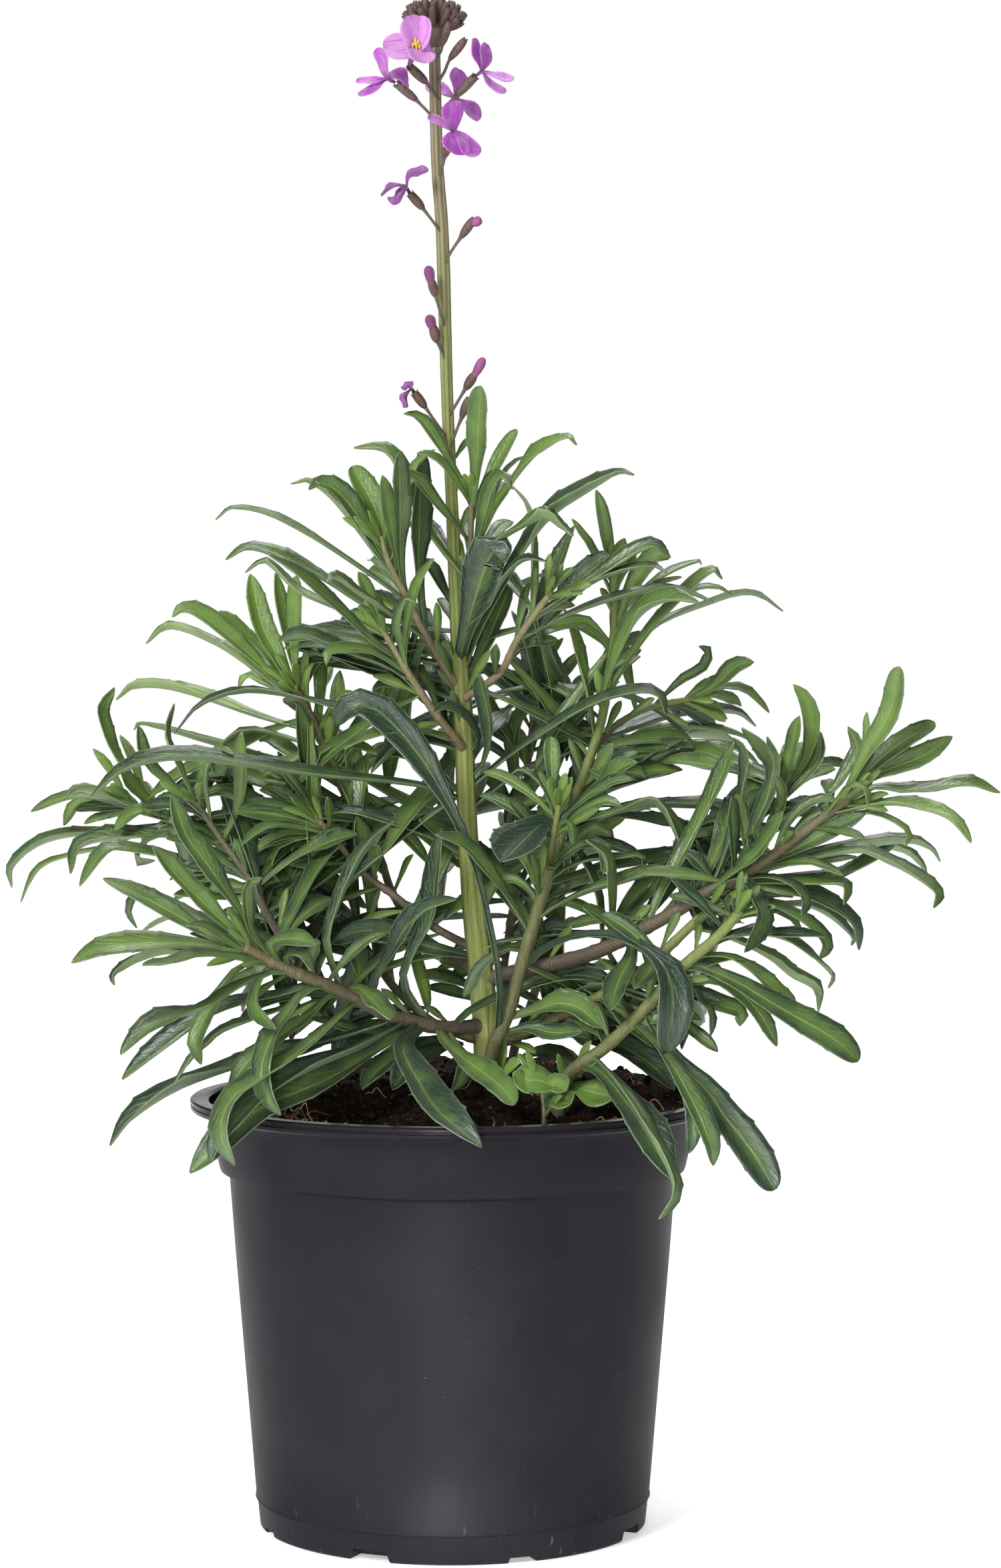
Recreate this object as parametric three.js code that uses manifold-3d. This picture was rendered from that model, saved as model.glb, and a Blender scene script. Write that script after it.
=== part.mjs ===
// A wallflower in its nursery pot, in millimetres, with +Z up.
// The origin is the centre of the pot's underside, where the pot stands.

import * as THREE from "three";
import { mergeVertices } from "three/addons/utils/BufferGeometryUtils.js";
import Module from "manifold-3d";

const wasm = await Module();
wasm.setup();
const { Manifold, Mesh } = wasm;

// Driving dimensions

const POT = {
  footRadius: 70, baseLineRadius: 71.2, baseLineHeight: 10.7,
  stepRadius: 81, stepHeight: 128.5, collarFoot: 84.2, collarTop: 88.8,
  lipRadius: 95, lipHeight: 4.6, height: 155.2, mouthRadius: 88,
  wall: 1.5, floor: 2.5, sides: 32,
};
const NOTCH = {
  count: 8, firstAngle: -114, reach: 60,
  deep: { height: 4, width: 17 }, shallow: { height: 2, width: 12 },
};
const SOIL = {
  frontHeight: 147, rise: 13, crown: 8, crownAt: [13, 0], crownSpread: 38,
  roughness: 1.6, sides: 28, rings: [85.6, 64, 42, 20], hole: 0.9,
};
const GAP = 0.3;
const CLEAR = 0.42;

// The plant is set out on an upright sheet through the pot's axis, as it is seen from the eye:
// a runs to the right, h runs up, and d is the depth in front of the sheet.
const EYE = { x: 17.3, height: 320, distance: 1390 };
const UP = new THREE.Vector3(0, 0, 1);
const BLADE = {
  keel: 0.9, rootKeel: 0.6, petiole: 1.3, rootWidth: 0.9, slimness: 0.14, stationEvery: 24, stations: [2, 5],
  kite: 0.6,
  swing: [0, 5, -5, 10, -10, 16, -16, 24, -24, 34, -34],
  lean: 0.42, rootReach: 1.5, rootSpacing: 2.2, rootShift: 9, rootZone: 9,
  forward: 1.2, swingPower: 1.5, seen: [0.35, 0.94], widen: [1.6, 1.5], lift: 0.25, slack: 0.12, look: 0.02,
};
const STEM_SIDES = 5;
const END_REACH = 3;
const SLIVER = 0.02;
const BACK = { tries: 5, seedStep: 1000, bearing: [30, 150], lift: 0.25, follow: 0.7, droop: [0.18, 0.48] };
const LAYOUT_SEED = 20417;

const COLOURS = {
  pot: { color: "#26262b", roughness: 0.45, metalness: 0 },
  soil: { color: "#2b211b", roughness: 0.95, metalness: 0 },
  stem: { color: "#8d8f57", roughness: 0.6, metalness: 0 },
  foliage: { color: "#4d6b3c", roughness: 0.55, metalness: 0 },
  calyx: { color: "#5a4750", roughness: 0.6, metalness: 0 },
  petal: { color: "#b761c4", roughness: 0.55, metalness: 0 },
  anther: { color: "#e6cf5a", roughness: 0.7, metalness: 0 },
  weed: { color: "#7d9a3d", roughness: 0.6, metalness: 0 },
};

// Small helpers for the rows of the layout

/** A pointed leaf: seen width, how far its tip comes forward of its root, and points (a, h, d). */
const leaf = (width, reach, ...points) => ({ width, reach, points, outline: "leaf" });
/** The same with a rounded tip. */
const blunt = (width, reach, ...points) => ({ width, reach, points, outline: "blunt" });
/** A petal on its narrow claw. */
const petal = (width, reach, ...points) => ({ width, reach, points, outline: "petal" });
/** A stem: its radii from foot to tip, evenly along it, and points (a, h, d). */
const stem = (radii, ...points) => ({ radii, points });

// A blade's width at even steps from its root to the end of its last station, as shares of its full width
const OUTLINES = {
  leaf: { width: [0.3, 0.34, 0.62, 0.96, 1, 0.8], last: 0.86 },
  blunt: { width: [0.34, 0.4, 0.68, 0.96, 1, 0.78], last: 0.95 },
  petal: { width: [0.2, 0.3, 0.8, 1, 0.98, 0.7], last: 0.95 },
};

// Layout of the leafy stems

const LEAFY_STEMS = {
  main_stem: {
    stems: [stem([4.9, 4.6, 4.4, 3.4, 3.4, 2.6, 2.1, 2.1, 2.3, 2.1, 2],
      [12, 128, 0], [12, 178, 0], [7, 230, 0], [5, 262, 0], [4, 290, 0], [1.9, 325, 0], [0.1, 362, 0],
      [-1.9, 408, 0], [-3.6, 465, 0], [-5.5, 493, 0], [-6.5, 536, 0])],
    leaves: [
      leaf(5, -14, [4, 284], [-34.5, 294.5], [-68.8, 302], [-89.9, 299], [-103, 289]),
      leaf(6.5, -25, [5, 262], [-12, 268], [-47.8, 272], [-95, 278.5], [-118, 276], [-133, 267]),
      leaf(6, 24, [5, 266], [22, 280], [47, 296], [66.6, 302.5], [76, 301.5], [80.3, 294.5]),
      leaf(3.2, 12, [4, 296], [14, 300.5], [29.3, 303.5], [59.5, 301], [75, 294.5], [87, 285], [94, 277.5]),
      leaf(6.5, 10, [5, 258], [20, 270], [41, 280], [60, 287.2], [80, 293.8], [101.7, 296.3], [112, 292]),
      blunt(4, 8, [5, 270], [11, 276], [13, 284], [12, 295], [8.8, 306.5]),
      leaf(4, 12, [9.5, 283.6], [4.6, 292.7], [-2, 296.6], [-6.8, 295]),
      leaf(9, 12, [8, 205], [-8, 209], [-20, 213.5], [-33, 215], [-44, 211]),
      leaf(8, -14, [7, 215], [-12, 219], [-33, 219], [-45, 219.5], [-58, 221.5], [-68, 221]),
      leaf(12, 16, [3.1, 315], [9, 338], [14, 351], [18, 346]),
      leaf(8, -10, [3, 303], [10, 315], [17, 331], [21, 342]),
      leaf(2.5, -6, [3, 312], [7, 320], [20, 337], [31.7, 344], [35, 343]),
      leaf(7.5, 14, [2.8, 310], [9, 322], [20, 345], [33, 364], [47, 374.5], [59, 382], [65.7, 382]),
      leaf(4, 8, [3, 322], [12, 332], [17, 341], [25, 350], [33.5, 352]),
      leaf(5, -12, [3, 284], [-4, 292], [-6, 308]),
      leaf(5, -16, [3, 280], [-12, 285], [-19, 291], [-22.5, 301.7]),
      leaf(5, -8, [1.5, 328], [-4, 340], [-8, 347], [-13.7, 349]),
      leaf(3, 6, [10, 208], [29, 213], [45, 214], [62, 212], [77, 209.5]),
    ],
    back: { count: 7, from: 0.2, to: 0.62, length: [45, 70], width: 7 },
  },
  shoot_a: {
    stems: [stem([1.4, 1.2, 1], [2.1, 318, 0], [4.5, 332, 4], [6, 344, 6], [7, 372, 8])],
    leaves: [
      leaf(4.5, 6, [6, 372], [0.4, 382], [-8, 396], [-13, 401], [-17.5, 401.8]),
      leaf(4, 10, [6, 372], [-2, 382], [-8, 387], [-12, 388.6]),
      leaf(5, 12, [6, 355], [-6, 370], [-13, 378.5], [-16.5, 378], [-18.2, 373.5]),
      leaf(4.5, -10, [4.6, 341], [-3.8, 353], [-11, 364], [-16.4, 376], [-23, 388.8], [-34.8, 392.4]),
      blunt(8, 8, [7, 368], [8.6, 385], [9.5, 411]),
      blunt(5, -6, [7, 362], [13, 378], [22.5, 396.6]),
      leaf(4, 8, [8, 352], [17, 371], [29, 387], [40.7, 394.7], [45.8, 392.8]),
      leaf(6, 14, [8, 352], [13, 372], [17.3, 380], [21.8, 375.9]),
      leaf(3.4, -8, [7, 356], [16, 376], [23, 385], [27.5, 386]),
      leaf(4, 14, [6, 350], [14.6, 355], [29, 364], [35, 365], [43.7, 358]),
    ],
    back: { count: 4, from: 0.35, to: 0.95, length: [34, 48], width: 5 },
  },
  shoot_b: {
    stems: [stem([1.6, 1.3, 1], [2.2, 303, 0], [-0.8, 307, 3], [-5.6, 315, 8], [-11, 324, 14],
      [-17, 336, 19], [-23, 348, 23], [-26, 358, 25])],
    leaves: [
      blunt(7, -6, [-10, 322], [-12, 345], [-10.5, 388]),
      blunt(5.5, -4, [-16, 333], [-18.4, 345], [-18.5, 387]),
      leaf(2.5, 2, [-20, 355], [-15, 380], [-7, 389.5]),
      blunt(8.5, 8, [-19.4, 338], [-23, 352], [-28, 368], [-36, 383]),
      leaf(5.4, 10, [-20, 347], [-22.5, 365], [-24.8, 378.8]),
      leaf(6.5, 6, [-18.8, 341], [-30.8, 360], [-40, 373], [-47.7, 377], [-52, 374.7]),
      leaf(3, -8, [-22, 345], [-38, 366], [-50, 378], [-58, 379.5]),
      leaf(3.2, -5, [-18.8, 336], [-34, 347], [-50, 357.6], [-66, 366], [-79.5, 370], [-87, 367.7]),
      leaf(5, 4, [-12, 324], [-30.8, 332.7], [-45, 342], [-58.5, 349], [-73, 354.6], [-82.6, 351.5]),
      leaf(4, 9, [-12, 324], [-24, 331], [-34, 338], [-41.7, 343.5], [-45.9, 342.6]),
    ],
    back: { count: 4, from: 0.34, to: 0.95, length: [36, 52], width: 6 },
  },
  shoot_b_low: {
    stems: [stem([1.7, 1.4, 1], [4.3, 280, 0], [2.8, 282.4, 4], [-3.2, 289.6, 10], [-8, 296, 14],
      [-14, 305, 18], [-17.7, 311, 20], [-26, 325, 22])],
    leaves: [
      leaf(6.5, 14, [-22, 315], [-31, 322], [-41, 332], [-55, 344], [-66, 351]),
      leaf(5, 6, [-25, 324], [-29, 334], [-33.4, 344.5]),
      leaf(4.5, 10, [-16, 311], [-17, 321], [-14, 337], [-8.3, 349.8]),
      leaf(3, 14, [-17.7, 311], [-20, 325], [-17, 335], [-13, 334.5]),
      leaf(5.5, -8, [-8, 298], [-20, 309], [-36, 316], [-55, 323], [-63, 320]),
      leaf(4.5, 16, [-18.9, 310], [-30.9, 316.7], [-44, 316.7], [-46.5, 312]),
      leaf(4.5, 2, [-26, 324], [-40, 331], [-55, 338], [-64.5, 347], [-68.7, 349], [-75.2, 345]),
    ],
    back: { count: 2, from: 0.4, to: 0.95, length: [30, 44], width: 5 },
  },
  shoot_c: {
    stems: [stem([1.7, 1.5, 1.2], [9, 201, 0], [-4, 208, -14], [-14, 216, -24], [-22, 229, -32],
      [-27, 243, -35], [-34, 252, -34], [-39, 264, -31], [-45, 277, -27], [-50, 290, -23],
        [-57, 304, -18])],
    leaves: [
      leaf(7, 6, [-59.8, 302], [-75, 317], [-91, 330], [-97.7, 332.4], [-102, 330]),
      leaf(3.5, -8, [-62, 302], [-74, 312], [-86, 320], [-101.9, 325.8], [-111.9, 320.7]),
      leaf(4.5, 2, [-61, 306], [-68, 315], [-80.8, 328], [-86.9, 328.8]),
      leaf(8, 10, [-58.5, 305], [-63, 314], [-68.8, 326], [-73, 344]),
      leaf(5, -6, [-57, 303], [-60, 322], [-63.4, 344.5]),
      blunt(6, 8, [-56.7, 305], [-57, 322], [-57, 342.6]),
      leaf(4, 12, [-54, 301.7], [-62, 308], [-69.4, 309.8]),
      leaf(3, 14, [-60, 301], [-68, 304.5], [-74.2, 307.7], [-77.5, 303]),
      leaf(3, 6, [-56, 303], [-53, 307], [-50.4, 312]),
      leaf(4.5, -6, [-50, 288], [-60, 290], [-73, 294], [-97, 302.6], [-114, 305], [-122.8, 301.6]),
      leaf(2.4, 4, [-47, 281], [-56.7, 284], [-74, 288], [-88, 279.7]),
      leaf(3.6, -10, [-48, 276], [-67, 278], [-90, 284.5], [-111.7, 291.3], [-116.8, 289.4]),
      leaf(6, 8, [-47, 272], [-55, 277], [-66, 285], [-71, 284]),
      leaf(5.5, 8, [-45, 280], [-42, 291], [-41, 309]),
      leaf(5.5, 6, [-42, 252], [-49.3, 259.5], [-53, 277], [-55, 296.6]),
      leaf(7.5, 14, [-30, 247], [-33, 262], [-38, 287]),
      leaf(3, 10, [-40, 257], [-48.4, 262], [-47.8, 276], [-43.3, 280]),
      leaf(4, 6, [-44, 256], [-55, 264], [-63, 280]),
      leaf(4, -2, [4, 206], [-5, 206], [-20, 203], [-39, 195]),
    ],
    back: { count: 5, from: 0.45, to: 0.98, length: [36, 55], width: 6 },
  },
  shoot_d: {
    stems: [
      stem([2.8, 2.5, 2.1, 1.7, 1.3], [13.5, 140, 10], [13.5, 167, 10], [20.2, 185.7, 13], [25.3, 204, 15],
        [30.4, 221, 16], [35.4, 237.8, 14], [42, 258, 8], [47, 270, 4], [53.5, 290, 0], [56, 305, -2],
        [58, 320, -3], [59, 345, -4]),
      stem([1.4, 1], [35, 236, 14], [35.5, 243, 20], [37, 252, 24], [38.5, 261, 27]),
      stem([1.3, 1], [51, 281, 2], [60, 290, -8], [72, 296, -14], [87, 299, -18]),
    ],
    leaves: [
      leaf(13, 0, [16.6, 175], [17, 185, 17], [17, 195, 20], [14.5, 212, 22], [6, 245, 22], [-11, 277, 22],
        [-28, 296, 22], [-38, 297, 22], [-44, 289, 20]),
      leaf(5.5, 6, [58.5, 340], [56, 355], [52.5, 374]),
      leaf(2.4, 2, [56, 340], [50, 353], [43.7, 364]),
      leaf(7, 8, [58, 336], [60, 348], [61.8, 356.7]),
      blunt(7, 4, [58, 322], [65, 340], [73, 351], [78, 350]),
      leaf(3, -4, [59, 330], [72, 341], [87.7, 349], [91, 348]),
      leaf(3, 6, [59, 326], [72, 339], [82.6, 343]),
      leaf(6, 12, [53, 296], [58.3, 313], [66, 329], [77, 336], [88, 337]),
      leaf(6, 4, [54, 300], [68, 320], [80, 334], [93, 346.7], [98.9, 344.8]),
      leaf(3, -6, [60, 312], [78, 332], [87.7, 339], [95.5, 340], [101.6, 337.7]),
      leaf(3, -10, [57, 305], [71, 324], [92.5, 334], [108, 337.7], [120, 332]),
      leaf(5, 8, [57, 317], [52, 324], [47, 327], [34, 325]),
      leaf(3.4, 8, [51, 288], [49, 301], [45, 318], [42, 332]),
      leaf(5, 0, [47, 272], [45, 287, -8], [41, 303, -11], [37, 313, -11], [36, 322, -11]),
      leaf(4.5, 4, [72, 297], [83, 306], [90.3, 310], [92.5, 316], [89, 317.7]),
      leaf(6.5, 6, [86, 298], [94.5, 303.5], [101.7, 310.5], [108.3, 312.5]),
      leaf(4, 0, [87, 299], [96, 303], [104.6, 303], [110, 299], [115, 294.4]),
      blunt(5.7, 2, [38.3, 258], [36.2, 268], [35.5, 285.4]),
      leaf(2.6, 6, [37, 254], [34, 265], [29.3, 271], [24.5, 274], [20.5, 272.5]),
      leaf(17, 30, [36.5, 249], [33, 254], [27, 250], [17.6, 241.3]),
      leaf(3, 8, [38, 254], [41, 255], [43, 252.5], [43.5, 246.8]),
      leaf(4.5, 6, [37.5, 252], [44, 256.5], [51, 261], [56, 262.3], [61, 260.5]),
      leaf(5, 12, [35, 236], [41.4, 243], [48.6, 246.8], [55, 244.5], [54.7, 235.5]),
      leaf(8, 8, [36, 238], [46, 247], [53, 251], [57, 244]),
      leaf(3.5, -4, [35, 232], [44, 239.5], [59.5, 242], [68.6, 242.5], [70, 237.5]),
      leaf(4.5, 10, [30, 226], [27, 230.5], [22, 233.5], [16, 232.5], [11, 224.4]),
      leaf(5, 10, [28, 214], [21, 225.6], [14.3, 235.3], [5.2, 246], [-5, 251]),
      leaf(13, 0, [27, 203], [32.4, 208, 24], [41.4, 212.3, 32], [55, 214, 40], [67, 210.5, 48],
        [75, 204.5, 54], [79.5, 196, 58], [80, 184, 60], [77.5, 170, 60]),
      leaf(4.5, 16, [25, 206], [20, 208.3], [11, 203], [5.6, 194], [3.4, 190.5]),
      leaf(9, 24, [21, 183.5], [29.3, 186], [38, 189], [46.2, 187], [54, 180]),
      leaf(7, 12, [19, 178], [28, 180], [36, 178], [46, 179]),
      leaf(5, -2, [50, 270], [54, 276], [58, 283]),
      leaf(7, 6, [46, 262], [54.7, 268], [59.5, 274], [66, 276.5]),
      leaf(4, 8, [46, 258], [53, 262], [54, 270], [49, 273.4]),
      leaf(5, 4, [42, 252], [50, 254], [60, 259.5], [72, 261], [86, 261], [95, 260.5], [105, 257],
        [113, 251.6]),
      leaf(4, 14, [44, 254], [60, 258.5], [71, 262.5], [77, 258.8], [80.6, 252.8], [84.2, 244.4],
        [87.3, 230.5]),
      leaf(4, 2, [29.5, 219], [36, 223.5], [47, 229], [59.5, 233], [74.6, 236.8], [85.5, 232.3]),
      leaf(4.5, -4, [31, 222], [40, 225.5], [52.5, 221.5]),
    ],
    back: { count: 6, from: 0.35, to: 0.98, length: [36, 56], width: 6 },
  },
  shoot_e: {
    stems: [stem([1.5, 1.3, 1.1], [3.2, 298, 0], [5.8, 300, 3], [17, 308, 8], [22.7, 319, 12],
      [28, 327, 16],
      [36, 338, 21])],
    leaves: [
      blunt(9, 8, [25, 322], [33, 326], [44, 340], [57, 351]),
      leaf(5, 2, [30, 328], [40, 336], [53, 344], [71, 355], [79.5, 352]),
      leaf(2.6, -4, [33, 330], [45, 338], [56, 344], [71, 347.7], [77.7, 346]),
      leaf(3.6, 10, [26, 322], [38, 328], [53, 334], [70, 338.5], [81, 339], [94.6, 334.4]),
    ],
    back: { count: 2, from: 0.4, to: 0.98, length: [28, 40], width: 5 },
  },
  shoot_f: {
    stems: [
      stem([3, 2.7, 2.4, 2, 1.5], [10, 196.5, 0], [28, 201, 5], [50, 206.6, 18], [65.8, 214, 27],
        [81, 222, 33],
        [93, 229.5, 38], [104.6, 234.5, 41], [115, 241.5, 44], [130, 253, 48], [144, 263, 52]),
      stem([1.4, 1.1], [105, 234.7, 41], [112, 248, 34], [118, 262, 26], [122, 272, 20]),
    ],
    leaves: [
      leaf(8, 20, [70, 216], [76, 231], [83, 243], [89.6, 256], [96, 270], [100.5, 283.6]),
      leaf(3.5, 8, [90.8, 228], [95.7, 236.5], [100, 248.6], [103.5, 261], [105.6, 273], [104.5, 280.5],
        [101, 284]),
      leaf(9, -12, [92, 229], [96, 245], [103, 260], [112, 272]),
      leaf(6, -8, [93, 230], [99, 243], [106.5, 261], [112.5, 267.3]),
      leaf(4.5, 6, [102, 233], [109.5, 254.6], [115.5, 272], [112.5, 281], [104.4, 288]),
      leaf(3.5, -6, [103, 233], [111, 254.6], [117.3, 274], [113, 285]),
      leaf(4, 2, [110, 239], [115.5, 251.6], [119.5, 264], [115.5, 272]),
      leaf(5, 10, [93, 230], [105, 239], [114, 249], [119, 258]),
      leaf(5.5, 0, [119, 262], [120, 272], [122.5, 282], [125, 292.6]),
      leaf(6, 6, [121, 266], [127, 276], [130, 289], [128, 298], [123.7, 303.5]),
      leaf(5, -6, [118, 260], [125.8, 269], [132.5, 278], [132.4, 287]),
      leaf(4.5, 8, [116, 243], [120, 252], [125.8, 259.4], [134.2, 263], [140, 261]),
      leaf(4, 12, [118, 245], [127, 254.6], [134, 259], [137, 254]),
      leaf(4.5, -6, [130, 253], [134, 262], [140.8, 270.3], [146.5, 281], [142.7, 288.7]),
      leaf(3.5, 2, [143, 262.5], [146.3, 274], [150, 284], [148.6, 294]),
      blunt(7, -2, [143, 262.5], [149, 279], [157.7, 293.8], [160.4, 309.8]),
      blunt(7, 4, [144, 263], [153.5, 276.3], [164, 284.5], [174, 291]),
      leaf(7.5, 8, [144, 263], [150, 270], [160, 274.5], [170, 278.5], [180.5, 285.9]),
      leaf(5.5, 2, [144, 263], [152, 267], [162, 266], [174, 267.3], [187, 268.5], [198, 265.2]),
      leaf(4, 10, [144, 262], [156, 261.5], [168, 260.5], [180, 256.5], [188, 247.4]),
      leaf(2.8, 16, [142, 260], [150, 258], [160, 254.8], [165.5, 250.5], [165.4, 245.6]),
      leaf(3, 18, [140, 262], [143, 267], [149, 267], [151.7, 261.3]),
      leaf(7, 18, [112, 238.5], [125.8, 245.6], [137.8, 252.2], [149, 257.5]),
      leaf(4.5, 22, [110, 238], [122, 240], [131.8, 239.5], [141.4, 236.3]),
      leaf(5.5, 12, [106, 235], [118, 234.5], [134, 234.3], [148, 239], [160, 247.4]),
      leaf(3, -6, [118, 243], [134, 240], [147, 243]),
      leaf(4.5, 0, [118, 243], [131.8, 244.4], [150, 247], [166, 248.3], [174, 245.6], [178, 241.3]),
      leaf(3.5, 6, [118, 243], [142.7, 246.3], [162, 245], [170, 240], [173.7, 233.5]),
      leaf(5.5, 10, [116, 241], [143.8, 244.4], [157.7, 240.7], [170, 234.5], [177, 229], [176.4, 223.2]),
      leaf(5, -8, [108, 236], [130, 233], [142, 232], [142, 224.4]),
      leaf(3.5, 18, [99, 232.5], [108, 234.5], [117, 234.5], [125, 230.5], [128.2, 225.6], [127, 220.2]),
      leaf(5.5, 8, [102, 233], [113.7, 232.6], [125.8, 229.9], [137, 225], [146, 218], [149.5, 208]),
      leaf(5.5, 22, [96, 231.5], [100.5, 234], [106, 233], [110.5, 226], [112.5, 219], [107.6, 207.7]),
      leaf(4.5, 14, [88, 226.5], [91, 226], [100.6, 223], [107.8, 219], [117, 211], [122, 203.5],
        [120, 194.7]),
      leaf(4, 4, [100, 232], [106, 228], [111.5, 226.2], [120, 223], [130, 217], [135.8, 210],
        [133.5, 204.4]),
      leaf(3.6, -6, [103, 232], [117.5, 225.5], [129, 224.5], [138, 220], [145.5, 213], [145, 209]),
      leaf(3, -10, [101, 231], [114, 223.5], [122, 220.5], [128, 214.4]),
      leaf(7, 16, [81, 222], [84, 229.5], [88, 226], [92, 219], [95.2, 214.7]),
      leaf(9, 26, [61, 212], [64.5, 213], [64.5, 206], [60, 197], [56.9, 187]),
      leaf(6, 18, [66, 213], [70.5, 206], [72, 202], [66, 195]),
      leaf(4.5, 6, [57, 211], [57.5, 228], [56, 241], [50, 249]),
      leaf(3.4, 10, [55, 210], [53, 226], [49, 238], [44, 247]),
      leaf(5, 4, [62, 212], [66, 223], [75, 232], [80, 243], [81, 252]),
    ],
    back: { count: 6, from: 0.3, to: 0.98, length: [36, 55], width: 6 },
  },
  shoot_g: {
    stems: [stem([2.5, 2.2, 1.7], [38, 138, 36], [40, 160, 38], [55.7, 173, 42], [69.4, 186.4, 46],
      [81.2, 200, 48], [96.4, 213.4, 50], [104.8, 222.7, 50])],
    leaves: [
      leaf(3.8, 6, [93, 211], [100.6, 213.5], [107.8, 214], [116.9, 213.5], [126, 209.9], [133, 204.4],
        [138, 199], [136.6, 193.8]),
      leaf(5, 4, [84, 203], [88, 205.6], [98.8, 206.2], [107.8, 201.4], [116.9, 194], [122.3, 190.5],
        [125, 185.6]),
      blunt(11, 10, [80, 199], [86.7, 202.6], [101.8, 197], [113.8, 190], [126, 183], [138, 176],
        [147.5, 168]),
      leaf(7, 14, [78, 196], [85.5, 196], [95.8, 197], [104.8, 192], [112, 184], [118, 173]),
      leaf(8, -6, [78, 196], [88, 193], [97.6, 188], [104, 186], [105, 180]),
      leaf(7.5, 0, [66, 182], [74, 174, 56], [80, 166, 66], [85, 157.7, 74], [90, 147.4, 80], [94, 137, 82],
        [95, 129.3, 82]),
      leaf(12, 0, [69, 186], [78, 172, 50], [85, 164, 52], [92.4, 157, 52], [98.4, 148, 52], [104, 141, 52],
        [110.5, 132, 52], [117, 120.6, 52]),
      leaf(2.2, 10, [80, 199], [86, 196], [90, 189.5], [94, 185.6], [94.7, 177]),
      leaf(5, 20, [72, 189], [80, 184], [88, 178], [96.3, 171.5]),
      leaf(14, 0, [47, 168], [54.7, 163, 52], [61, 155.5, 58], [66, 149.5, 68], [70, 143, 77],
        [75, 135, 82],
        [81, 126, 84]),
      leaf(4, 0, [50, 170], [60, 160, 66], [66, 152, 76], [72, 142, 84], [77, 133, 89], [80.8, 124, 92],
        [80.5, 117, 92], [75.3, 109.5, 91]),
    ],
    back: { count: 3, from: 0.35, to: 0.98, length: [34, 50], width: 6 },
  },
  shoot_g_low: {
    stems: [stem([2.2, 1.9, 1.6], [12, 172, 0], [19, 175, 1], [28, 179, 8], [45.5, 187.4, 22],
      [59, 194, 31],
      [72.8, 204, 36], [86.3, 216.7, 38], [95, 224, 38])],
    leaves: [
      leaf(5, 8, [86, 216], [95, 214.7], [107.8, 209.9], [116.9, 205], [123.5, 199.6], [132, 194.7],
        [133.8, 185.6]),
      blunt(8.5, 0, [30, 180], [37, 178, 32], [45, 175, 42], [54.7, 170, 54], [68, 162, 66],
        [77, 153.5, 75],
        [80.8, 146, 80]),
      leaf(5, 10, [48, 189], [56, 190], [63, 186], [68, 178]),
    ],
    back: { count: 2, from: 0.3, to: 0.98, length: [34, 50], width: 6 },
  },
  shoot_h: {
    stems: [stem([1.7, 1.5, 1.2], [12, 174, 0], [-6, 181, -10], [-20, 193, -19], [-30, 206, -27],
      [-45, 221, -36],
      [-57, 232, -43], [-70, 243, -49], [-85, 250, -54], [-105, 256, -58], [-119, 260, -60])],
    leaves: [
      leaf(3.5, 4, [-107, 257], [-116, 270], [-122.5, 281], [-126.4, 294], [-121.3, 301.7]),
      leaf(3.5, -8, [-110, 258], [-114, 272], [-120, 286]),
      leaf(3.5, 2, [-118, 260], [-120, 266.7], [-125, 275], [-129.9, 281]),
      leaf(6, 8, [-103, 256], [-107, 259], [-114, 266], [-120, 273]),
      leaf(4.5, 8, [-114.7, 259.5], [-119, 264], [-124.6, 267]),
      leaf(4, -4, [-118, 260], [-130, 263.5], [-139, 263.7], [-153, 259.7]),
      leaf(3, -8, [-118, 260], [-128, 265.5], [-136.4, 267], [-141, 263.7]),
      leaf(5.5, 10, [-117, 259.5], [-128, 262], [-136, 261.3], [-141, 253]),
      leaf(5.5, 14, [-100, 256], [-109, 258.5], [-115, 258.6], [-122.5, 252]),
      leaf(4.5, 0, [-108, 256], [-118, 252], [-145, 249], [-160, 240], [-162.8, 230.5]),
      leaf(2.5, -12, [-112, 258], [-124, 246], [-138, 243], [-150, 238], [-158, 226]),
      leaf(6.5, 12, [-75, 246], [-86, 249], [-100, 250.5], [-133, 247.4], [-139.6, 236]),
      leaf(4.5, 16, [-70, 243], [-80, 239], [-91, 240], [-118, 245], [-126, 244.7], [-136.5, 234.4]),
      leaf(3, 18, [-90, 251], [-97, 249], [-109, 249], [-114.7, 241], [-108, 240]),
    ],
    back: { count: 5, from: 0.45, to: 0.98, length: [34, 50], width: 6 },
  },
  shoot_i: {
    stems: [stem([1.6, 1.4, 1.1], [8.5, 208, 0], [-8, 217, -4], [-21, 227.5, -5], [-33, 236.5, -5],
      [-44, 250, -3], [-50, 256, -2])],
    leaves: [
      leaf(6, 6, [-49, 251.7], [-65.8, 259.5], [-82, 265.5], [-94, 264.3]),
      leaf(4.5, 12, [-49, 251], [-60, 253.5], [-67, 253], [-77, 247]),
      leaf(4, 14, [-48, 250], [-57, 248], [-64, 244.5], [-67, 237], [-63, 231]),
      leaf(3, 6, [-38, 242], [-54, 234.5], [-66, 230.5], [-72, 226.3]),
    ],
    back: { count: 2, from: 0.4, to: 0.98, length: [28, 42], width: 5 },
  },
  shoot_j: {
    stems: [
      stem([2.7, 2.5, 2.3, 2], [11, 180.6, 0], [-3, 179.7, 14], [-22.4, 184, 28], [-39.3, 192.5, 38],
        [-52.8, 198, 45], [-64.8, 203, 50], [-75.7, 209, 55]),
      stem([1.6, 1.3, 1.1], [-50, 197, 44], [-57, 205, 32], [-66, 219, 18], [-72, 231, 8], [-78, 240, 0],
        [-83, 247, -4], [-93, 262, -8]),
    ],
    leaves: [
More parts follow.
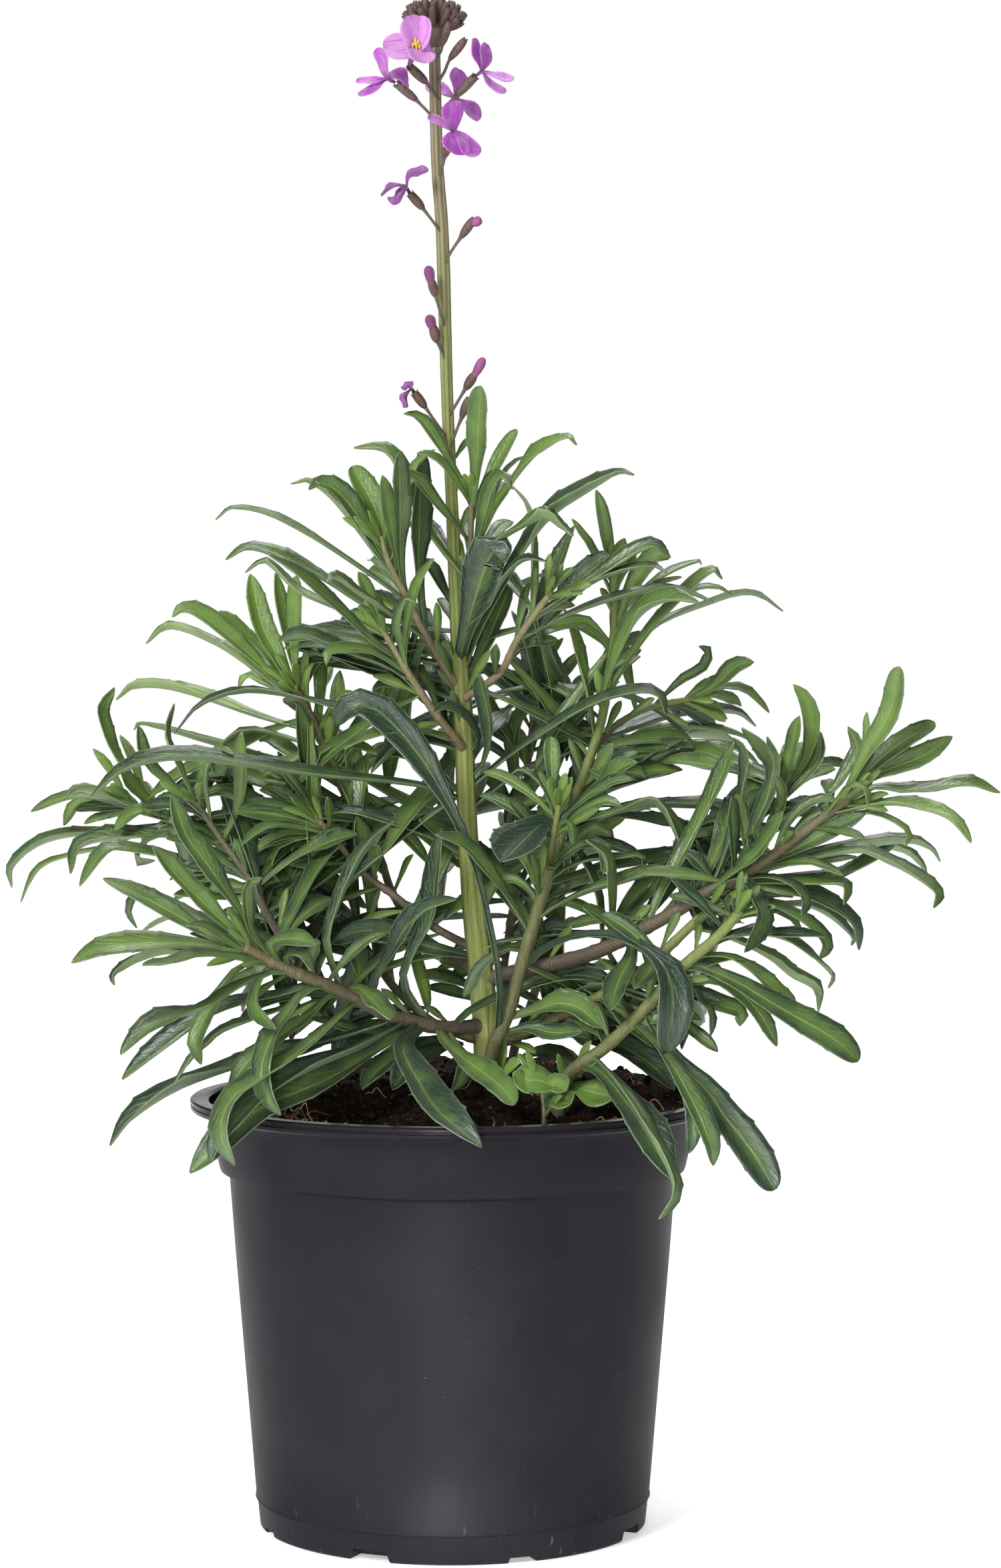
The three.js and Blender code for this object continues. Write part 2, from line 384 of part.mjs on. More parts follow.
      leaf(7.5, 10, [-77, 210], [-84, 211.5], [-101, 221.4], [-115.6, 229.3], [-126.1, 234.9]),
      leaf(8, 14, [-76, 210], [-89, 224.4], [-98, 233.5], [-108.4, 245.6]),
      leaf(7, 0, [-75, 209], [-76, 220], [-83, 231], [-90.2, 241.4], [-96.3, 250], [-100.5, 264.6]),
      leaf(7.8, 18, [-76, 209], [-81, 208.9], [-95, 210.5], [-110, 211], [-127, 209.5], [-138, 205.6]),
      leaf(6, 24, [-75, 208], [-82.4, 206.4], [-95, 206.2], [-104, 203.8], [-112.4, 202.6]),
      leaf(3.5, 20, [-76, 209], [-79.3, 210], [-89, 216.5], [-96.2, 218]),
      leaf(5.5, 26, [-68, 204.5], [-77, 202], [-83, 194], [-90.2, 183.2], [-93.2, 174.7], [-91.4, 166.3]),
      leaf(4, 6, [-75, 208], [-100, 208], [-112, 206], [-119.2, 202.6], [-123.6, 199], [-123.4, 195]),
      leaf(2.5, -10, [-75, 209], [-95, 222], [-112, 229], [-118, 223], [-116.6, 215]),
      leaf(3, -12, [-76, 209], [-92, 221], [-104.7, 219.6], [-115, 214.4]),
      leaf(4, 22, [-70, 206], [-72.5, 214], [-74, 222], [-74, 231], [-69.5, 233.5]),
      leaf(6.5, 20, [-70, 206], [-66, 210], [-60, 212.3], [-55, 212], [-50.3, 210.5]),
      leaf(5, 24, [-66, 204.5], [-60, 206.5], [-54.6, 206], [-51, 200.8]),
      leaf(4.5, 22, [-66, 203.5], [-68.5, 199], [-71.7, 193], [-71.5, 187], [-65.2, 179.3]),
      leaf(6, 14, [-60, 201], [-66, 200], [-80, 194], [-90.2, 187.5], [-101, 184.4], [-110.7, 180],
        [-120.5, 170.5]),
      leaf(8, 20, [-50, 197], [-58.8, 193], [-77, 189.3], [-89, 185], [-98, 179], [-111, 169], [-120, 161]),
      leaf(4, -6, [-48, 196], [-60, 188], [-71, 184], [-84, 179], [-89, 174.7], [-95, 169.3], [-101, 160]),
      leaf(7.5, 0, [-49, 196], [-54, 193, 50], [-60, 186, 60], [-66.2, 176, 70], [-69.8, 165, 78],
        [-68.6, 156.5, 82], [-63.5, 147.4, 84]),
      leaf(7, 0, [-20, 183], [-45, 175, 20], [-60, 172, 16], [-81, 166, 14], [-100, 159, 18],
        [-117.6, 148.7, 22],
        [-127, 139, 24]),
      leaf(13, 0, [-15, 181], [-20, 176.5, 28], [-30, 170.5, 36], [-42, 163.5, 48], [-54, 158, 57],
        [-69, 152, 66],
        [-82, 141, 73], [-96.2, 128, 76]),
      leaf(8, 0, [-18, 182], [-34, 173, 50], [-52, 166, 62], [-69, 157, 73], [-80, 147, 80],
        [-88, 138.5, 83],
        [-91, 131.5, 84]),
      leaf(7, 0, [-42, 194], [-54, 183, 50], [-64, 176, 56], [-75.3, 166.8, 62], [-83, 155, 64]),
      leaf(8, 0, [-34, 190], [-48, 178, 60], [-60, 168.5, 72], [-72, 161, 80], [-82, 153, 87],
        [-86, 141, 92],
        [-82.6, 128.6, 94]),
      leaf(13, 0, [-17, 182], [-18, 173, 52], [-12, 161, 70], [-5.7, 151.5, 89], [2, 145.5, 100],
        [10.6, 140, 106]),
      blunt(9, 0, [-5, 180], [-3, 175, 28], [3.4, 169.3, 42], [12.4, 162.6, 56], [18.5, 157.8, 66],
        [21.5, 154, 72]),
      leaf(6, 0, [-3, 179], [4, 168, 24], [3, 162, 30], [0.9, 157, 34]),
      leaf(4, -8, [-16, 182], [-30, 178.5], [-42, 181], [-52, 184.5]),
      leaf(5, 4, [-46.7, 196], [-45.5, 211], [-43, 222], [-38.3, 234], [-33, 243.8], [-27, 251],
        [-22, 256]),
      leaf(7, 16, [-29, 188], [-29.5, 194], [-23.8, 205], [-17.7, 216], [-10, 223.5], [0.2, 227.8]),
      leaf(9, 22, [-39, 192], [-36, 194.5], [-31, 192], [-22.6, 183]),
      leaf(6, 10, [-16, 182], [-17.7, 196], [-14, 208.7], [-8.7, 219], [-7, 235], [-5, 252]),
      leaf(8, 0, [-4, 180], [6.4, 186, 8], [18.5, 191.6, 5], [32.4, 197, 6], [45, 199.5, 10],
        [60, 197, 14]),
      leaf(3, -4, [-91, 259], [-98, 273], [-103.3, 286], [-100.2, 297]),
      leaf(4.5, 4, [-91, 260], [-101, 267], [-110.5, 276], [-113, 289.5]),
      leaf(2.2, 6, [-88, 256], [-89.4, 271.5], [-85, 280.6], [-79, 280.5]),
      leaf(5.5, 8, [-83, 248], [-77, 263], [-76.5, 287]),
      leaf(5, -4, [-72, 229], [-80, 232], [-88.5, 230.5]),
    ],
    back: { count: 6, from: 0.4, to: 0.98, length: [36, 56], width: 6 },
  },
  shoot_k: {
    stems: [stem([1.8, 1.6, 1.1], [21, 140, -20], [22, 170, -22], [28, 187, -26], [33, 205, -31],
      [39, 229, -36],
      [44, 239, -39], [50, 254, -43], [56, 274, -46])],
    leaves: [
      leaf(3, 4, [54, 266], [65.5, 273.3], [77.6, 276.3], [92, 277], [102, 275.5], [107.8, 271]),
      leaf(3.8, 0, [55, 270], [63.7, 278], [80, 283], [98, 282.5], [106, 279.5], [112.5, 273.6]),
      leaf(3, -6, [55, 272], [63.7, 284.2], [83.6, 289.3], [101.7, 287.2], [107, 285.5]),
      leaf(5.5, -10, [55, 270], [66, 283], [80, 286.5], [96, 286], [105, 283]),
      leaf(6, 10, [46, 243], [54, 251], [62.5, 257]),
    ],
    back: { count: 5, from: 0.4, to: 0.98, length: [34, 50], width: 6 },
  },
  shoot_l: {
    stems: [stem([1.5, 1.3, 1.1], [13, 140, -30], [16, 172, -32], [18, 195, -35], [20.5, 216, -38],
      [23, 232, -41],
      [26, 262, -45], [29, 292, -48], [31, 312, -50])],
    leaves: [
      leaf(5, 4, [29, 300], [31.5, 327], [37.7, 347], [42, 362]),
      leaf(2, 0, [28, 308], [29.5, 344], [29, 366], [24.5, 377]),
      leaf(4.5, 2, [28, 296], [25, 322], [26, 335.5]),
      leaf(3, 2, [28, 288], [27.5, 305], [25.7, 320], [22, 331]),
      leaf(5.5, 4, [28, 280], [31.8, 303], [31, 322], [29, 338]),
      leaf(5, 8, [24, 250], [22, 285], [29, 298], [37, 305]),
      leaf(3.4, 10, [27, 272], [30, 288], [35, 294.5], [43, 293.5]),
      leaf(5.5, 4, [27.5, 276], [32, 291], [41, 299], [48, 299]),
      leaf(5.5, 6, [22, 240], [21, 258], [26, 267], [33, 273]),
    ],
    back: { count: 4, from: 0.35, to: 0.98, length: [32, 50], width: 6 },
  },
};

// Layout of the flowers: each has its stalk and calyx, then its petals. The first point of a
// stalk lies on the main stem's middle line, and the calyx runs from its foot to its mouth.

const BLOOMS = {
  bloom_front: {
    stalk: [[-5, 514, 1], [-8, 518, 5]],
    calyx: [[-9, 519.8, 6], [-15.6, 526, 11]], face: [-12.9, 533.1, 15],
    petals: [
      petal(7.5, 4, [-12.9, 533.1], [-14.2, 538], [-15.6, 544]),
      petal(6, 4, [-12.9, 533.1], [-11, 538], [-9.2, 543.4]),
      petal(9, 5, [-12.9, 533.1], [-18, 532.6], [-24.6, 532]),
      petal(8.5, 5, [-12.9, 533.1], [-11.4, 530], [-9.6, 526.8]),
    ],
  },
  bloom_left: {
    stalk: [[-5.9, 506, 1], [-9, 509.8, 2]],
    calyx: [[-12.6, 513.6, 3], [-20.5, 520, 4]], face: [-23, 521.6, 5],
    petals: [
      petal(5.5, 3, [-23.2, 521.6], [-25, 527], [-26.6, 532.4]),
      petal(2.6, 1, [-23.4, 521.4], [-28, 521], [-34.6, 521]),
      petal(3, 3, [-23.4, 521.2], [-27.5, 518.5], [-33.5, 515.2]),
      petal(5.5, -5, [-22.8, 521.8], [-19, 522], [-15.4, 520.4]),
    ],
  },
  bloom_right: {
    stalk: [[-5.5, 509, 1], [-0.4, 513.6, 4]],
    calyx: [[1, 515, 5], [8.6, 522.6, 7]], face: [10.4, 524.2, 8],
    petals: [
      petal(3.6, 2, [10.4, 524.2], [8.8, 530], [8.3, 536]),
      petal(5, -2, [10.6, 524.4], [11.6, 529], [12, 534]),
      petal(3.4, 1, [10.8, 524.2], [16, 522.6], [22, 521]),
      petal(3.6, 5, [10.8, 523.8], [14, 519.6], [18.8, 516.6]),
    ],
  },
  bloom_behind: {
    stalk: [[-5.5, 507, -1], [-3, 508.6, -6]],
    calyx: [[-1.6, 509.6, -8], [0.6, 513, -13]], face: [1.2, 514.2, -15],
    petals: [
      petal(6.5, -3, [1.2, 514.2], [2, 519], [2.6, 525]),
      petal(4.6, 1, [1.2, 514.2], [-3.4, 517.5], [-9.8, 518.4]),
      petal(6, -1, [1.6, 514], [6, 511], [10, 507]),
      petal(5, -6, [1.2, 514], [0, 509], [-1, 504]),
    ],
  },
  bloom_low: {
    stalk: [[-5, 486, 1], [-3.6, 490, 4]],
    calyx: [[-2.8, 493.4, 6], [-0.6, 500.6, 10]], face: [0.4, 502.8, 12],
    petals: [
      petal(8, 4, [0.4, 502.9], [0.2, 508], [-0.4, 513.6]),
      petal(4, 3, [0.2, 502.8], [-3.6, 505.4], [-8.6, 508]),
      petal(9.5, 5, [0.6, 502.6], [1, 498.6], [1.2, 494.2]),
      petal(6.4, 1, [0.9, 502.6], [4.8, 498.8], [8, 493.4]),
    ],
  },
  bloom_spent: {
    stalk: [[-3.8, 466, 1], [-7, 470.4, 3]],
    calyx: [[-10.3, 474.8, 4], [-15.6, 480.8, 6]], face: [-16.6, 482.6, 7],
    petals: [
      petal(2.6, 3, [-16.4, 482.7], [-15.4, 486.6], [-9, 489.4]),
      petal(2.6, 2, [-16.8, 482.6], [-20.6, 483.4], [-26, 480.4]),
      petal(5.4, 5, [-16.8, 482.4], [-18.4, 480.6], [-20.4, 477.4]),
    ],
  },
  bloom_withered: {
    stalk: [[-1.4, 392, 1], [-6, 398.4, 3]],
    calyx: [[-9.6, 403.6, 4], [-14, 409.4, 6]], face: [-14.8, 410.4, 7],
    petals: [
      petal(3, 2, [-14.8, 410.4], [-16, 411.8], [-17.6, 410.4]),
      petal(3, 4, [-14.8, 410.2], [-17, 408], [-17, 404]),
    ],
  },
};

// Buds on the main stem, with the share of each that is a furled petal tip
const BUDS = {
  bud_top: { stalk: [[-5.6, 529, 1], [-4, 531.5, 4]], calyx: [[-3.8, 533.2, 5], [-1, 542, 9]] },
  bud_right: { stalk: [[-6, 519, 1], [-3, 523.6, 4], [-1.6, 527, 6]],
  calyx: [[-1.1, 528.2, 6.5], [5, 536, 9]] },
  bud_first: {
    stalk: [[-3.4, 454, 1], [-0.6, 459.4, 3]], calyx: [[2.9, 464.6, 4], [8, 471.8, 6]],
    tip: [[8.2, 467.6, 6], [10.4, 471.2, 7]],
  },
  bud_second: {
    stalk: [[-2.7, 432, 1], [-4.4, 438, 5]], calyx: [[-6, 443.4, 6], [-7.8, 450, 7]],
    tip: [[-8.1, 449.4, 7], [-8.8, 454.6, 8]],
  },
  bud_third: {
    stalk: [[-2.2, 420, 1], [-4.4, 425, 3]], calyx: [[-5.6, 427, 4], [-7.2, 433.6, 5]],
    tip: [[-7.7, 432.2, 5], [-8.6, 437, 6]],
  },
  bud_fourth: {
    stalk: [[-1.7, 400, 1], [1, 404.4, 3]], calyx: [[4.4, 410.2, 4], [8.4, 416.2, 6]],
    tip: [[8.5, 416.4, 6], [11.4, 421.6, 7]],
  },
  bud_fifth: { stalk: [[-1.2, 388, 1], [1, 394.4, 3]], calyx: [[3.2, 399.8, 4], [6, 407.6, 6]] },
};

const HEAD = {
  at: [-6.6, 534.5, 0], rows: [[0, 1, 15.5], [3.8, 5, 15], [7.4, 10, 14], [10.4, 12, 11.6], [11, 7, 7.6]],
  budRadius: 1.5, core: 6.2, coreHeight: 10, rootSpread: 0.4, rootHeight: 4,
};
const ANTHERS = { count: 3, radius: 1, spread: 0.8 };

const WEEDS = {
  weed_seedling: {
    stem: stem([0.9, 0.7], [33, 135, 66], [33, 150, 66], [32, 157, 66]),
    leaves: [
      blunt(7.5, 10, [32, 156], [28, 159], [23, 159.4]),
      blunt(7, 12, [32, 156], [36, 159], [41, 157.4]),
      blunt(6, 14, [32.6, 154], [37, 153.6], [42.5, 152]),
    ],
  },
  weed_yellow: {
    stem: stem([0.9, 0.7], [41, 141, 30], [42, 158, 33], [44, 162, 35]),
    leaves: [
      leaf(11, 12, [43, 161], [49, 163.5], [57, 160]),
      leaf(10, 16, [43, 159], [50, 156.5], [59, 155]),
    ],
  },
};

// Geometry helpers

/** Return a repeatable random stream of numbers from 0 to 1. */
function randomStream(seed) {
  let state = seed >>> 0;
  return () => {
    state = (state + 0x6d2b79f5) >>> 0;
    let t = state;
    t = Math.imul(t ^ (t >>> 15), t | 1);
    t ^= t + Math.imul(t ^ (t >>> 7), t | 61);
    return ((t ^ (t >>> 14)) >>> 0) / 4294967296;
  };
}

/** Turn a sheet point (a, h, d) into a point in space. */
function inSpace(point) {
  const scale = (EYE.distance - point.z) / EYE.distance;
  return new THREE.Vector3(
    EYE.x + (point.x - EYE.x) * scale, -point.z, EYE.height + (point.y - EYE.height) * scale);
}

/** Make a closed three.js geometry into a solid. */
function toSolid(geometry) {
  geometry.deleteAttribute("normal");
  geometry.deleteAttribute("uv");
  const merged = mergeVertices(geometry, 1e-4);
  return new Manifold(new Mesh({
    numProp: 3,
    vertProperties: new Float32Array(merged.getAttribute("position").array),
    triVerts: new Uint32Array(merged.index.array),
  }));
}

/** Join a list of solids. */
const fuse = (solids) => solids.reduce((whole, solid) => whole.add(solid));

/** Keep only the largest body of a solid. */
function largestBody(solid) {
  const bodies = solid.decompose();
  return bodies.reduce((best, body) => (body.volume() > best.volume() ? body : best));
}

/** Make a solid, without the slivers that its cuts left, into a mesh with the named finish. */
function toMesh(name, solid, finish) {
  const { vertProperties, triVerts, numProp } = solid.simplify(SLIVER).getMesh();
  const positions = new Float32Array((vertProperties.length / numProp) * 3);
  for (let i = 0; i < positions.length / 3; i += 1) {
    positions.set(vertProperties.subarray(i * numProp, i * numProp + 3), i * 3);
  }
  const geometry = new THREE.BufferGeometry();
  geometry.setAttribute("position", new THREE.BufferAttribute(positions, 3));
  geometry.setIndex(Array.from(triVerts));
  geometry.computeVertexNormals();
  const mesh = new THREE.Mesh(geometry, new THREE.MeshStandardMaterial(COLOURS[finish]));
  mesh.name = name;
  return mesh;
}

/** Return a list's value at a share u of its run, evenly spaced and joined by straight lines. */
function valueAlong(list, u) {
  const place = u * (list.length - 1);
  const i = Math.min(Math.floor(place), list.length - 2);
  return list[i] + (list[i + 1] - list[i]) * (place - i);
}

/** Build a round rod along points in space, with radii from foot to tip. */
function rod(points, radii, sides, steps) {
  const curve = new THREE.CatmullRomCurve3(points);
  const ring = Array.from({ length: sides }, (_, i) => {
    const angle = (2 * Math.PI * i) / sides;
    return new THREE.Vector2(Math.cos(angle), Math.sin(angle));
  });
  const geometry = new THREE.ExtrudeGeometry(new THREE.Shape(ring), {
    steps, extrudePath: curve, bevelEnabled: false,
  });
  const stops = curve.getSpacedPoints(steps);
  const position = geometry.getAttribute("position");
  const vertex = new THREE.Vector3();
  for (let i = 0; i < position.count; i += 1) {
    vertex.fromBufferAttribute(position, i);
    const distances = stops.map((stop) => stop.distanceTo(vertex));
    const nearest = distances.indexOf(Math.min(...distances));
    const radius = valueAlong(radii, nearest / steps);
    vertex.sub(stops[nearest]).multiplyScalar(radius).add(stops[nearest]);
    position.setXYZ(i, vertex.x, vertex.y, vertex.z);
  }
  return toSolid(geometry);
}

/** Return the smooth sheet curve of a row's points, with missing depths as zero. */
function sheetCurve(points) {
  return new THREE.CatmullRomCurve3(
    points.map(([a, h, d]) => new THREE.Vector3(a, h, d ?? 0)), false, "catmullrom", 0.5);
}

/** Build a stem's rod, or with extra the room it takes up: fattened all round and longer at both ends. */
function stemRod({ radii, points }, extra = 0) {
  const steps = Math.max(3, points.length - 1);
  const reach = extra * END_REACH;
  const ends = points.map(([a, h, d], i) => {
    const lift = (i === points.length - 1 ? reach : 0) - (i === 0 ? reach : 0);
    return [a, h + lift, d];
  });
  const curve = sheetCurve(ends);
  const inRoom = Array.from({ length: steps + 1 }, (_, i) => inSpace(curve.getPoint(i / steps)));
  return rod(inRoom, radii.map((radius) => radius + extra), STEM_SIDES, steps);
}

const STEM_SAMPLES = 80;

/** Sample a stem's sheet curve from foot to tip. */
function stemSamples({ points }) {
  const curve = sheetCurve(points);
  return Array.from({ length: STEM_SAMPLES + 1 }, (_, i) => curve.getPoint(i / STEM_SAMPLES));
}

/** Find where each leaf leaves its stems, near its first point, and how much it leans to or from the eye. */
function rootsOf(samplesOfStems, rows, seed) {
  const taken = [];
  const random = randomStream(seed);
  return rows.map(({ points: [[a, h]] }) => {
    const distances = samplesOfStems.map((samples) => samples.map(
      (sample) => Math.hypot(sample.x - a, sample.y - h)));
    const nearest = distances.map((list) => Math.min(...list));
    const stemIndex = nearest.indexOf(Math.min(...nearest));
    const samples = samplesOfStems[stemIndex];
    const far = nearest[stemIndex] > BLADE.rootReach;
    let index = distances[stemIndex].indexOf(nearest[stemIndex]);
    const goDown = (isDone) => {
      let down = 0;
      while (index > 1 && !isDone(down)) {
        down += samples[index].distanceTo(samples[index - 1]);
        index -= 1;
      }
    };
    if (far) {
      goDown((down) => down >= nearest[stemIndex]);
    }
    goDown((down) => down >= BLADE.rootShift
      || taken.every((other) => other.distanceTo(samples[index]) >= BLADE.rootSpacing));
    taken.push(samples[index]);
    const lean = BLADE.lean * (2 * random() - 1);
    return { root: samples[index], far, lean };
  });
}

/** Return a leaf's sheet points from its root out, its tip swung forward by the given depth. */
function leafPath(row, { root, far, lean }, swing) {
  const onward = far ? row.points : row.points.slice(1);
  const flat = [[root.x, root.y], ...onward];
  const lengths = [0];
  for (let i = 1; i < flat.length; i += 1) {
    lengths.push(lengths[i - 1] + Math.hypot(flat[i][0] - flat[i - 1][0], flat[i][1] - flat[i - 1][1]));
  }
  const total = lengths[lengths.length - 1];
  return flat.map(([a, h, d], i) => {
    const share = lengths[i] / total;
    const depth = d ?? root.z + (row.reach + lean * total) * share ** BLADE.forward;
    return [a, h, depth + swing * share ** BLADE.swingPower];
  });
}

const PATH_SAMPLES = 48;

/** Sample a smooth path in space by its length, and return a function from share to point. */
function pathInSpace(points) {
  const curve = sheetCurve(points);
  const samples = Array.from(
    { length: PATH_SAMPLES + 1 }, (_, i) => inSpace(curve.getPoint(i / PATH_SAMPLES)));
  const lengths = [0];
  for (let i = 1; i <= PATH_SAMPLES; i += 1) {
    lengths.push(lengths[i - 1] + samples[i].distanceTo(samples[i - 1]));
  }
  const total = lengths[PATH_SAMPLES];
  const at = (share) => {
    const goal = THREE.MathUtils.clamp(share, 0, 1) * total;
    let i = 1;
    while (i < PATH_SAMPLES && lengths[i] < goal) {
      i += 1;
    }
    const part = (goal - lengths[i - 1]) / Math.max(lengths[i] - lengths[i - 1], 1e-9);
    return samples[i - 1].clone().lerp(samples[i], part);
  };
  return { at, total };
}

/** Return the middle of some points. */
function middleOf(points) {
  const sum = points.reduce((total, point) => total.add(point), new THREE.Vector3());
  return sum.divideScalar(points.length);
}

/** Split a quad into two triangles along the diagonal that stands farther out from the middle. */
function splitOutwards(positions, [a, b, c, d], middle) {
  const one = middleOf([positions[a], positions[c]]);
  const other = middleOf([positions[b], positions[d]]);
  const outwards = one.clone().add(other).addScaledVector(middle, -2);
  return one.sub(other).dot(outwards) > 0 ? [a, b, c, a, c, d] : [a, b, d, b, c, d];
}

/** Build a blade: an upper face, a keel below it, and a pointed or rounded tip. */
function blade({ at, total }, row, guide) {
  const { width, last: lastShare } = OUTLINES[row.outline];
  const [fewest, most] = BLADE.stations;
  const stations = THREE.MathUtils.clamp(1 + Math.ceil(total / BLADE.stationEvery), fewest, most);
  const [leastSeen, mostSeen] = BLADE.seen;
  const widest = BLADE.widen[0] * row.width + BLADE.widen[1];
  const full = Math.max(row.width / mostSeen, Math.min(BLADE.slimness * total, widest));
  const turn = Math.acos(THREE.MathUtils.clamp(row.width / full, leastSeen, mostSeen));
  const eye = new THREE.Vector3(EYE.x, -EYE.distance, EYE.height);
  const frameAt = (share) => {
    const place = at(share);
    const tangent = at(share + BLADE.look).sub(at(share - BLADE.look)).normalize();
    const toEye = eye.clone().sub(place).normalize();
    const facing = toEye.addScaledVector(guide, BLADE.lift);
    facing.addScaledVector(tangent, -facing.dot(tangent)).normalize();
    return { place, tangent, facing };
  };
  const whole = at(1).sub(at(0)).normalize();
  const side = whole.clone().cross(frameAt(0.5).facing);
  const upright = guide.dot(side);
  const sense = Math.abs(upright) > BLADE.slack ? Math.sign(upright) : (whole.x >= 0 ? -1 : 1);
  const positions = [];
  for (let i = 0; i < stations; i += 1) {
    const share = stations > 2 ? (lastShare * i) / (stations - 1) : BLADE.kite * i;
    const { place, tangent, facing } = frameAt(share);
    const upper = facing.clone().multiplyScalar(Math.cos(turn))
      .addScaledVector(tangent.clone().cross(facing), sense * Math.sin(turn)).normalize();
    const across = tangent.clone().cross(upper);
    const seen = Math.max(full * valueAlong(width, i / (stations - 1)), Math.min(BLADE.petiole, full));
    const half = (i === 0 ? BLADE.rootWidth : seen) / 2;
    positions.push(place.clone().addScaledVector(across, -half));
    positions.push(place.clone().addScaledVector(across, half));
    positions.push(place.clone().addScaledVector(upper, i === 0 ? -BLADE.rootKeel : -BLADE.keel));
  }
  positions.push(at(1));
  const index = [];
  const last = stations - 1;
  for (let i = 0; i < last; i += 1) {
    const middle = middleOf(positions.slice(i * 3, i * 3 + 6));
    for (let k = 0; k < 3; k += 1) {
      const a = i * 3 + k;
      const b = i * 3 + ((k + 1) % 3);
      index.push(...splitOutwards(positions, [a, b, b + 3, a + 3], middle));
    }
  }
  const tip = positions.length - 1;
  for (let k = 0; k < 3; k += 1) {
    index.push(last * 3 + k, last * 3 + ((k + 1) % 3), tip);
  }
  index.push(0, 2, 1);
  const geometry = new THREE.BufferGeometry().setFromPoints(positions);
  geometry.setIndex(index);
  return toSolid(geometry);
}

/** Return the path of a back leaf by rule: out from the stem, away from the eye, then drooping. */
function backPath(samples, share, random, [shortest, longest]) {
  const index = Math.round(share * STEM_SAMPLES);
  const root = inSpace(samples[index]);
  const onward = inSpace(samples[Math.min(index + 2, STEM_SAMPLES)]);
  const ahead = onward.sub(inSpace(samples[index - 2])).normalize();
  const bearing = THREE.MathUtils.degToRad(BACK.bearing[0] + (BACK.bearing[1] - BACK.bearing[0]) * random());
  const outward = new THREE.Vector3(Math.cos(bearing), Math.sin(bearing), BACK.lift);
  const heading = outward.addScaledVector(ahead, BACK.follow * (0.8 + 0.4 * random())).normalize();
  const reach = shortest + (longest - shortest) * random();
  const droop = (BACK.droop[0] + (BACK.droop[1] - BACK.droop[0]) * random()) * reach;
  return {
    total: reach,
    at: (part) => {
      const point = root.clone().addScaledVector(heading, reach * part);
      point.z -= droop * part * Math.abs(part);
      return point;
    },
  };
}

// What is already standing, so that what comes later can be bent clear of it
const standing = [];

/** Note a solid as standing in a node. */
function stand(node, solid, isBlade = false) {
  standing.push({ node, solid, isBlade, box: solid.boundingBox() });
}

/** Tell if a solid keeps its clearance from all that stands in other nodes. */
function isClear(node, solid) {
  const { min, max } = solid.boundingBox();
  return standing.every((other) => {
    if (other.node === node) {
      return true;
    }
    const apart = min.some((low, i) => low - CLEAR > other.box.max[i] || max[i] + CLEAR < other.box.min[i]);
    return apart || solid.minGap(other.solid, CLEAR) >= CLEAR;
  });
}

/** Count the blades of its own node that a blade crosses away from its root. */
function crossings(node, solid, root) {
  return standing.filter((other) => {
    if (other.node !== node || !other.isBlade) {
      return false;
    }
    const shared = solid.intersect(other.solid);
    if (shared.isEmpty()) {
      return false;
    }
    const { min, max } = shared.boundingBox();
    const middle = new THREE.Vector3(...min).add(new THREE.Vector3(...max)).multiplyScalar(0.5);
    return middle.distanceTo(root) > BLADE.rootZone;
  }).length;
}

// Pot

/** Build the pot: turned wall and floor, with notches round its foot that drain it. */
function buildPot() {
  const { wall } = POT;
  const profile = [
    [0, 0], [POT.footRadius, 0], [POT.baseLineRadius, POT.baseLineHeight], [POT.stepRadius, POT.stepHeight],
    [POT.collarFoot, POT.stepHeight], [POT.collarTop, POT.height - POT.lipHeight],
    [POT.lipRadius, POT.height - POT.lipHeight], [POT.lipRadius, POT.height],
    [POT.mouthRadius + wall, POT.height], [POT.mouthRadius, POT.height - wall],
    [POT.collarFoot - wall, POT.stepHeight + wall], [POT.stepRadius - wall, POT.stepHeight + wall],
    [POT.footRadius - wall, POT.floor], [0, POT.floor],
  ].map(([r, z]) => new THREE.Vector2(r, z));
  const lathe = new THREE.LatheGeometry([...profile, profile[0]], POT.sides).rotateX(Math.PI / 2);
  let pot = toSolid(lathe);
  for (let i = 0; i < NOTCH.count; i += 1) {
    const { height, width } = i % 2 === 0 ? NOTCH.deep : NOTCH.shallow;
    const depth = POT.footRadius - NOTCH.reach + 8;
    const cutter = new THREE.BoxGeometry(depth, width, height + 1);
    cutter.translate(NOTCH.reach + depth / 2, 0, (height - 1) / 2);
    cutter.rotateZ(THREE.MathUtils.degToRad(NOTCH.firstAngle + (360 / NOTCH.count) * i));
    pot = pot.subtract(toSolid(cutter));
  }
  return pot;
}

// Soil

/** Return the soil's height: it rises to the back and heaps up round the stems. */
function soilHeight(x, y) {
  const back = (y + POT.mouthRadius) / (2 * POT.mouthRadius);
  const apart = Math.hypot(x - SOIL.crownAt[0], y - SOIL.crownAt[1]);
  const rough = Math.sin(x * 0.31 + 1.3) * Math.cos(y * 0.27) + 0.6 * Math.sin(x * 0.83 - y * 0.61);
  return SOIL.frontHeight + SOIL.rise * back
    + SOIL.crown * Math.exp(-((apart / SOIL.crownSpread) ** 2)) + SOIL.roughness * rough;
}

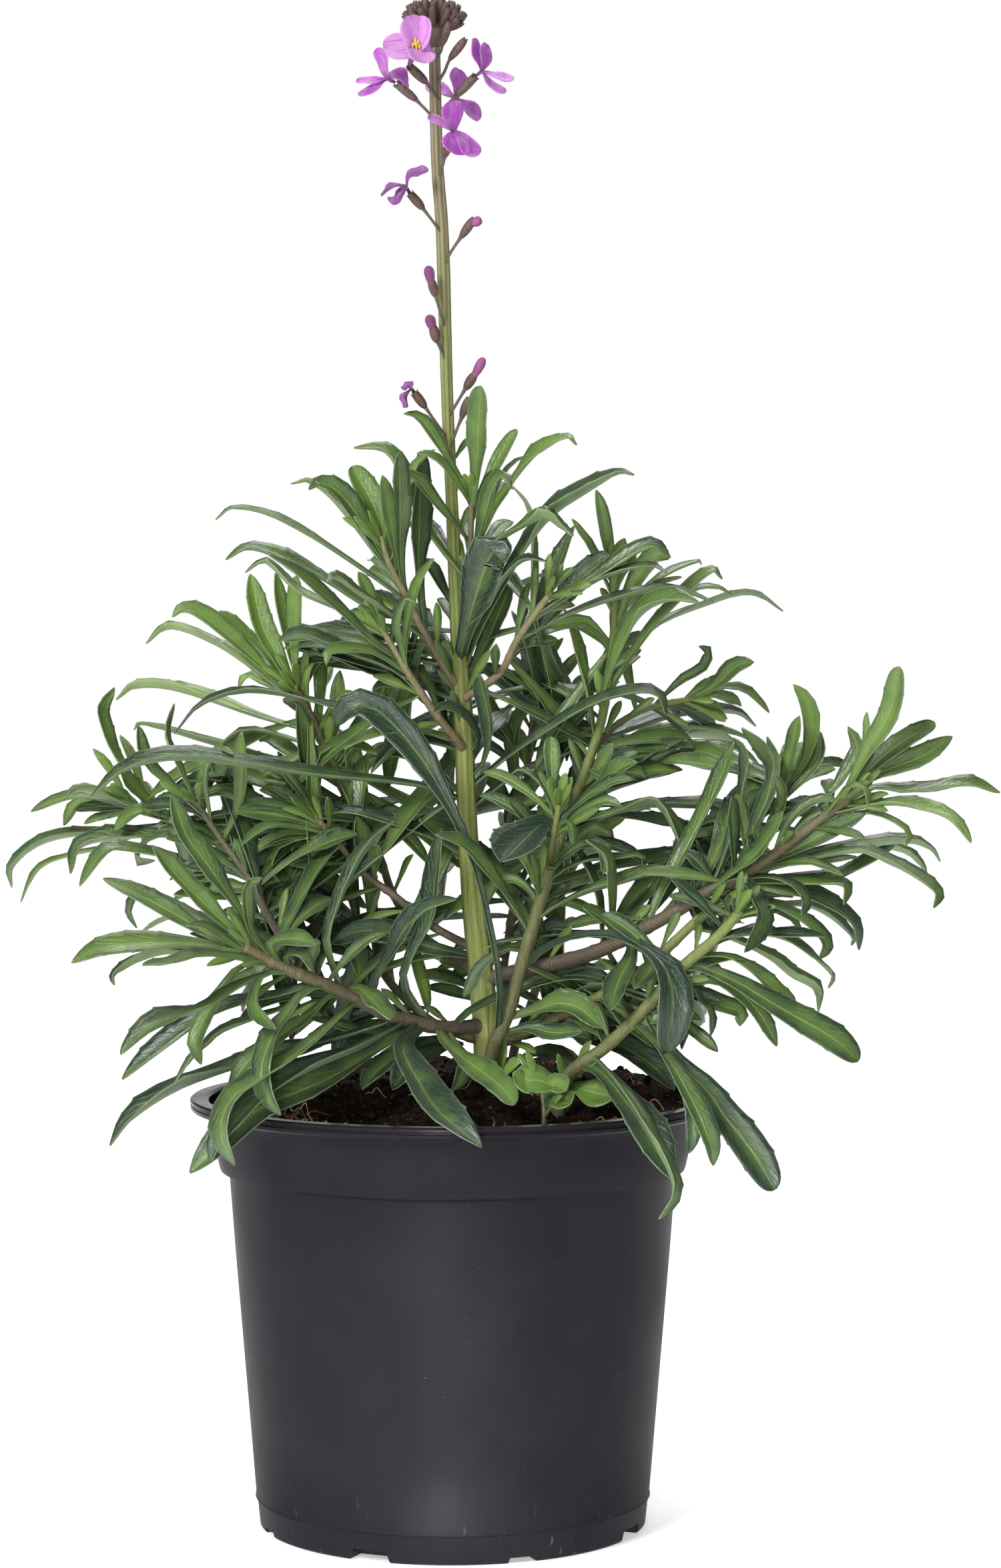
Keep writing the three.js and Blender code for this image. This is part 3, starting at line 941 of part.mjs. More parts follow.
/** Build the soil with a rough top, filling the pot. */
function buildSoil() {
  const inner = (z) => {
    const slope = (POT.stepRadius - POT.footRadius) / POT.stepHeight;
    return Math.min(POT.footRadius + slope * z, POT.stepRadius) - POT.wall - GAP - 0.5;
  };
  const shoulder = POT.stepHeight + POT.wall + GAP;
  const foot = [inner(POT.floor) - 0.4, POT.floor + GAP];
  const rings = [foot, [inner(shoulder), shoulder], ...SOIL.rings];
  const positions = [new THREE.Vector3(0, 0, POT.floor + GAP)];
  rings.forEach((ring) => {
    for (let k = 0; k < SOIL.sides; k += 1) {
      const angle = (2 * Math.PI * k) / SOIL.sides;
      const radius = Array.isArray(ring) ? ring[0] : ring;
      const x = radius * Math.cos(angle);
      const y = radius * Math.sin(angle);
      positions.push(new THREE.Vector3(x, y, Array.isArray(ring) ? ring[1] : soilHeight(x, y)));
    }
  });
  positions.push(new THREE.Vector3(0, 0, soilHeight(0, 0)));
  const index = [];
  const last = positions.length - 1;
  for (let k = 0; k < SOIL.sides; k += 1) {
    const next = (k + 1) % SOIL.sides;
    index.push(0, 1 + next, 1 + k);
    for (let ring = 0; ring < rings.length - 1; ring += 1) {
      const low = 1 + ring * SOIL.sides;
      const high = low + SOIL.sides;
      index.push(low + k, low + next, high + next, low + k, high + next, high + k);
    }
    const top = 1 + (rings.length - 1) * SOIL.sides;
    index.push(top + k, top + next, last);
  }
  const geometry = new THREE.BufferGeometry().setFromPoints(positions);
  geometry.setIndex(index);
  return toSolid(geometry);
}

// Flowers

const BUD_SIDES = 4;
const STALK_SIDES = 4;
const BLOOM = { stalkRadius: 0.5, calyxRadius: 1.5, mouthShare: 0.8, tipRadius: 1.5 };

/** Build a slim closed body between two points, thickest at its middle. */
function spindle(from, to, radius, mouth) {
  const points = [0, 0.5, 1].map((share) => from.clone().lerp(to, share));
  return rod(points, [radius * 0.5, radius, radius * mouth], BUD_SIDES, 2);
}

/** Build a stalk with the calyx on it, or with extra the room they take up. */
function calyxSolid({ stalk, calyx }, extra = 0) {
  const foot = inSpace(new THREE.Vector3(...calyx[0]));
  const mouth = inSpace(new THREE.Vector3(...calyx[1]));
  const reach = mouth.clone().sub(foot).normalize();
  const way = stalk.map((point) => inSpace(new THREE.Vector3(...point)));
  way.push(foot.clone().addScaledVector(reach, 1));
  const { stalkRadius, calyxRadius, mouthShare } = BLOOM;
  return fuse([
    rod(way, [stalkRadius + extra, stalkRadius + extra], STALK_SIDES, 2),
    spindle(foot, mouth.addScaledVector(reach, extra), calyxRadius + 1.3 * extra, mouthShare),
  ]);
}

/** Build the petals of a bloom, joined at its throat and clear of the calyx. */
function petalSolid(row) {
  const { petals, face, calyx } = row;
  const centre = inSpace(new THREE.Vector3(...face));
  const mouth = inSpace(new THREE.Vector3(...calyx[1]));
  const axis = centre.clone().sub(mouth).normalize();
  const throat = rod([mouth.clone().addScaledVector(axis, GAP), centre], [1, 1.1], STALK_SIDES, 1);
  const blades = petals.map((shape) => {
    const depth = (i) => face[2] + (shape.reach * i) / (shape.points.length - 1);
    const points = shape.points.map(([a, h], i) => [a, h, depth(i)]);
    return blade(pathInSpace(points), shape, axis);
  });
  return largestBody(fuse([throat, ...blades]).subtract(calyxSolid(row, GAP)));
}

/** Build the furled petal tip that stands out of a bud, clear of its calyx. */
function tipSolid(row) {
  const [from, to] = row.tip.map((point) => inSpace(new THREE.Vector3(...point)));
  return largestBody(spindle(from, to, BLOOM.tipRadius, BLOOM.mouthShare).subtract(calyxSolid(row, GAP)));
}

/** Build the dense flower head: a small core with buds standing out of it in rows. */
function buildHead(random) {
  const foot = inSpace(new THREE.Vector3(...HEAD.at));
  const solids = [spindle(foot, foot.clone().addScaledVector(UP, HEAD.coreHeight), HEAD.core, 0.8)];
  for (const [spread, count, height] of HEAD.rows) {
    for (let i = 0; i < count; i += 1) {
      const angle = (2 * Math.PI * (i + 0.5 * random())) / count;
      const jitter = 0.8 * (random() - 0.5);
      const outward = new THREE.Vector3(Math.cos(angle), Math.sin(angle), 0);
      const tip = foot.clone().addScaledVector(outward, spread + jitter).addScaledVector(UP, height + jitter);
      const root = foot.clone().addScaledVector(outward, spread * HEAD.rootSpread)
        .addScaledVector(UP, HEAD.rootHeight);
      solids.push(spindle(root, tip, HEAD.budRadius, 0.5));
    }
  }
  return fuse(solids);
}

/** Build the cluster of anthers in the throat of the open front bloom. */
function buildAnthers() {
  const { face, calyx } = BLOOMS.bloom_front;
  const centre = inSpace(new THREE.Vector3(...face));
  const axis = centre.clone().sub(inSpace(new THREE.Vector3(...calyx[1]))).normalize();
  const middle = centre.clone().addScaledVector(new THREE.Vector3(0, -1, 0), 2.6);
  const solids = [toSolid(new THREE.OctahedronGeometry(ANTHERS.radius * 1.1, 0).translate(...middle))];
  const across = axis.clone().cross(UP).normalize();
  for (let i = 0; i < ANTHERS.count; i += 1) {
    const angle = (2 * Math.PI * i) / ANTHERS.count;
    const place = middle.clone().addScaledVector(across, ANTHERS.spread * Math.cos(angle))
      .addScaledVector(UP, ANTHERS.spread * Math.sin(angle));
    solids.push(toSolid(new THREE.OctahedronGeometry(ANTHERS.radius, 0).translate(...place)));
  }
  return fuse(solids);
}

// Assembly

const plant = new THREE.Group();
const parts = new Map();

/** Keep a finished part. */
function keep(name, solid, finish) {
  parts.set(name, { solid, finish });
}

const mainStem = LEAFY_STEMS.main_stem.stems[0];
const fatMainStem = stemRod(mainStem, GAP);
const pot = buildPot();
stand("pot", pot);
const soilBlock = buildSoil();
stand("soil", soilBlock);

// The stems first, because leaves give way to stems
const stemSolids = new Map();
for (const [name, { stems }] of Object.entries(LEAFY_STEMS)) {
  const rods = stems.map((row) => stemRod(row));
  const solid = name === "main_stem" ? fuse(rods) : largestBody(fuse(rods).subtract(fatMainStem));
  stemSolids.set(name, solid);
  stand(name, solid);
}

const headNodes = { ...BLOOMS, ...BUDS };
for (const [name, row] of Object.entries(headNodes)) {
  const green = calyxSolid(row).subtract(fatMainStem);
  keep(`${name}_calyx`, largestBody(green), "calyx");
}
for (const [name, row] of Object.entries(BLOOMS)) {
  keep(`${name}_petals`, petalSolid(row), "petal");
}
for (const [name, row] of Object.entries(BUDS)) {
  if (row.tip) {
    keep(`${name}_tip`, tipSolid(row), "petal");
  }
}
keep("flower_head", largestBody(buildHead(randomStream(LAYOUT_SEED)).subtract(fatMainStem)), "calyx");
keep("bloom_front_anthers", buildAnthers(), "anther");
for (const [name, { solid }] of parts) {
  stand(name, solid);
}

// Leaves, each bent clear of what stands there already, or left off
Object.entries(LEAFY_STEMS).forEach(([name, { stems, leaves, back }], nodeIndex) => {
  const samplesOfStems = stems.map(stemSamples);
  const blades = [];
  const place = (candidates) => {
    const clear = candidates.filter(({ solid }) => isClear(name, solid));
    if (clear.length > 0) {
      const counts = clear.map(({ solid, root }) => crossings(name, solid, root));
      const { solid } = clear[counts.indexOf(Math.min(...counts))];
      blades.push(solid);
      stand(name, solid, true);
    }
  };
  const roots = rootsOf(samplesOfStems, leaves, LAYOUT_SEED + leaves.length);
  leaves.forEach((row, i) => {
    place(BLADE.swing.map((swing) => {
      const path = pathInSpace(leafPath(row, roots[i], swing));
      return { solid: blade(path, row, UP), root: path.at(0) };
    }));
  });
  for (let i = 0; i < back.count; i += 1) {
    const random = randomStream(LAYOUT_SEED + BACK.seedStep * (nodeIndex + 1) + i);
    const samples = samplesOfStems[i % stems.length];
    const share = back.from + (back.to - back.from) * ((i + random()) / back.count);
    const row = { width: back.width * (0.8 + 0.4 * random()), outline: "leaf" };
    place(Array.from({ length: BACK.tries }, () => {
      const path = backPath(samples, share, random, back.length);
      return { solid: blade(path, row, UP), root: path.at(0) };
    }));
  }
  const finish = name === "main_stem" ? "stem" : "foliage";
  keep(name, largestBody(fuse([stemSolids.get(name), ...blades])), finish);
});

for (const [name, { stem: foot, leaves }] of Object.entries(WEEDS)) {
  const roots = rootsOf([stemSamples(foot)], leaves, LAYOUT_SEED);
  const blades = leaves.map((row, i) => blade(pathInSpace(leafPath(row, roots[i], 0)), row, UP));
  const clear = blades.filter((solid) => isClear(name, solid));
  keep(name, largestBody(fuse([stemRod(foot), ...clear])), "weed");
}

// Holes for all that stands in the soil
const allStems = [
  ...Object.values(LEAFY_STEMS).flatMap(({ stems }) => stems),
  ...Object.values(WEEDS).map((weed) => weed.stem),
];
const planted = allStems.filter(({ points }) => points[0][1] < SOIL.frontHeight);
const soil = planted.reduce((solid, row) => solid.subtract(stemRod(row, SOIL.hole)), soilBlock);
keep("soil", largestBody(soil), "soil");
keep("pot", pot, "pot");

for (const [name, { solid, finish }] of parts) {
  plant.add(toMesh(name, solid, finish));
}

export default plant;
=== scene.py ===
"""A young perennial wallflower in its black nursery pot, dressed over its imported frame.

The plant is set out on an upright sheet through the pot's axis, as it is seen from the eye: a runs
to the right, h runs up and d is the depth in front of the sheet, all in millimetres. Each leaf of
the layout takes the bend that its own solid has in the frame, so every piece stands where the
frame puts it.
"""

import logging
import math
from collections.abc import Callable, Sequence
from dataclasses import dataclass, field
from enum import Enum

import bmesh
import bpy
import numpy as np
from mathutils import Matrix, Vector, noise
from mathutils.kdtree import KDTree


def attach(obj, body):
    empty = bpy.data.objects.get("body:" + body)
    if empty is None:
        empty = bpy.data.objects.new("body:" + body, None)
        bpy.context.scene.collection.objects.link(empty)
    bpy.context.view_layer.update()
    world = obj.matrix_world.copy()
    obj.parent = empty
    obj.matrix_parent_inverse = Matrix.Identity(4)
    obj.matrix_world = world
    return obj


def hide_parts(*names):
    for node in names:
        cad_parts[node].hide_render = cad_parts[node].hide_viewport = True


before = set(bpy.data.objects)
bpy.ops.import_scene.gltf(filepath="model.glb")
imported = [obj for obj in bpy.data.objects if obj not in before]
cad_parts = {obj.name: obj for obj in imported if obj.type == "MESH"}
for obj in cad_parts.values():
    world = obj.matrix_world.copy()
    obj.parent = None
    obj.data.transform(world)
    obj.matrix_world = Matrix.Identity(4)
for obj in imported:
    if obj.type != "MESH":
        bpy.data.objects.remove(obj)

log = logging.getLogger("wallflower")

MM = 0.001

# The first is the seed that the frame's own layout was drawn with, the second is the look's own
LAYOUT_SEED = 20417
FINE_SEED = 911

# The soil's height at its middle, before it is heaped, in millimetres
SOIL_TOP = 147.0

# The turn from one small leaf or anther to the next, in radians
GOLDEN_TURN = 2.4

# What the look's seed is counted up by for the weeds and for the soil; shoots count from 0
WEED_NUMBER = 40
SOIL_NUMBER = 60


# The rows of the layout


class Outline(Enum):
    """How a blade's width runs along it."""

    POINTED = "pointed"
    ROUNDED = "rounded"
    STALKED = "stalked"
    PETAL = "petal"


@dataclass(frozen=True)
class BladeRow:
    """One leaf or petal of the layout: its seen width, how far its tip comes forward, and its points."""

    width: float
    reach: float
    points: tuple[Sequence[float], ...]
    outline: Outline


@dataclass(frozen=True)
class StemRow:
    """One stem of the layout: its radii from foot to tip, evenly along it, and its points."""

    radii: Sequence[float]
    points: tuple[Sequence[float], ...]


@dataclass(frozen=True)
class BackRow:
    """The leaves on a stem's far side, which follow a rule."""

    count: int
    start: float
    end: float
    length: tuple[float, float]
    width: float


@dataclass(frozen=True)
class Shoot:
    """A leafy stem of the layout, with its side stems."""

    stems: Sequence[StemRow]
    leaves: Sequence[BladeRow]
    back: BackRow | None = None


@dataclass(frozen=True)
class BloomRow:
    """A flower of the layout: its stalk, its calyx from foot to mouth, its face and its petals."""

    stalk: Sequence[Sequence[float]]
    calyx: Sequence[Sequence[float]]
    face: Sequence[float]
    petals: Sequence[BladeRow]


@dataclass(frozen=True)
class BudRow:
    """A bud of the layout: its stalk, its calyx from foot to mouth, and its furled petal tip."""

    stalk: Sequence[Sequence[float]]
    calyx: Sequence[Sequence[float]]
    tip: Sequence[Sequence[float]] | None = None


def leaf(width: float, reach: float, *points: Sequence[float]) -> BladeRow:
    """Return the row of a pointed leaf."""
    return BladeRow(width, reach, points, Outline.POINTED)


def blunt(width: float, reach: float, *points: Sequence[float]) -> BladeRow:
    """Return the row of a leaf with a rounded tip."""
    return BladeRow(width, reach, points, Outline.ROUNDED)


def stalked(width: float, reach: float, *points: Sequence[float]) -> BladeRow:
    """Return the row of a leaf whose blade widens only towards its end."""
    return BladeRow(width, reach, points, Outline.STALKED)


def petal(width: float, reach: float, *points: Sequence[float]) -> BladeRow:
    """Return the row of a petal on its narrow claw."""
    return BladeRow(width, reach, points, Outline.PETAL)


def stem(radii: Sequence[float], *points: Sequence[float]) -> StemRow:
    """Return the row of a stem."""
    return StemRow(radii, points)


LEAFY_STEMS: dict[str, Shoot] = {
    "main_stem": Shoot(
        stems=[stem([4.9, 4.6, 4.4, 3.4, 3.4, 2.6, 2.1, 2.1, 2.3, 2.1, 2], [12, 128, 0], [12, 178, 0],
            [7, 230, 0], [5, 262, 0], [4, 290, 0], [1.9, 325, 0], [0.1, 362, 0], [-1.9, 408, 0],
            [-3.6, 465, 0], [-5.5, 493, 0], [-6.5, 536, 0])],
        leaves=[
            leaf(5, -14, [4, 284], [-34.5, 294.5], [-68.8, 302], [-89.9, 299], [-103, 289]),
            leaf(6.5, -25, [5, 262], [-12, 268], [-47.8, 272], [-95, 278.5], [-118, 276], [-133, 267]),
            leaf(6, 24, [5, 266], [22, 280], [47, 296], [66.6, 302.5], [76, 301.5], [80.3, 294.5]),
            leaf(3.2, 12, [4, 296], [14, 300.5], [29.3, 303.5], [59.5, 301], [75, 294.5], [87, 285],
                [94, 277.5]),
            leaf(6.5, 10, [5, 258], [20, 270], [41, 280], [60, 287.2], [80, 293.8], [101.7, 296.3],
                [112, 292]),
            blunt(4, 8, [5, 270], [11, 276], [13, 284], [12, 295], [8.8, 306.5]),
            leaf(4, 12, [9.5, 283.6], [4.6, 292.7], [-2, 296.6], [-6.8, 295]),
            leaf(9, 12, [8, 205], [-8, 209], [-20, 213.5], [-33, 215], [-44, 211]),
            leaf(8, -14, [7, 215], [-12, 219], [-33, 219], [-45, 219.5], [-58, 221.5], [-68, 221]),
            leaf(12, 16, [3.1, 315], [9, 338], [14, 351], [18, 346]),
            leaf(8, -10, [3, 303], [10, 315], [17, 331], [21, 342]),
            leaf(2.5, -6, [3, 312], [7, 320], [20, 337], [31.7, 344], [35, 343]),
            leaf(7.5, 14, [2.8, 310], [9, 322], [20, 345], [33, 364], [47, 374.5], [59, 382], [65.7, 382]),
            leaf(4, 8, [3, 322], [12, 332], [17, 341], [25, 350], [33.5, 352]),
            leaf(5, -12, [3, 284], [-4, 292], [-6, 308]),
            leaf(5, -16, [3, 280], [-12, 285], [-19, 291], [-22.5, 301.7]),
            leaf(5, -8, [1.5, 328], [-4, 340], [-8, 347], [-13.7, 349]),
            leaf(3, 6, [10, 208], [29, 213], [45, 214], [62, 212], [77, 209.5]),
        ],
        back=BackRow(7, 0.2, 0.62, (45, 70), 7),
    ),
    "shoot_a": Shoot(
        stems=[stem([1.4, 1.2, 1], [2.1, 318, 0], [4.5, 332, 4], [6, 344, 6], [7, 372, 8])],
        leaves=[
            leaf(4.5, 6, [6, 372], [0.4, 382], [-8, 396], [-13, 401], [-17.5, 401.8]),
            leaf(4, 10, [6, 372], [-2, 382], [-8, 387], [-12, 388.6]),
            leaf(5, 12, [6, 355], [-6, 370], [-13, 378.5], [-16.5, 378], [-18.2, 373.5]),
            leaf(4.5, -10, [4.6, 341], [-3.8, 353], [-11, 364], [-16.4, 376], [-23, 388.8], [-34.8, 392.4]),
            blunt(8, 8, [7, 368], [8.6, 385], [9.5, 411]),
            blunt(5, -6, [7, 362], [13, 378], [22.5, 396.6]),
            leaf(4, 8, [8, 352], [17, 371], [29, 387], [40.7, 394.7], [45.8, 392.8]),
            leaf(6, 14, [8, 352], [13, 372], [17.3, 380], [21.8, 375.9]),
            leaf(3.4, -8, [7, 356], [16, 376], [23, 385], [27.5, 386]),
            leaf(4, 14, [6, 350], [14.6, 355], [29, 364], [35, 365], [43.7, 358]),
        ],
        back=BackRow(4, 0.35, 0.95, (34, 48), 5),
    ),
    "shoot_b": Shoot(
        stems=[stem([1.6, 1.3, 1], [2.2, 303, 0], [-0.8, 307, 3], [-5.6, 315, 8], [-11, 324, 14],
            [-17, 336, 19], [-23, 348, 23], [-26, 358, 25])],
        leaves=[
            blunt(7, -6, [-10, 322], [-12, 345], [-10.5, 388]),
            blunt(5.5, -4, [-16, 333], [-18.4, 345], [-18.5, 387]),
            leaf(2.5, 2, [-20, 355], [-15, 380], [-7, 389.5]),
            blunt(8.5, 8, [-19.4, 338], [-23, 352], [-28, 368], [-36, 383]),
            leaf(5.4, 10, [-20, 347], [-22.5, 365], [-24.8, 378.8]),
            leaf(6.5, 6, [-18.8, 341], [-30.8, 360], [-40, 373], [-47.7, 377], [-52, 374.7]),
            leaf(3, -8, [-22, 345], [-38, 366], [-50, 378], [-58, 379.5]),
            leaf(3.2, -5, [-18.8, 336], [-34, 347], [-50, 357.6], [-66, 366], [-79.5, 370], [-87, 367.7]),
            leaf(5, 4, [-12, 324], [-30.8, 332.7], [-45, 342], [-58.5, 349], [-73, 354.6], [-82.6, 351.5]),
            leaf(4, 9, [-12, 324], [-24, 331], [-34, 338], [-41.7, 343.5], [-45.9, 342.6]),
        ],
        back=BackRow(4, 0.34, 0.95, (36, 52), 6),
    ),
    "shoot_b_low": Shoot(
        stems=[stem([1.7, 1.4, 1], [4.3, 280, 0], [2.8, 282.4, 4], [-3.2, 289.6, 10], [-8, 296, 14],
            [-14, 305, 18], [-17.7, 311, 20], [-26, 325, 22])],
        leaves=[
            leaf(6.5, 14, [-22, 315], [-31, 322], [-41, 332], [-55, 344], [-66, 351]),
            leaf(5, 6, [-25, 324], [-29, 334], [-33.4, 344.5]),
            leaf(4.5, 10, [-16, 311], [-17, 321], [-14, 337], [-8.3, 349.8]),
            leaf(3, 14, [-17.7, 311], [-20, 325], [-17, 335], [-13, 334.5]),
            leaf(5.5, -8, [-8, 298], [-20, 309], [-36, 316], [-55, 323], [-63, 320]),
            leaf(4.5, 16, [-18.9, 310], [-30.9, 316.7], [-44, 316.7], [-46.5, 312]),
            leaf(4.5, 2, [-26, 324], [-40, 331], [-55, 338], [-64.5, 347], [-68.7, 349], [-75.2, 345]),
        ],
        back=BackRow(2, 0.4, 0.95, (30, 44), 5),
    ),
    "shoot_c": Shoot(
        stems=[stem([1.7, 1.5, 1.2], [9, 201, 0], [-4, 208, -14], [-14, 216, -24], [-22, 229, -32],
            [-27, 243, -35], [-34, 252, -34], [-39, 264, -31], [-45, 277, -27], [-50, 290, -23],
            [-57, 304, -18])],
        leaves=[
            leaf(7, 6, [-59.8, 302], [-75, 317], [-91, 330], [-97.7, 332.4], [-102, 330]),
            leaf(3.5, -8, [-62, 302], [-74, 312], [-86, 320], [-101.9, 325.8], [-111.9, 320.7]),
            leaf(4.5, 2, [-61, 306], [-68, 315], [-80.8, 328], [-86.9, 328.8]),
            leaf(8, 10, [-58.5, 305], [-63, 314], [-68.8, 326], [-73, 344]),
            leaf(5, -6, [-57, 303], [-60, 322], [-63.4, 344.5]),
            blunt(6, 8, [-56.7, 305], [-57, 322], [-57, 342.6]),
            leaf(4, 12, [-54, 301.7], [-62, 308], [-69.4, 309.8]),
            leaf(3, 14, [-60, 301], [-68, 304.5], [-74.2, 307.7], [-77.5, 303]),
            leaf(3, 6, [-56, 303], [-53, 307], [-50.4, 312]),
            leaf(4.5, -6, [-50, 288], [-60, 290], [-73, 294], [-97, 302.6], [-114, 305], [-122.8, 301.6]),
            leaf(2.4, 4, [-47, 281], [-56.7, 284], [-74, 288], [-88, 279.7]),
            leaf(3.6, -10, [-48, 276], [-67, 278], [-90, 284.5], [-111.7, 291.3], [-116.8, 289.4]),
            leaf(6, 8, [-47, 272], [-55, 277], [-66, 285], [-71, 284]),
            leaf(5.5, 8, [-45, 280], [-42, 291], [-41, 309]),
            leaf(5.5, 6, [-42, 252], [-49.3, 259.5], [-53, 277], [-55, 296.6]),
            leaf(7.5, 14, [-30, 247], [-33, 262], [-38, 287]),
            leaf(3, 10, [-40, 257], [-48.4, 262], [-47.8, 276], [-43.3, 280]),
            leaf(4, 6, [-44, 256], [-55, 264], [-63, 280]),
            leaf(4, -2, [4, 206], [-5, 206], [-20, 203], [-39, 195]),
        ],
        back=BackRow(5, 0.45, 0.98, (36, 55), 6),
    ),
    "shoot_d": Shoot(
        stems=[
            stem([2.8, 2.5, 2.1, 1.7, 1.3], [13.5, 140, 10], [13.5, 167, 10], [20.2, 185.7, 13],
                [25.3, 204, 15], [30.4, 221, 16], [35.4, 237.8, 14], [42, 258, 8], [47, 270, 4],
                [53.5, 290, 0], [56, 305, -2], [58, 320, -3], [59, 345, -4]),
            stem([1.4, 1], [35, 236, 14], [35.5, 243, 20], [37, 252, 24], [38.5, 261, 27]),
            stem([1.3, 1], [51, 281, 2], [60, 290, -8], [72, 296, -14], [87, 299, -18]),
        ],
        leaves=[
            stalked(11.5, 0, [16.6, 175], [17, 185, 17], [17, 195, 20], [14.5, 212, 22], [6, 245, 22],
                [-11, 277, 22], [-28, 296, 22], [-38, 297, 22], [-44, 289, 20]),
            leaf(5.5, 6, [58.5, 340], [56, 355], [52.5, 374]),
            leaf(2.4, 2, [56, 340], [50, 353], [43.7, 364]),
            leaf(7, 8, [58, 336], [60, 348], [61.8, 356.7]),
            blunt(7, 4, [58, 322], [65, 340], [73, 351], [78, 350]),
            leaf(3, -4, [59, 330], [72, 341], [87.7, 349], [91, 348]),
            leaf(3, 6, [59, 326], [72, 339], [82.6, 343]),
            leaf(6, 12, [53, 296], [58.3, 313], [66, 329], [77, 336], [88, 337]),
            leaf(6, 4, [54, 300], [68, 320], [80, 334], [93, 346.7], [98.9, 344.8]),
            leaf(3, -6, [60, 312], [78, 332], [87.7, 339], [95.5, 340], [101.6, 337.7]),
            leaf(3, -10, [57, 305], [71, 324], [92.5, 334], [108, 337.7], [120, 332]),
            leaf(5, 8, [57, 317], [52, 324], [47, 327], [34, 325]),
            leaf(3.4, 8, [51, 288], [49, 301], [45, 318], [42, 332]),
            leaf(5, 0, [47, 272], [45, 287, -8], [41, 303, -11], [37, 313, -11], [36, 322, -11]),
            leaf(4.5, 4, [72, 297], [83, 306], [90.3, 310], [92.5, 316], [89, 317.7]),
            leaf(6.5, 6, [86, 298], [94.5, 303.5], [101.7, 310.5], [108.3, 312.5]),
            leaf(4, 0, [87, 299], [96, 303], [104.6, 303], [110, 299], [115, 294.4]),
            blunt(5.7, 2, [38.3, 258], [36.2, 268], [35.5, 285.4]),
            leaf(2.6, 6, [37, 254], [34, 265], [29.3, 271], [24.5, 274], [20.5, 272.5]),
            leaf(17, 30, [36.5, 249], [33, 254], [27, 250], [17.6, 241.3]),
            leaf(3, 8, [38, 254], [41, 255], [43, 252.5], [43.5, 246.8]),
            leaf(4.5, 6, [37.5, 252], [44, 256.5], [51, 261], [56, 262.3], [61, 260.5]),
            leaf(5, 12, [35, 236], [41.4, 243], [48.6, 246.8], [55, 244.5], [54.7, 235.5]),
            leaf(8, 8, [36, 238], [46, 247], [53, 251], [57, 244]),
            leaf(3.5, -4, [35, 232], [44, 239.5], [59.5, 242], [68.6, 242.5], [70, 237.5]),
            leaf(4.5, 10, [30, 226], [27, 230.5], [22, 233.5], [16, 232.5], [11, 224.4]),
            leaf(5, 10, [28, 214], [21, 225.6], [14.3, 235.3], [5.2, 246], [-5, 251]),
            stalked(13, 0, [27, 203], [32.4, 208, 24], [41.4, 212.3, 32], [55, 214, 40], [67, 210.5, 48],
                [75, 204.5, 54], [79.5, 196, 58], [80, 184, 60], [77.5, 170, 60]),
            leaf(4.5, 16, [25, 206], [20, 208.3], [11, 203], [5.6, 194], [3.4, 190.5]),
            leaf(9, 24, [21, 183.5], [29.3, 186], [38, 189], [46.2, 187], [54, 180]),
            leaf(7, 12, [19, 178], [28, 180], [36, 178], [46, 179]),
            leaf(5, -2, [50, 270], [54, 276], [58, 283]),
            leaf(7, 6, [46, 262], [54.7, 268], [59.5, 274], [66, 276.5]),
            leaf(4, 8, [46, 258], [53, 262], [54, 270], [49, 273.4]),
            leaf(5, 4, [42, 252], [50, 254], [60, 259.5], [72, 261], [86, 261], [95, 260.5], [105, 257],
                [113, 251.6]),
            leaf(4, 14, [44, 254], [60, 258.5], [71, 262.5], [77, 258.8], [80.6, 252.8], [84.2, 244.4],
                [87.3, 230.5]),
            leaf(4, 2, [29.5, 219], [36, 223.5], [47, 229], [59.5, 233], [74.6, 236.8], [85.5, 232.3]),
            leaf(4.5, -4, [31, 222], [40, 225.5], [52.5, 221.5]),
        ],
        back=BackRow(6, 0.35, 0.98, (36, 56), 6),
    ),
    "shoot_e": Shoot(
        stems=[stem([1.5, 1.3, 1.1], [3.2, 298, 0], [5.8, 300, 3], [17, 308, 8], [22.7, 319, 12],
            [28, 327, 16], [36, 338, 21])],
        leaves=[
            blunt(9, 8, [25, 322], [33, 326], [44, 340], [57, 351]),
            leaf(5, 2, [30, 328], [40, 336], [53, 344], [71, 355], [79.5, 352]),
            leaf(2.6, -4, [33, 330], [45, 338], [56, 344], [71, 347.7], [77.7, 346]),
            leaf(3.6, 10, [26, 322], [38, 328], [53, 334], [70, 338.5], [81, 339], [94.6, 334.4]),
        ],
        back=BackRow(2, 0.4, 0.98, (28, 40), 5),
    ),
    "shoot_f": Shoot(
        stems=[
            stem([3, 2.7, 2.4, 2, 1.5], [10, 196.5, 0], [28, 201, 5], [50, 206.6, 18], [65.8, 214, 27],
                [81, 222, 33], [93, 229.5, 38], [104.6, 234.5, 41], [115, 241.5, 44], [130, 253, 48],
                [144, 263, 52]),
            stem([1.4, 1.1], [105, 234.7, 41], [112, 248, 34], [118, 262, 26], [122, 272, 20]),
        ],
        leaves=[
            leaf(8, 20, [70, 216], [76, 231], [83, 243], [89.6, 256], [96, 270], [100.5, 283.6]),
            leaf(3.5, 8, [90.8, 228], [95.7, 236.5], [100, 248.6], [103.5, 261], [105.6, 273],
                [104.5, 280.5], [101, 284]),
            leaf(9, -12, [92, 229], [96, 245], [103, 260], [112, 272]),
            leaf(6, -8, [93, 230], [99, 243], [106.5, 261], [112.5, 267.3]),
            leaf(4.5, 6, [102, 233], [109.5, 254.6], [115.5, 272], [112.5, 281], [104.4, 288]),
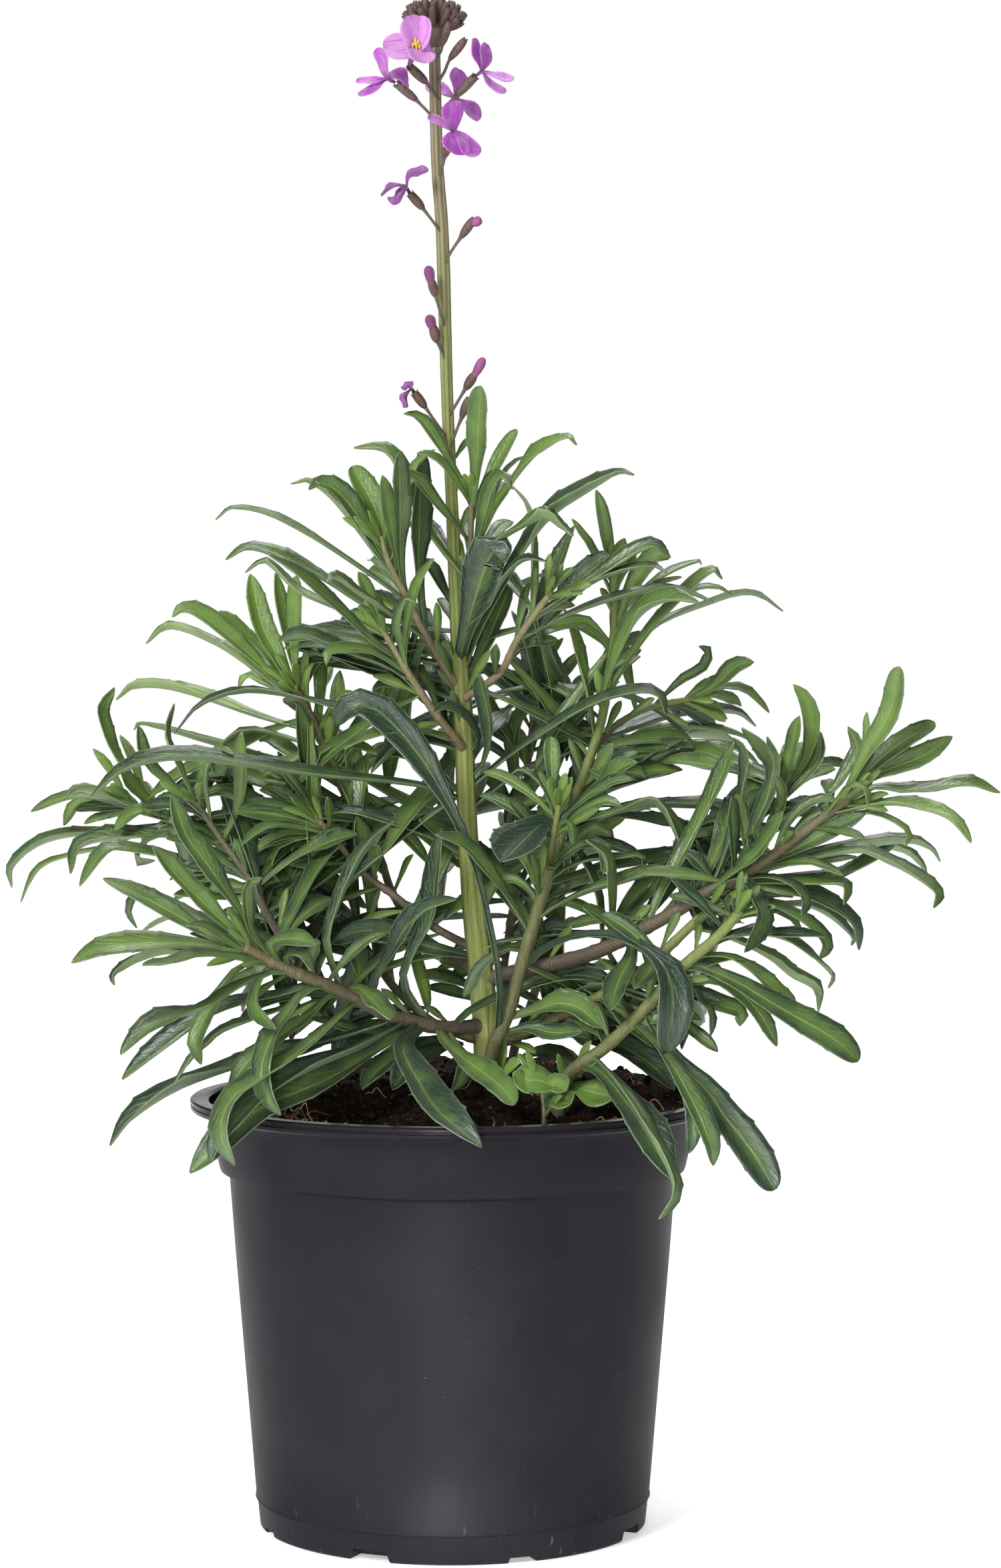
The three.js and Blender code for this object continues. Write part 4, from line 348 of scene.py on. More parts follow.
            leaf(3.5, -6, [103, 233], [111, 254.6], [117.3, 274], [113, 285]),
            leaf(4, 2, [110, 239], [115.5, 251.6], [119.5, 264], [115.5, 272]),
            leaf(5, 10, [93, 230], [105, 239], [114, 249], [119, 258]),
            leaf(5.5, 0, [119, 262], [120, 272], [122.5, 282], [125, 292.6]),
            leaf(6, 6, [121, 266], [127, 276], [130, 289], [128, 298], [123.7, 303.5]),
            leaf(5, -6, [118, 260], [125.8, 269], [132.5, 278], [132.4, 287]),
            leaf(4.5, 8, [116, 243], [120, 252], [125.8, 259.4], [134.2, 263], [140, 261]),
            leaf(4, 12, [118, 245], [127, 254.6], [134, 259], [137, 254]),
            leaf(4.5, -6, [130, 253], [134, 262], [140.8, 270.3], [146.5, 281], [142.7, 288.7]),
            leaf(3.5, 2, [143, 262.5], [146.3, 274], [150, 284], [148.6, 294]),
            blunt(7, -2, [143, 262.5], [149, 279], [157.7, 293.8], [160.4, 309.8]),
            blunt(7, 4, [144, 263], [153.5, 276.3], [164, 284.5], [174, 291]),
            leaf(7.5, 8, [144, 263], [150, 270], [160, 274.5], [170, 278.5], [180.5, 285.9]),
            leaf(5.5, 2, [144, 263], [152, 267], [162, 266], [174, 267.3], [187, 268.5], [198, 265.2]),
            leaf(4, 10, [144, 262], [156, 261.5], [168, 260.5], [180, 256.5], [188, 247.4]),
            leaf(2.8, 16, [142, 260], [150, 258], [160, 254.8], [165.5, 250.5], [165.4, 245.6]),
            leaf(3, 18, [140, 262], [143, 267], [149, 267], [151.7, 261.3]),
            leaf(7, 18, [112, 238.5], [125.8, 245.6], [137.8, 252.2], [149, 257.5]),
            leaf(4.5, 22, [110, 238], [122, 240], [131.8, 239.5], [141.4, 236.3]),
            leaf(5.5, 12, [106, 235], [118, 234.5], [134, 234.3], [148, 239], [160, 247.4]),
            leaf(3, -6, [118, 243], [134, 240], [147, 243]),
            leaf(4.5, 0, [118, 243], [131.8, 244.4], [150, 247], [166, 248.3], [174, 245.6], [178, 241.3]),
            leaf(3.5, 6, [118, 243], [142.7, 246.3], [162, 245], [170, 240], [173.7, 233.5]),
            leaf(5.5, 10, [116, 241], [143.8, 244.4], [157.7, 240.7], [170, 234.5], [177, 229],
                [176.4, 223.2]),
            leaf(5, -8, [108, 236], [130, 233], [142, 232], [142, 224.4]),
            leaf(3.5, 18, [99, 232.5], [108, 234.5], [117, 234.5], [125, 230.5], [128.2, 225.6],
                [127, 220.2]),
            leaf(5.5, 8, [102, 233], [113.7, 232.6], [125.8, 229.9], [137, 225], [146, 218], [149.5, 208]),
            leaf(5.5, 22, [96, 231.5], [100.5, 234], [106, 233], [110.5, 226], [112.5, 219],
                [107.6, 207.7]),
            leaf(4.5, 14, [88, 226.5], [91, 226], [100.6, 223], [107.8, 219], [117, 211], [122, 203.5],
                [120, 194.7]),
            leaf(4, 4, [100, 232], [106, 228], [111.5, 226.2], [120, 223], [130, 217], [135.8, 210],
                [133.5, 204.4]),
            leaf(3.6, -6, [103, 232], [117.5, 225.5], [129, 224.5], [138, 220], [145.5, 213], [145, 209]),
            leaf(3, -10, [101, 231], [114, 223.5], [122, 220.5], [128, 214.4]),
            leaf(7, 16, [81, 222], [84, 229.5], [88, 226], [92, 219], [95.2, 214.7]),
            leaf(9, 26, [61, 212], [64.5, 213], [64.5, 206], [60, 197], [56.9, 187]),
            leaf(6, 18, [66, 213], [70.5, 206], [72, 202], [66, 195]),
            leaf(4.5, 6, [57, 211], [57.5, 228], [56, 241], [50, 249]),
            leaf(3.4, 10, [55, 210], [53, 226], [49, 238], [44, 247]),
            leaf(5, 4, [62, 212], [66, 223], [75, 232], [80, 243], [81, 252]),
        ],
        back=BackRow(6, 0.3, 0.98, (36, 55), 6),
    ),
    "shoot_g": Shoot(
        stems=[stem([2.5, 2.2, 1.7], [38, 138, 36], [40, 160, 38], [55.7, 173, 42], [69.4, 186.4, 46],
            [81.2, 200, 48], [96.4, 213.4, 50], [104.8, 222.7, 50])],
        leaves=[
            leaf(3.8, 6, [93, 211], [100.6, 213.5], [107.8, 214], [116.9, 213.5], [126, 209.9],
                [133, 204.4], [138, 199], [136.6, 193.8]),
            leaf(5, 4, [84, 203], [88, 205.6], [98.8, 206.2], [107.8, 201.4], [116.9, 194], [122.3, 190.5],
                [125, 185.6]),
            blunt(11, 10, [80, 199], [86.7, 202.6], [101.8, 197], [113.8, 190], [126, 183], [138, 176],
                [147.5, 168]),
            leaf(7, 14, [78, 196], [85.5, 196], [95.8, 197], [104.8, 192], [112, 184], [118, 173]),
            leaf(8, -6, [78, 196], [88, 193], [97.6, 188], [104, 186], [105, 180]),
            leaf(7.5, 0, [66, 182], [74, 174, 56], [80, 166, 66], [85, 157.7, 74], [90, 147.4, 80],
                [94, 137, 82], [95, 129.3, 82]),
            blunt(12, 0, [69, 186], [78, 172, 50], [85, 164, 52], [92.4, 157, 52], [98.4, 148, 52],
                [104, 141, 52], [110.5, 132, 52], [117, 120.6, 52]),
            leaf(2.2, 10, [80, 199], [86, 196], [90, 189.5], [94, 185.6], [94.7, 177]),
            leaf(5, 20, [72, 189], [80, 184], [88, 178], [96.3, 171.5]),
            leaf(14, 0, [47, 168], [54.7, 163, 52], [61, 155.5, 58], [66, 149.5, 68], [70, 143, 77],
                [75, 135, 82], [81, 126, 84]),
            leaf(4, 0, [50, 170], [60, 160, 66], [66, 152, 76], [72, 142, 84], [77, 133, 89],
                [80.8, 124, 92], [80.5, 117, 92], [75.3, 109.5, 91]),
        ],
        back=BackRow(3, 0.35, 0.98, (34, 50), 6),
    ),
    "shoot_g_low": Shoot(
        stems=[stem([2.2, 1.9, 1.6], [12, 172, 0], [19, 175, 1], [28, 179, 8], [45.5, 187.4, 22],
            [59, 194, 31], [72.8, 204, 36], [86.3, 216.7, 38], [95, 224, 38])],
        leaves=[
            leaf(5, 8, [86, 216], [95, 214.7], [107.8, 209.9], [116.9, 205], [123.5, 199.6], [132, 194.7],
                [133.8, 185.6]),
            blunt(8.5, 0, [30, 180], [37, 178, 32], [45, 175, 42], [54.7, 170, 54], [68, 162, 66],
                [77, 153.5, 75], [80.8, 146, 80]),
            leaf(5, 10, [48, 189], [56, 190], [63, 186], [68, 178]),
        ],
        back=BackRow(2, 0.3, 0.98, (34, 50), 6),
    ),
    "shoot_h": Shoot(
        stems=[stem([1.7, 1.5, 1.2], [12, 174, 0], [-6, 181, -10], [-20, 193, -19], [-30, 206, -27],
            [-45, 221, -36], [-57, 232, -43], [-70, 243, -49], [-85, 250, -54], [-105, 256, -58],
            [-119, 260, -60])],
        leaves=[
            leaf(3.5, 4, [-107, 257], [-116, 270], [-122.5, 281], [-126.4, 294], [-121.3, 301.7]),
            leaf(3.5, -8, [-110, 258], [-114, 272], [-120, 286]),
            leaf(3.5, 2, [-118, 260], [-120, 266.7], [-125, 275], [-129.9, 281]),
            leaf(6, 8, [-103, 256], [-107, 259], [-114, 266], [-120, 273]),
            leaf(4.5, 8, [-114.7, 259.5], [-119, 264], [-124.6, 267]),
            leaf(4, -4, [-118, 260], [-130, 263.5], [-139, 263.7], [-153, 259.7]),
            leaf(3, -8, [-118, 260], [-128, 265.5], [-136.4, 267], [-141, 263.7]),
            leaf(5.5, 10, [-117, 259.5], [-128, 262], [-136, 261.3], [-141, 253]),
            leaf(5.5, 14, [-100, 256], [-109, 258.5], [-115, 258.6], [-122.5, 252]),
            leaf(4.5, 0, [-108, 256], [-118, 252], [-145, 249], [-160, 240], [-162.8, 230.5]),
            leaf(2.5, -12, [-112, 258], [-124, 246], [-138, 243], [-150, 238], [-158, 226]),
            leaf(6.5, 12, [-75, 246], [-86, 249], [-100, 250.5], [-133, 247.4], [-139.6, 236]),
            leaf(4.5, 16, [-70, 243], [-80, 239], [-91, 240], [-118, 245], [-126, 244.7], [-136.5, 234.4]),
            leaf(3, 18, [-90, 251], [-97, 249], [-109, 249], [-114.7, 241], [-108, 240]),
        ],
        back=BackRow(5, 0.45, 0.98, (34, 50), 6),
    ),
    "shoot_i": Shoot(
        stems=[stem([1.6, 1.4, 1.1], [8.5, 208, 0], [-8, 217, -4], [-21, 227.5, -5], [-33, 236.5, -5],
            [-44, 250, -3], [-50, 256, -2])],
        leaves=[
            leaf(6, 6, [-49, 251.7], [-65.8, 259.5], [-82, 265.5], [-94, 264.3]),
            leaf(4.5, 12, [-49, 251], [-60, 253.5], [-67, 253], [-77, 247]),
            leaf(4, 14, [-48, 250], [-57, 248], [-64, 244.5], [-67, 237], [-63, 231]),
            leaf(3, 6, [-38, 242], [-54, 234.5], [-66, 230.5], [-72, 226.3]),
        ],
        back=BackRow(2, 0.4, 0.98, (28, 42), 5),
    ),
    "shoot_j": Shoot(
        stems=[
            stem([2.7, 2.5, 2.3, 2], [11, 180.6, 0], [-3, 179.7, 14], [-22.4, 184, 28], [-39.3, 192.5, 38],
                [-52.8, 198, 45], [-64.8, 203, 50], [-75.7, 209, 55]),
            stem([1.6, 1.3, 1.1], [-50, 197, 44], [-57, 205, 32], [-66, 219, 18], [-72, 231, 8],
                [-78, 240, 0], [-83, 247, -4], [-93, 262, -8]),
        ],
        leaves=[
            leaf(7.5, 10, [-77, 210], [-84, 211.5], [-101, 221.4], [-115.6, 229.3], [-126.1, 234.9]),
            leaf(8, 14, [-76, 210], [-89, 224.4], [-98, 233.5], [-108.4, 245.6]),
            leaf(7, 0, [-75, 209], [-76, 220], [-83, 231], [-90.2, 241.4], [-96.3, 250], [-100.5, 264.6]),
            leaf(7.8, 18, [-76, 209], [-81, 208.9], [-95, 210.5], [-110, 211], [-127, 209.5],
                [-138, 205.6]),
            leaf(6, 24, [-75, 208], [-82.4, 206.4], [-95, 206.2], [-104, 203.8], [-112.4, 202.6]),
            leaf(3.5, 20, [-76, 209], [-79.3, 210], [-89, 216.5], [-96.2, 218]),
            leaf(5.5, 26, [-68, 204.5], [-77, 202], [-83, 194], [-90.2, 183.2], [-93.2, 174.7],
                [-91.4, 166.3]),
            leaf(4, 6, [-75, 208], [-100, 208], [-112, 206], [-119.2, 202.6], [-123.6, 199], [-123.4, 195]),
            leaf(2.5, -10, [-75, 209], [-95, 222], [-112, 229], [-118, 223], [-116.6, 215]),
            leaf(3, -12, [-76, 209], [-92, 221], [-104.7, 219.6], [-115, 214.4]),
            leaf(4, 22, [-70, 206], [-72.5, 214], [-74, 222], [-74, 231], [-69.5, 233.5]),
            leaf(6.5, 20, [-70, 206], [-66, 210], [-60, 212.3], [-55, 212], [-50.3, 210.5]),
            leaf(5, 24, [-66, 204.5], [-60, 206.5], [-54.6, 206], [-51, 200.8]),
            leaf(4.5, 22, [-66, 203.5], [-68.5, 199], [-71.7, 193], [-71.5, 187], [-65.2, 179.3]),
            leaf(6, 14, [-60, 201], [-66, 200], [-80, 194], [-90.2, 187.5], [-101, 184.4], [-110.7, 180],
                [-120.5, 170.5]),
            leaf(8, 20, [-50, 197], [-58.8, 193], [-77, 189.3], [-89, 185], [-98, 179], [-111, 169],
                [-120, 161]),
            leaf(4, -6, [-48, 196], [-60, 188], [-71, 184], [-84, 179], [-89, 174.7], [-95, 169.3],
                [-101, 160]),
            leaf(7.5, 0, [-49, 196], [-54, 193, 50], [-60, 186, 60], [-66.2, 176, 70], [-69.8, 165, 78],
                [-68.6, 156.5, 82], [-63.5, 147.4, 84]),
            leaf(7, 0, [-20, 183], [-45, 175, 20], [-60, 172, 16], [-81, 166, 14], [-100, 159, 18],
                [-117.6, 148.7, 22], [-127, 139, 24]),
            leaf(13, 0, [-15, 181], [-20, 176.5, 28], [-30, 170.5, 36], [-42, 163.5, 48], [-54, 158, 57],
                [-69, 152, 66], [-82, 141, 73], [-96.2, 128, 76]),
            leaf(8, 0, [-18, 182], [-34, 173, 50], [-52, 166, 62], [-69, 157, 73], [-80, 147, 80],
                [-88, 138.5, 83], [-91, 131.5, 84]),
            leaf(7, 0, [-42, 194], [-54, 183, 50], [-64, 176, 56], [-75.3, 166.8, 62], [-83, 155, 64]),
            leaf(8, 0, [-34, 190], [-48, 178, 60], [-60, 168.5, 72], [-72, 161, 80], [-82, 153, 87],
                [-86, 141, 92], [-82.6, 128.6, 94]),
            leaf(13, 0, [-17, 182], [-18, 173, 52], [-12, 161, 70], [-5.7, 151.5, 89], [2, 145.5, 100],
                [10.6, 140, 106]),
            blunt(9, 0, [-5, 180], [-3, 175, 28], [3.4, 169.3, 42], [12.4, 162.6, 56], [18.5, 157.8, 66],
                [21.5, 154, 72]),
            leaf(6, 0, [-3, 179], [4, 168, 24], [3, 162, 30], [0.9, 157, 34]),
            leaf(4, -8, [-16, 182], [-30, 178.5], [-42, 181], [-52, 184.5]),
            leaf(5, 4, [-46.7, 196], [-45.5, 211], [-43, 222], [-38.3, 234], [-33, 243.8], [-27, 251],
                [-22, 256]),
            leaf(7, 16, [-29, 188], [-29.5, 194], [-23.8, 205], [-17.7, 216], [-10, 223.5], [0.2, 227.8]),
            leaf(9, 22, [-39, 192], [-36, 194.5], [-31, 192], [-22.6, 183]),
            leaf(6, 10, [-16, 182], [-17.7, 196], [-14, 208.7], [-8.7, 219], [-7, 235], [-5, 252]),
            leaf(8, 0, [-4, 180], [6.4, 186, 8], [18.5, 191.6, 5], [32.4, 197, 6], [45, 199.5, 10],
                [60, 197, 14]),
            leaf(3, -4, [-91, 259], [-98, 273], [-103.3, 286], [-100.2, 297]),
            leaf(4.5, 4, [-91, 260], [-101, 267], [-110.5, 276], [-113, 289.5]),
            leaf(2.2, 6, [-88, 256], [-89.4, 271.5], [-85, 280.6], [-79, 280.5]),
            leaf(5.5, 8, [-83, 248], [-77, 263], [-76.5, 287]),
            leaf(5, -4, [-72, 229], [-80, 232], [-88.5, 230.5]),
        ],
        back=BackRow(6, 0.4, 0.98, (36, 56), 6),
    ),
    "shoot_k": Shoot(
        stems=[stem([1.8, 1.6, 1.1], [21, 140, -20], [22, 170, -22], [28, 187, -26], [33, 205, -31],
            [39, 229, -36], [44, 239, -39], [50, 254, -43], [56, 274, -46])],
        leaves=[
            leaf(3, 4, [54, 266], [65.5, 273.3], [77.6, 276.3], [92, 277], [102, 275.5], [107.8, 271]),
            leaf(3.8, 0, [55, 270], [63.7, 278], [80, 283], [98, 282.5], [106, 279.5], [112.5, 273.6]),
            leaf(3, -6, [55, 272], [63.7, 284.2], [83.6, 289.3], [101.7, 287.2], [107, 285.5]),
            leaf(5.5, -10, [55, 270], [66, 283], [80, 286.5], [96, 286], [105, 283]),
            leaf(6, 10, [46, 243], [54, 251], [62.5, 257]),
        ],
        back=BackRow(5, 0.4, 0.98, (34, 50), 6),
    ),
    "shoot_l": Shoot(
        stems=[stem([1.5, 1.3, 1.1], [13, 140, -30], [16, 172, -32], [18, 195, -35], [20.5, 216, -38],
            [23, 232, -41], [26, 262, -45], [29, 292, -48], [31, 312, -50])],
        leaves=[
            leaf(5, 4, [29, 300], [31.5, 327], [37.7, 347], [42, 362]),
            leaf(2, 0, [28, 308], [29.5, 344], [29, 366], [24.5, 377]),
            leaf(4.5, 2, [28, 296], [25, 322], [26, 335.5]),
            leaf(3, 2, [28, 288], [27.5, 305], [25.7, 320], [22, 331]),
            leaf(5.5, 4, [28, 280], [31.8, 303], [31, 322], [29, 338]),
            leaf(5, 8, [24, 250], [22, 285], [29, 298], [37, 305]),
            leaf(3.4, 10, [27, 272], [30, 288], [35, 294.5], [43, 293.5]),
            leaf(5.5, 4, [27.5, 276], [32, 291], [41, 299], [48, 299]),
            leaf(5.5, 6, [22, 240], [21, 258], [26, 267], [33, 273]),
        ],
        back=BackRow(4, 0.35, 0.98, (32, 50), 6),
    ),
}

BLOOMS: dict[str, BloomRow] = {
    "bloom_front": BloomRow(
        stalk=[[-5, 514, 1], [-8, 518, 5]],
        calyx=[[-9, 519.8, 6], [-15.6, 526, 11]],
        face=[-12.9, 533.1, 15],
        petals=[
            petal(7.5, 4, [-12.9, 533.1], [-14.2, 538], [-15.6, 544]),
            petal(6, 4, [-12.9, 533.1], [-11, 538], [-9.2, 543.4]),
            petal(9, 5, [-12.9, 533.1], [-18, 532.6], [-24.6, 532]),
            petal(8.5, 5, [-12.9, 533.1], [-11.4, 530], [-9.6, 526.8]),
        ],
    ),
    "bloom_left": BloomRow(
        stalk=[[-5.9, 506, 1], [-9, 509.8, 2]],
        calyx=[[-12.6, 513.6, 3], [-20.5, 520, 4]],
        face=[-23, 521.6, 5],
        petals=[
            petal(5.5, 3, [-23.2, 521.6], [-25, 527], [-26.6, 532.4]),
            petal(2.6, 1, [-23.4, 521.4], [-28, 521], [-34.6, 521]),
            petal(3, 3, [-23.4, 521.2], [-27.5, 518.5], [-33.5, 515.2]),
            petal(5.5, -5, [-22.8, 521.8], [-19, 522], [-15.4, 520.4]),
        ],
    ),
    "bloom_right": BloomRow(
        stalk=[[-5.5, 509, 1], [-0.4, 513.6, 4]],
        calyx=[[1, 515, 5], [8.6, 522.6, 7]],
        face=[10.4, 524.2, 8],
        petals=[
            petal(3.6, 2, [10.4, 524.2], [8.8, 530], [8.3, 536]),
            petal(5, -2, [10.6, 524.4], [11.6, 529], [12, 534]),
            petal(3.4, 1, [10.8, 524.2], [16, 522.6], [22, 521]),
            petal(3.6, 5, [10.8, 523.8], [14, 519.6], [18.8, 516.6]),
        ],
    ),
    "bloom_behind": BloomRow(
        stalk=[[-5.5, 507, -1], [-3, 508.6, -6]],
        calyx=[[-1.6, 509.6, -8], [0.6, 513, -13]],
        face=[1.2, 514.2, -15],
        petals=[
            petal(6.5, -3, [1.2, 514.2], [2, 519], [2.6, 525]),
            petal(4.6, 1, [1.2, 514.2], [-3.4, 517.5], [-9.8, 518.4]),
            petal(6, -1, [1.6, 514], [6, 511], [10, 507]),
            petal(5, -6, [1.2, 514], [0, 509], [-1, 504]),
        ],
    ),
    "bloom_low": BloomRow(
        stalk=[[-5, 486, 1], [-3.6, 490, 4]],
        calyx=[[-2.8, 493.4, 6], [-0.6, 500.6, 10]],
        face=[0.4, 502.8, 12],
        petals=[
            petal(8, 4, [0.4, 502.9], [0.2, 508], [-0.4, 513.6]),
            petal(4, 3, [0.2, 502.8], [-3.6, 505.4], [-8.6, 508]),
            petal(9.5, 5, [0.6, 502.6], [1, 498.6], [1.2, 494.2]),
            petal(6.4, 1, [0.9, 502.6], [4.8, 498.8], [8, 493.4]),
        ],
    ),
    "bloom_spent": BloomRow(
        stalk=[[-3.8, 466, 1], [-7, 470.4, 3]],
        calyx=[[-10.3, 474.8, 4], [-15.6, 480.8, 6]],
        face=[-16.6, 482.6, 7],
        petals=[
            petal(2.6, 3, [-16.4, 482.7], [-15.4, 486.6], [-9, 489.4]),
            petal(2.6, 2, [-16.8, 482.6], [-20.6, 483.4], [-26, 480.4]),
            petal(5.4, 5, [-16.8, 482.4], [-18.4, 480.6], [-20.4, 477.4]),
        ],
    ),
    "bloom_withered": BloomRow(
        stalk=[[-1.4, 392, 1], [-6, 398.4, 3]],
        calyx=[[-9.6, 403.6, 4], [-14, 409.4, 6]],
        face=[-14.8, 410.4, 7],
        petals=[
            petal(3, 2, [-14.8, 410.4], [-16, 411.8], [-17.6, 410.4]),
            petal(3, 4, [-14.8, 410.2], [-17, 408], [-17, 404]),
        ],
    ),
}

BUDS: dict[str, BudRow] = {
    "bud_top": BudRow(stalk=[[-5.6, 529, 1], [-4, 531.5, 4]], calyx=[[-3.8, 533.2, 5], [-1, 542, 9]]),
    "bud_right": BudRow(stalk=[[-6, 519, 1], [-3, 523.6, 4], [-1.6, 527, 6]],
        calyx=[[-1.1, 528.2, 6.5], [5, 536, 9]]),
    "bud_first": BudRow(stalk=[[-3.4, 454, 1], [-0.6, 459.4, 3]], calyx=[[2.9, 464.6, 4], [8, 471.8, 6]],
        tip=[[8.2, 467.6, 6], [10.4, 471.2, 7]]),
    "bud_second": BudRow(stalk=[[-2.7, 432, 1], [-4.4, 438, 5]], calyx=[[-6, 443.4, 6], [-7.8, 450, 7]],
        tip=[[-8.1, 449.4, 7], [-8.8, 454.6, 8]]),
    "bud_third": BudRow(stalk=[[-2.2, 420, 1], [-4.4, 425, 3]], calyx=[[-5.6, 427, 4], [-7.2, 433.6, 5]],
        tip=[[-7.7, 432.2, 5], [-8.6, 437, 6]]),
    "bud_fourth": BudRow(stalk=[[-1.7, 400, 1], [1, 404.4, 3]], calyx=[[4.4, 410.2, 4], [8.4, 416.2, 6]],
        tip=[[8.5, 416.4, 6], [11.4, 421.6, 7]]),
    "bud_fifth": BudRow(stalk=[[-1.2, 388, 1], [1, 394.4, 3]], calyx=[[3.2, 399.8, 4], [6, 407.6, 6]]),
}

WEEDS: dict[str, Shoot] = {
    "weed_seedling": Shoot(
        stems=[stem([0.9, 0.7], [33, 135, 66], [33, 150, 66], [32, 157, 66])],
        leaves=[
            blunt(10, 10, [32, 156], [28, 159], [23, 159.4]),
            blunt(8, 12, [32, 156], [36, 159], [41, 157.4]),
            blunt(8.5, 14, [32.6, 154], [37, 153.6], [42.5, 152]),
        ],
    ),
    "weed_yellow": Shoot(
        stems=[stem([0.9, 0.7], [41, 141, 30], [42, 158, 33], [44, 162, 35])],
        leaves=[
            leaf(14, 12, [43, 161], [49, 163.5], [57, 160]),
            leaf(14, 16, [43, 159], [50, 156.5], [59, 155]),
        ],
    ),
}

# Leaves that only the look has: the tone of each and its row, of points with their own depth
ADDED: dict[str, tuple[tuple[float, BladeRow], ...]] = {
    "main_stem": (
        (
            0.0,
            blunt(14.5, 0, [2.6, 313, 3], [5.5, 326, 9], [9.5, 340, 14], [14, 351.5, 18], [18.5, 349, 22]),
        ),
        (1.0, leaf(5, 0, [15, 158, 6], [17, 168, 8], [19, 174.5, 9])),
        (0.9, leaf(4.5, 0, [15, 158, 6], [20, 165, 9], [25, 168.5, 11])),
        (1.0, leaf(4, 0, [15, 158, 6], [13, 166, 9], [14.5, 170.5, 11])),
        (0.0, leaf(9, 0, [4, 174, -6], [-6, 172, 4], [-16, 166, 12], [-22, 158, 18])),
    ),
    "shoot_g": ((0.1, leaf(6, 0, [78, 168, 40], [84, 158, 50], [87.5, 146, 55], [86, 134, 57])),),
    "shoot_h": (
        (0.0, leaf(10, 0, [-4, 182, -8], [-20, 179, -4], [-35, 171, 2], [-43, 160, 8])),
        (0.1, leaf(9, 0, [0, 177, -8], [-14, 173, 0], [-26, 166, 8], [-33, 157.5, 14])),
        (0.0, leaf(8, 0, [-10, 187, -14], [-26, 186, -16], [-42, 180, -14], [-56, 170, -10])),
    ),
    "shoot_k": (
        (0.0, leaf(12, 0, [22, 176, -20], [40, 179, -16], [58, 175, -10], [72, 167, -2], [81, 158.5, 4])),
        (0.1, leaf(8, 0, [22, 166, -16], [30, 171, -10], [40, 169.5, -2], [47, 163, 6])),
        (0.0, blunt(11, 0, [24, 180, -12], [33, 184, -6], [42, 181, 0], [49, 173.5, 6])),
        (0.1, leaf(9, 0, [30, 182, -20], [44, 190, -18], [60, 188, -16], [70, 180, -12])),
    ),
    "weed_seedling": (
        (0.75, blunt(10.5, 0, [43, 153, 66], [37, 158, 69], [30, 161, 71], [23, 159.5, 73])),
    ),
}

# How young a shoot's leaves look, from old dark green at 0 to fresh yellow green at 1
YOUTH = {
    "main_stem": 0.12, "shoot_a": 0.34, "shoot_b": 0.36, "shoot_b_low": 0.28, "shoot_c": 0.5,
    "shoot_d": 0.3, "shoot_e": 0.2, "shoot_f": 0.29, "shoot_g": 0.16, "shoot_g_low": 0.22, "shoot_h": 0.3,
    "shoot_i": 0.3, "shoot_j": 0.24, "shoot_k": 0.3, "shoot_l": 0.28, "weed_seedling": 0.45,
    "weed_yellow": 0.75,
}

# The shoots whose bark is olive, and those whose bark is tan
OLIVE = ("shoot_d", "shoot_g", "shoot_g_low", "shoot_h")
TAN = ("shoot_b", "shoot_b_low", "shoot_e")


# Places and paths


def random_stream(seed: int) -> Callable[[], float]:
    """Return a repeatable random stream.

    Args:
        seed: The whole number that the stream starts from.

    Returns:
        A function that gives the next number from 0 to 1.
    """
    mask = 0xFFFFFFFF
    state = seed & mask

    def draw() -> float:
        """Return the stream's next number."""
        nonlocal state
        state = (state + 0x6D2B79F5) & mask
        t = state
        t = ((t ^ (t >> 15)) * (t | 1)) & mask
        t ^= (t + (((t ^ (t >> 7)) * (t | 61)) & mask)) & mask
        return ((t ^ (t >> 14)) & mask) / 4294967296

    return draw


def unit(rows: np.ndarray) -> np.ndarray:
    """Return a vector, or each row of a table, scaled to length one."""
    return rows / np.maximum(np.linalg.norm(rows, axis=-1, keepdims=True), 1e-12)


def blend_along(values: Sequence[float], shares: np.ndarray) -> np.ndarray:
    """Return evenly spaced values read at shares of their run, joined by straight lines."""
    return np.interp(shares, np.linspace(0, 1, len(values)), values)


def smooth_curve(points: Sequence[Sequence[float]], shares: np.ndarray) -> np.ndarray:
    """Run a smooth curve through points.

    Args:
        points: The points that it goes through; a missing third number is 0.
        shares: Where it is read, from 0 at the first point to 1 at the last.

    Returns:
        One row of three numbers for each share.
    """
    rows = np.array([[*point, 0.0][:3] for point in points], float)
    ends = np.vstack((2 * rows[0] - rows[1], rows, 2 * rows[-1] - rows[-2]))
    place = np.clip(shares, 0, 1) * (len(rows) - 1)
    i = np.minimum(place.astype(int), len(rows) - 2)
    w = (place - i)[:, None]
    before, start, end, after = (ends[i + k] for k in range(4))
    out, into = (end - before) / 2, (after - start) / 2
    squared = 3 * (end - start) - 2 * out - into
    cubed = 2 * (start - end) + out + into
    return start + out * w + squared * w**2 + cubed * w**3


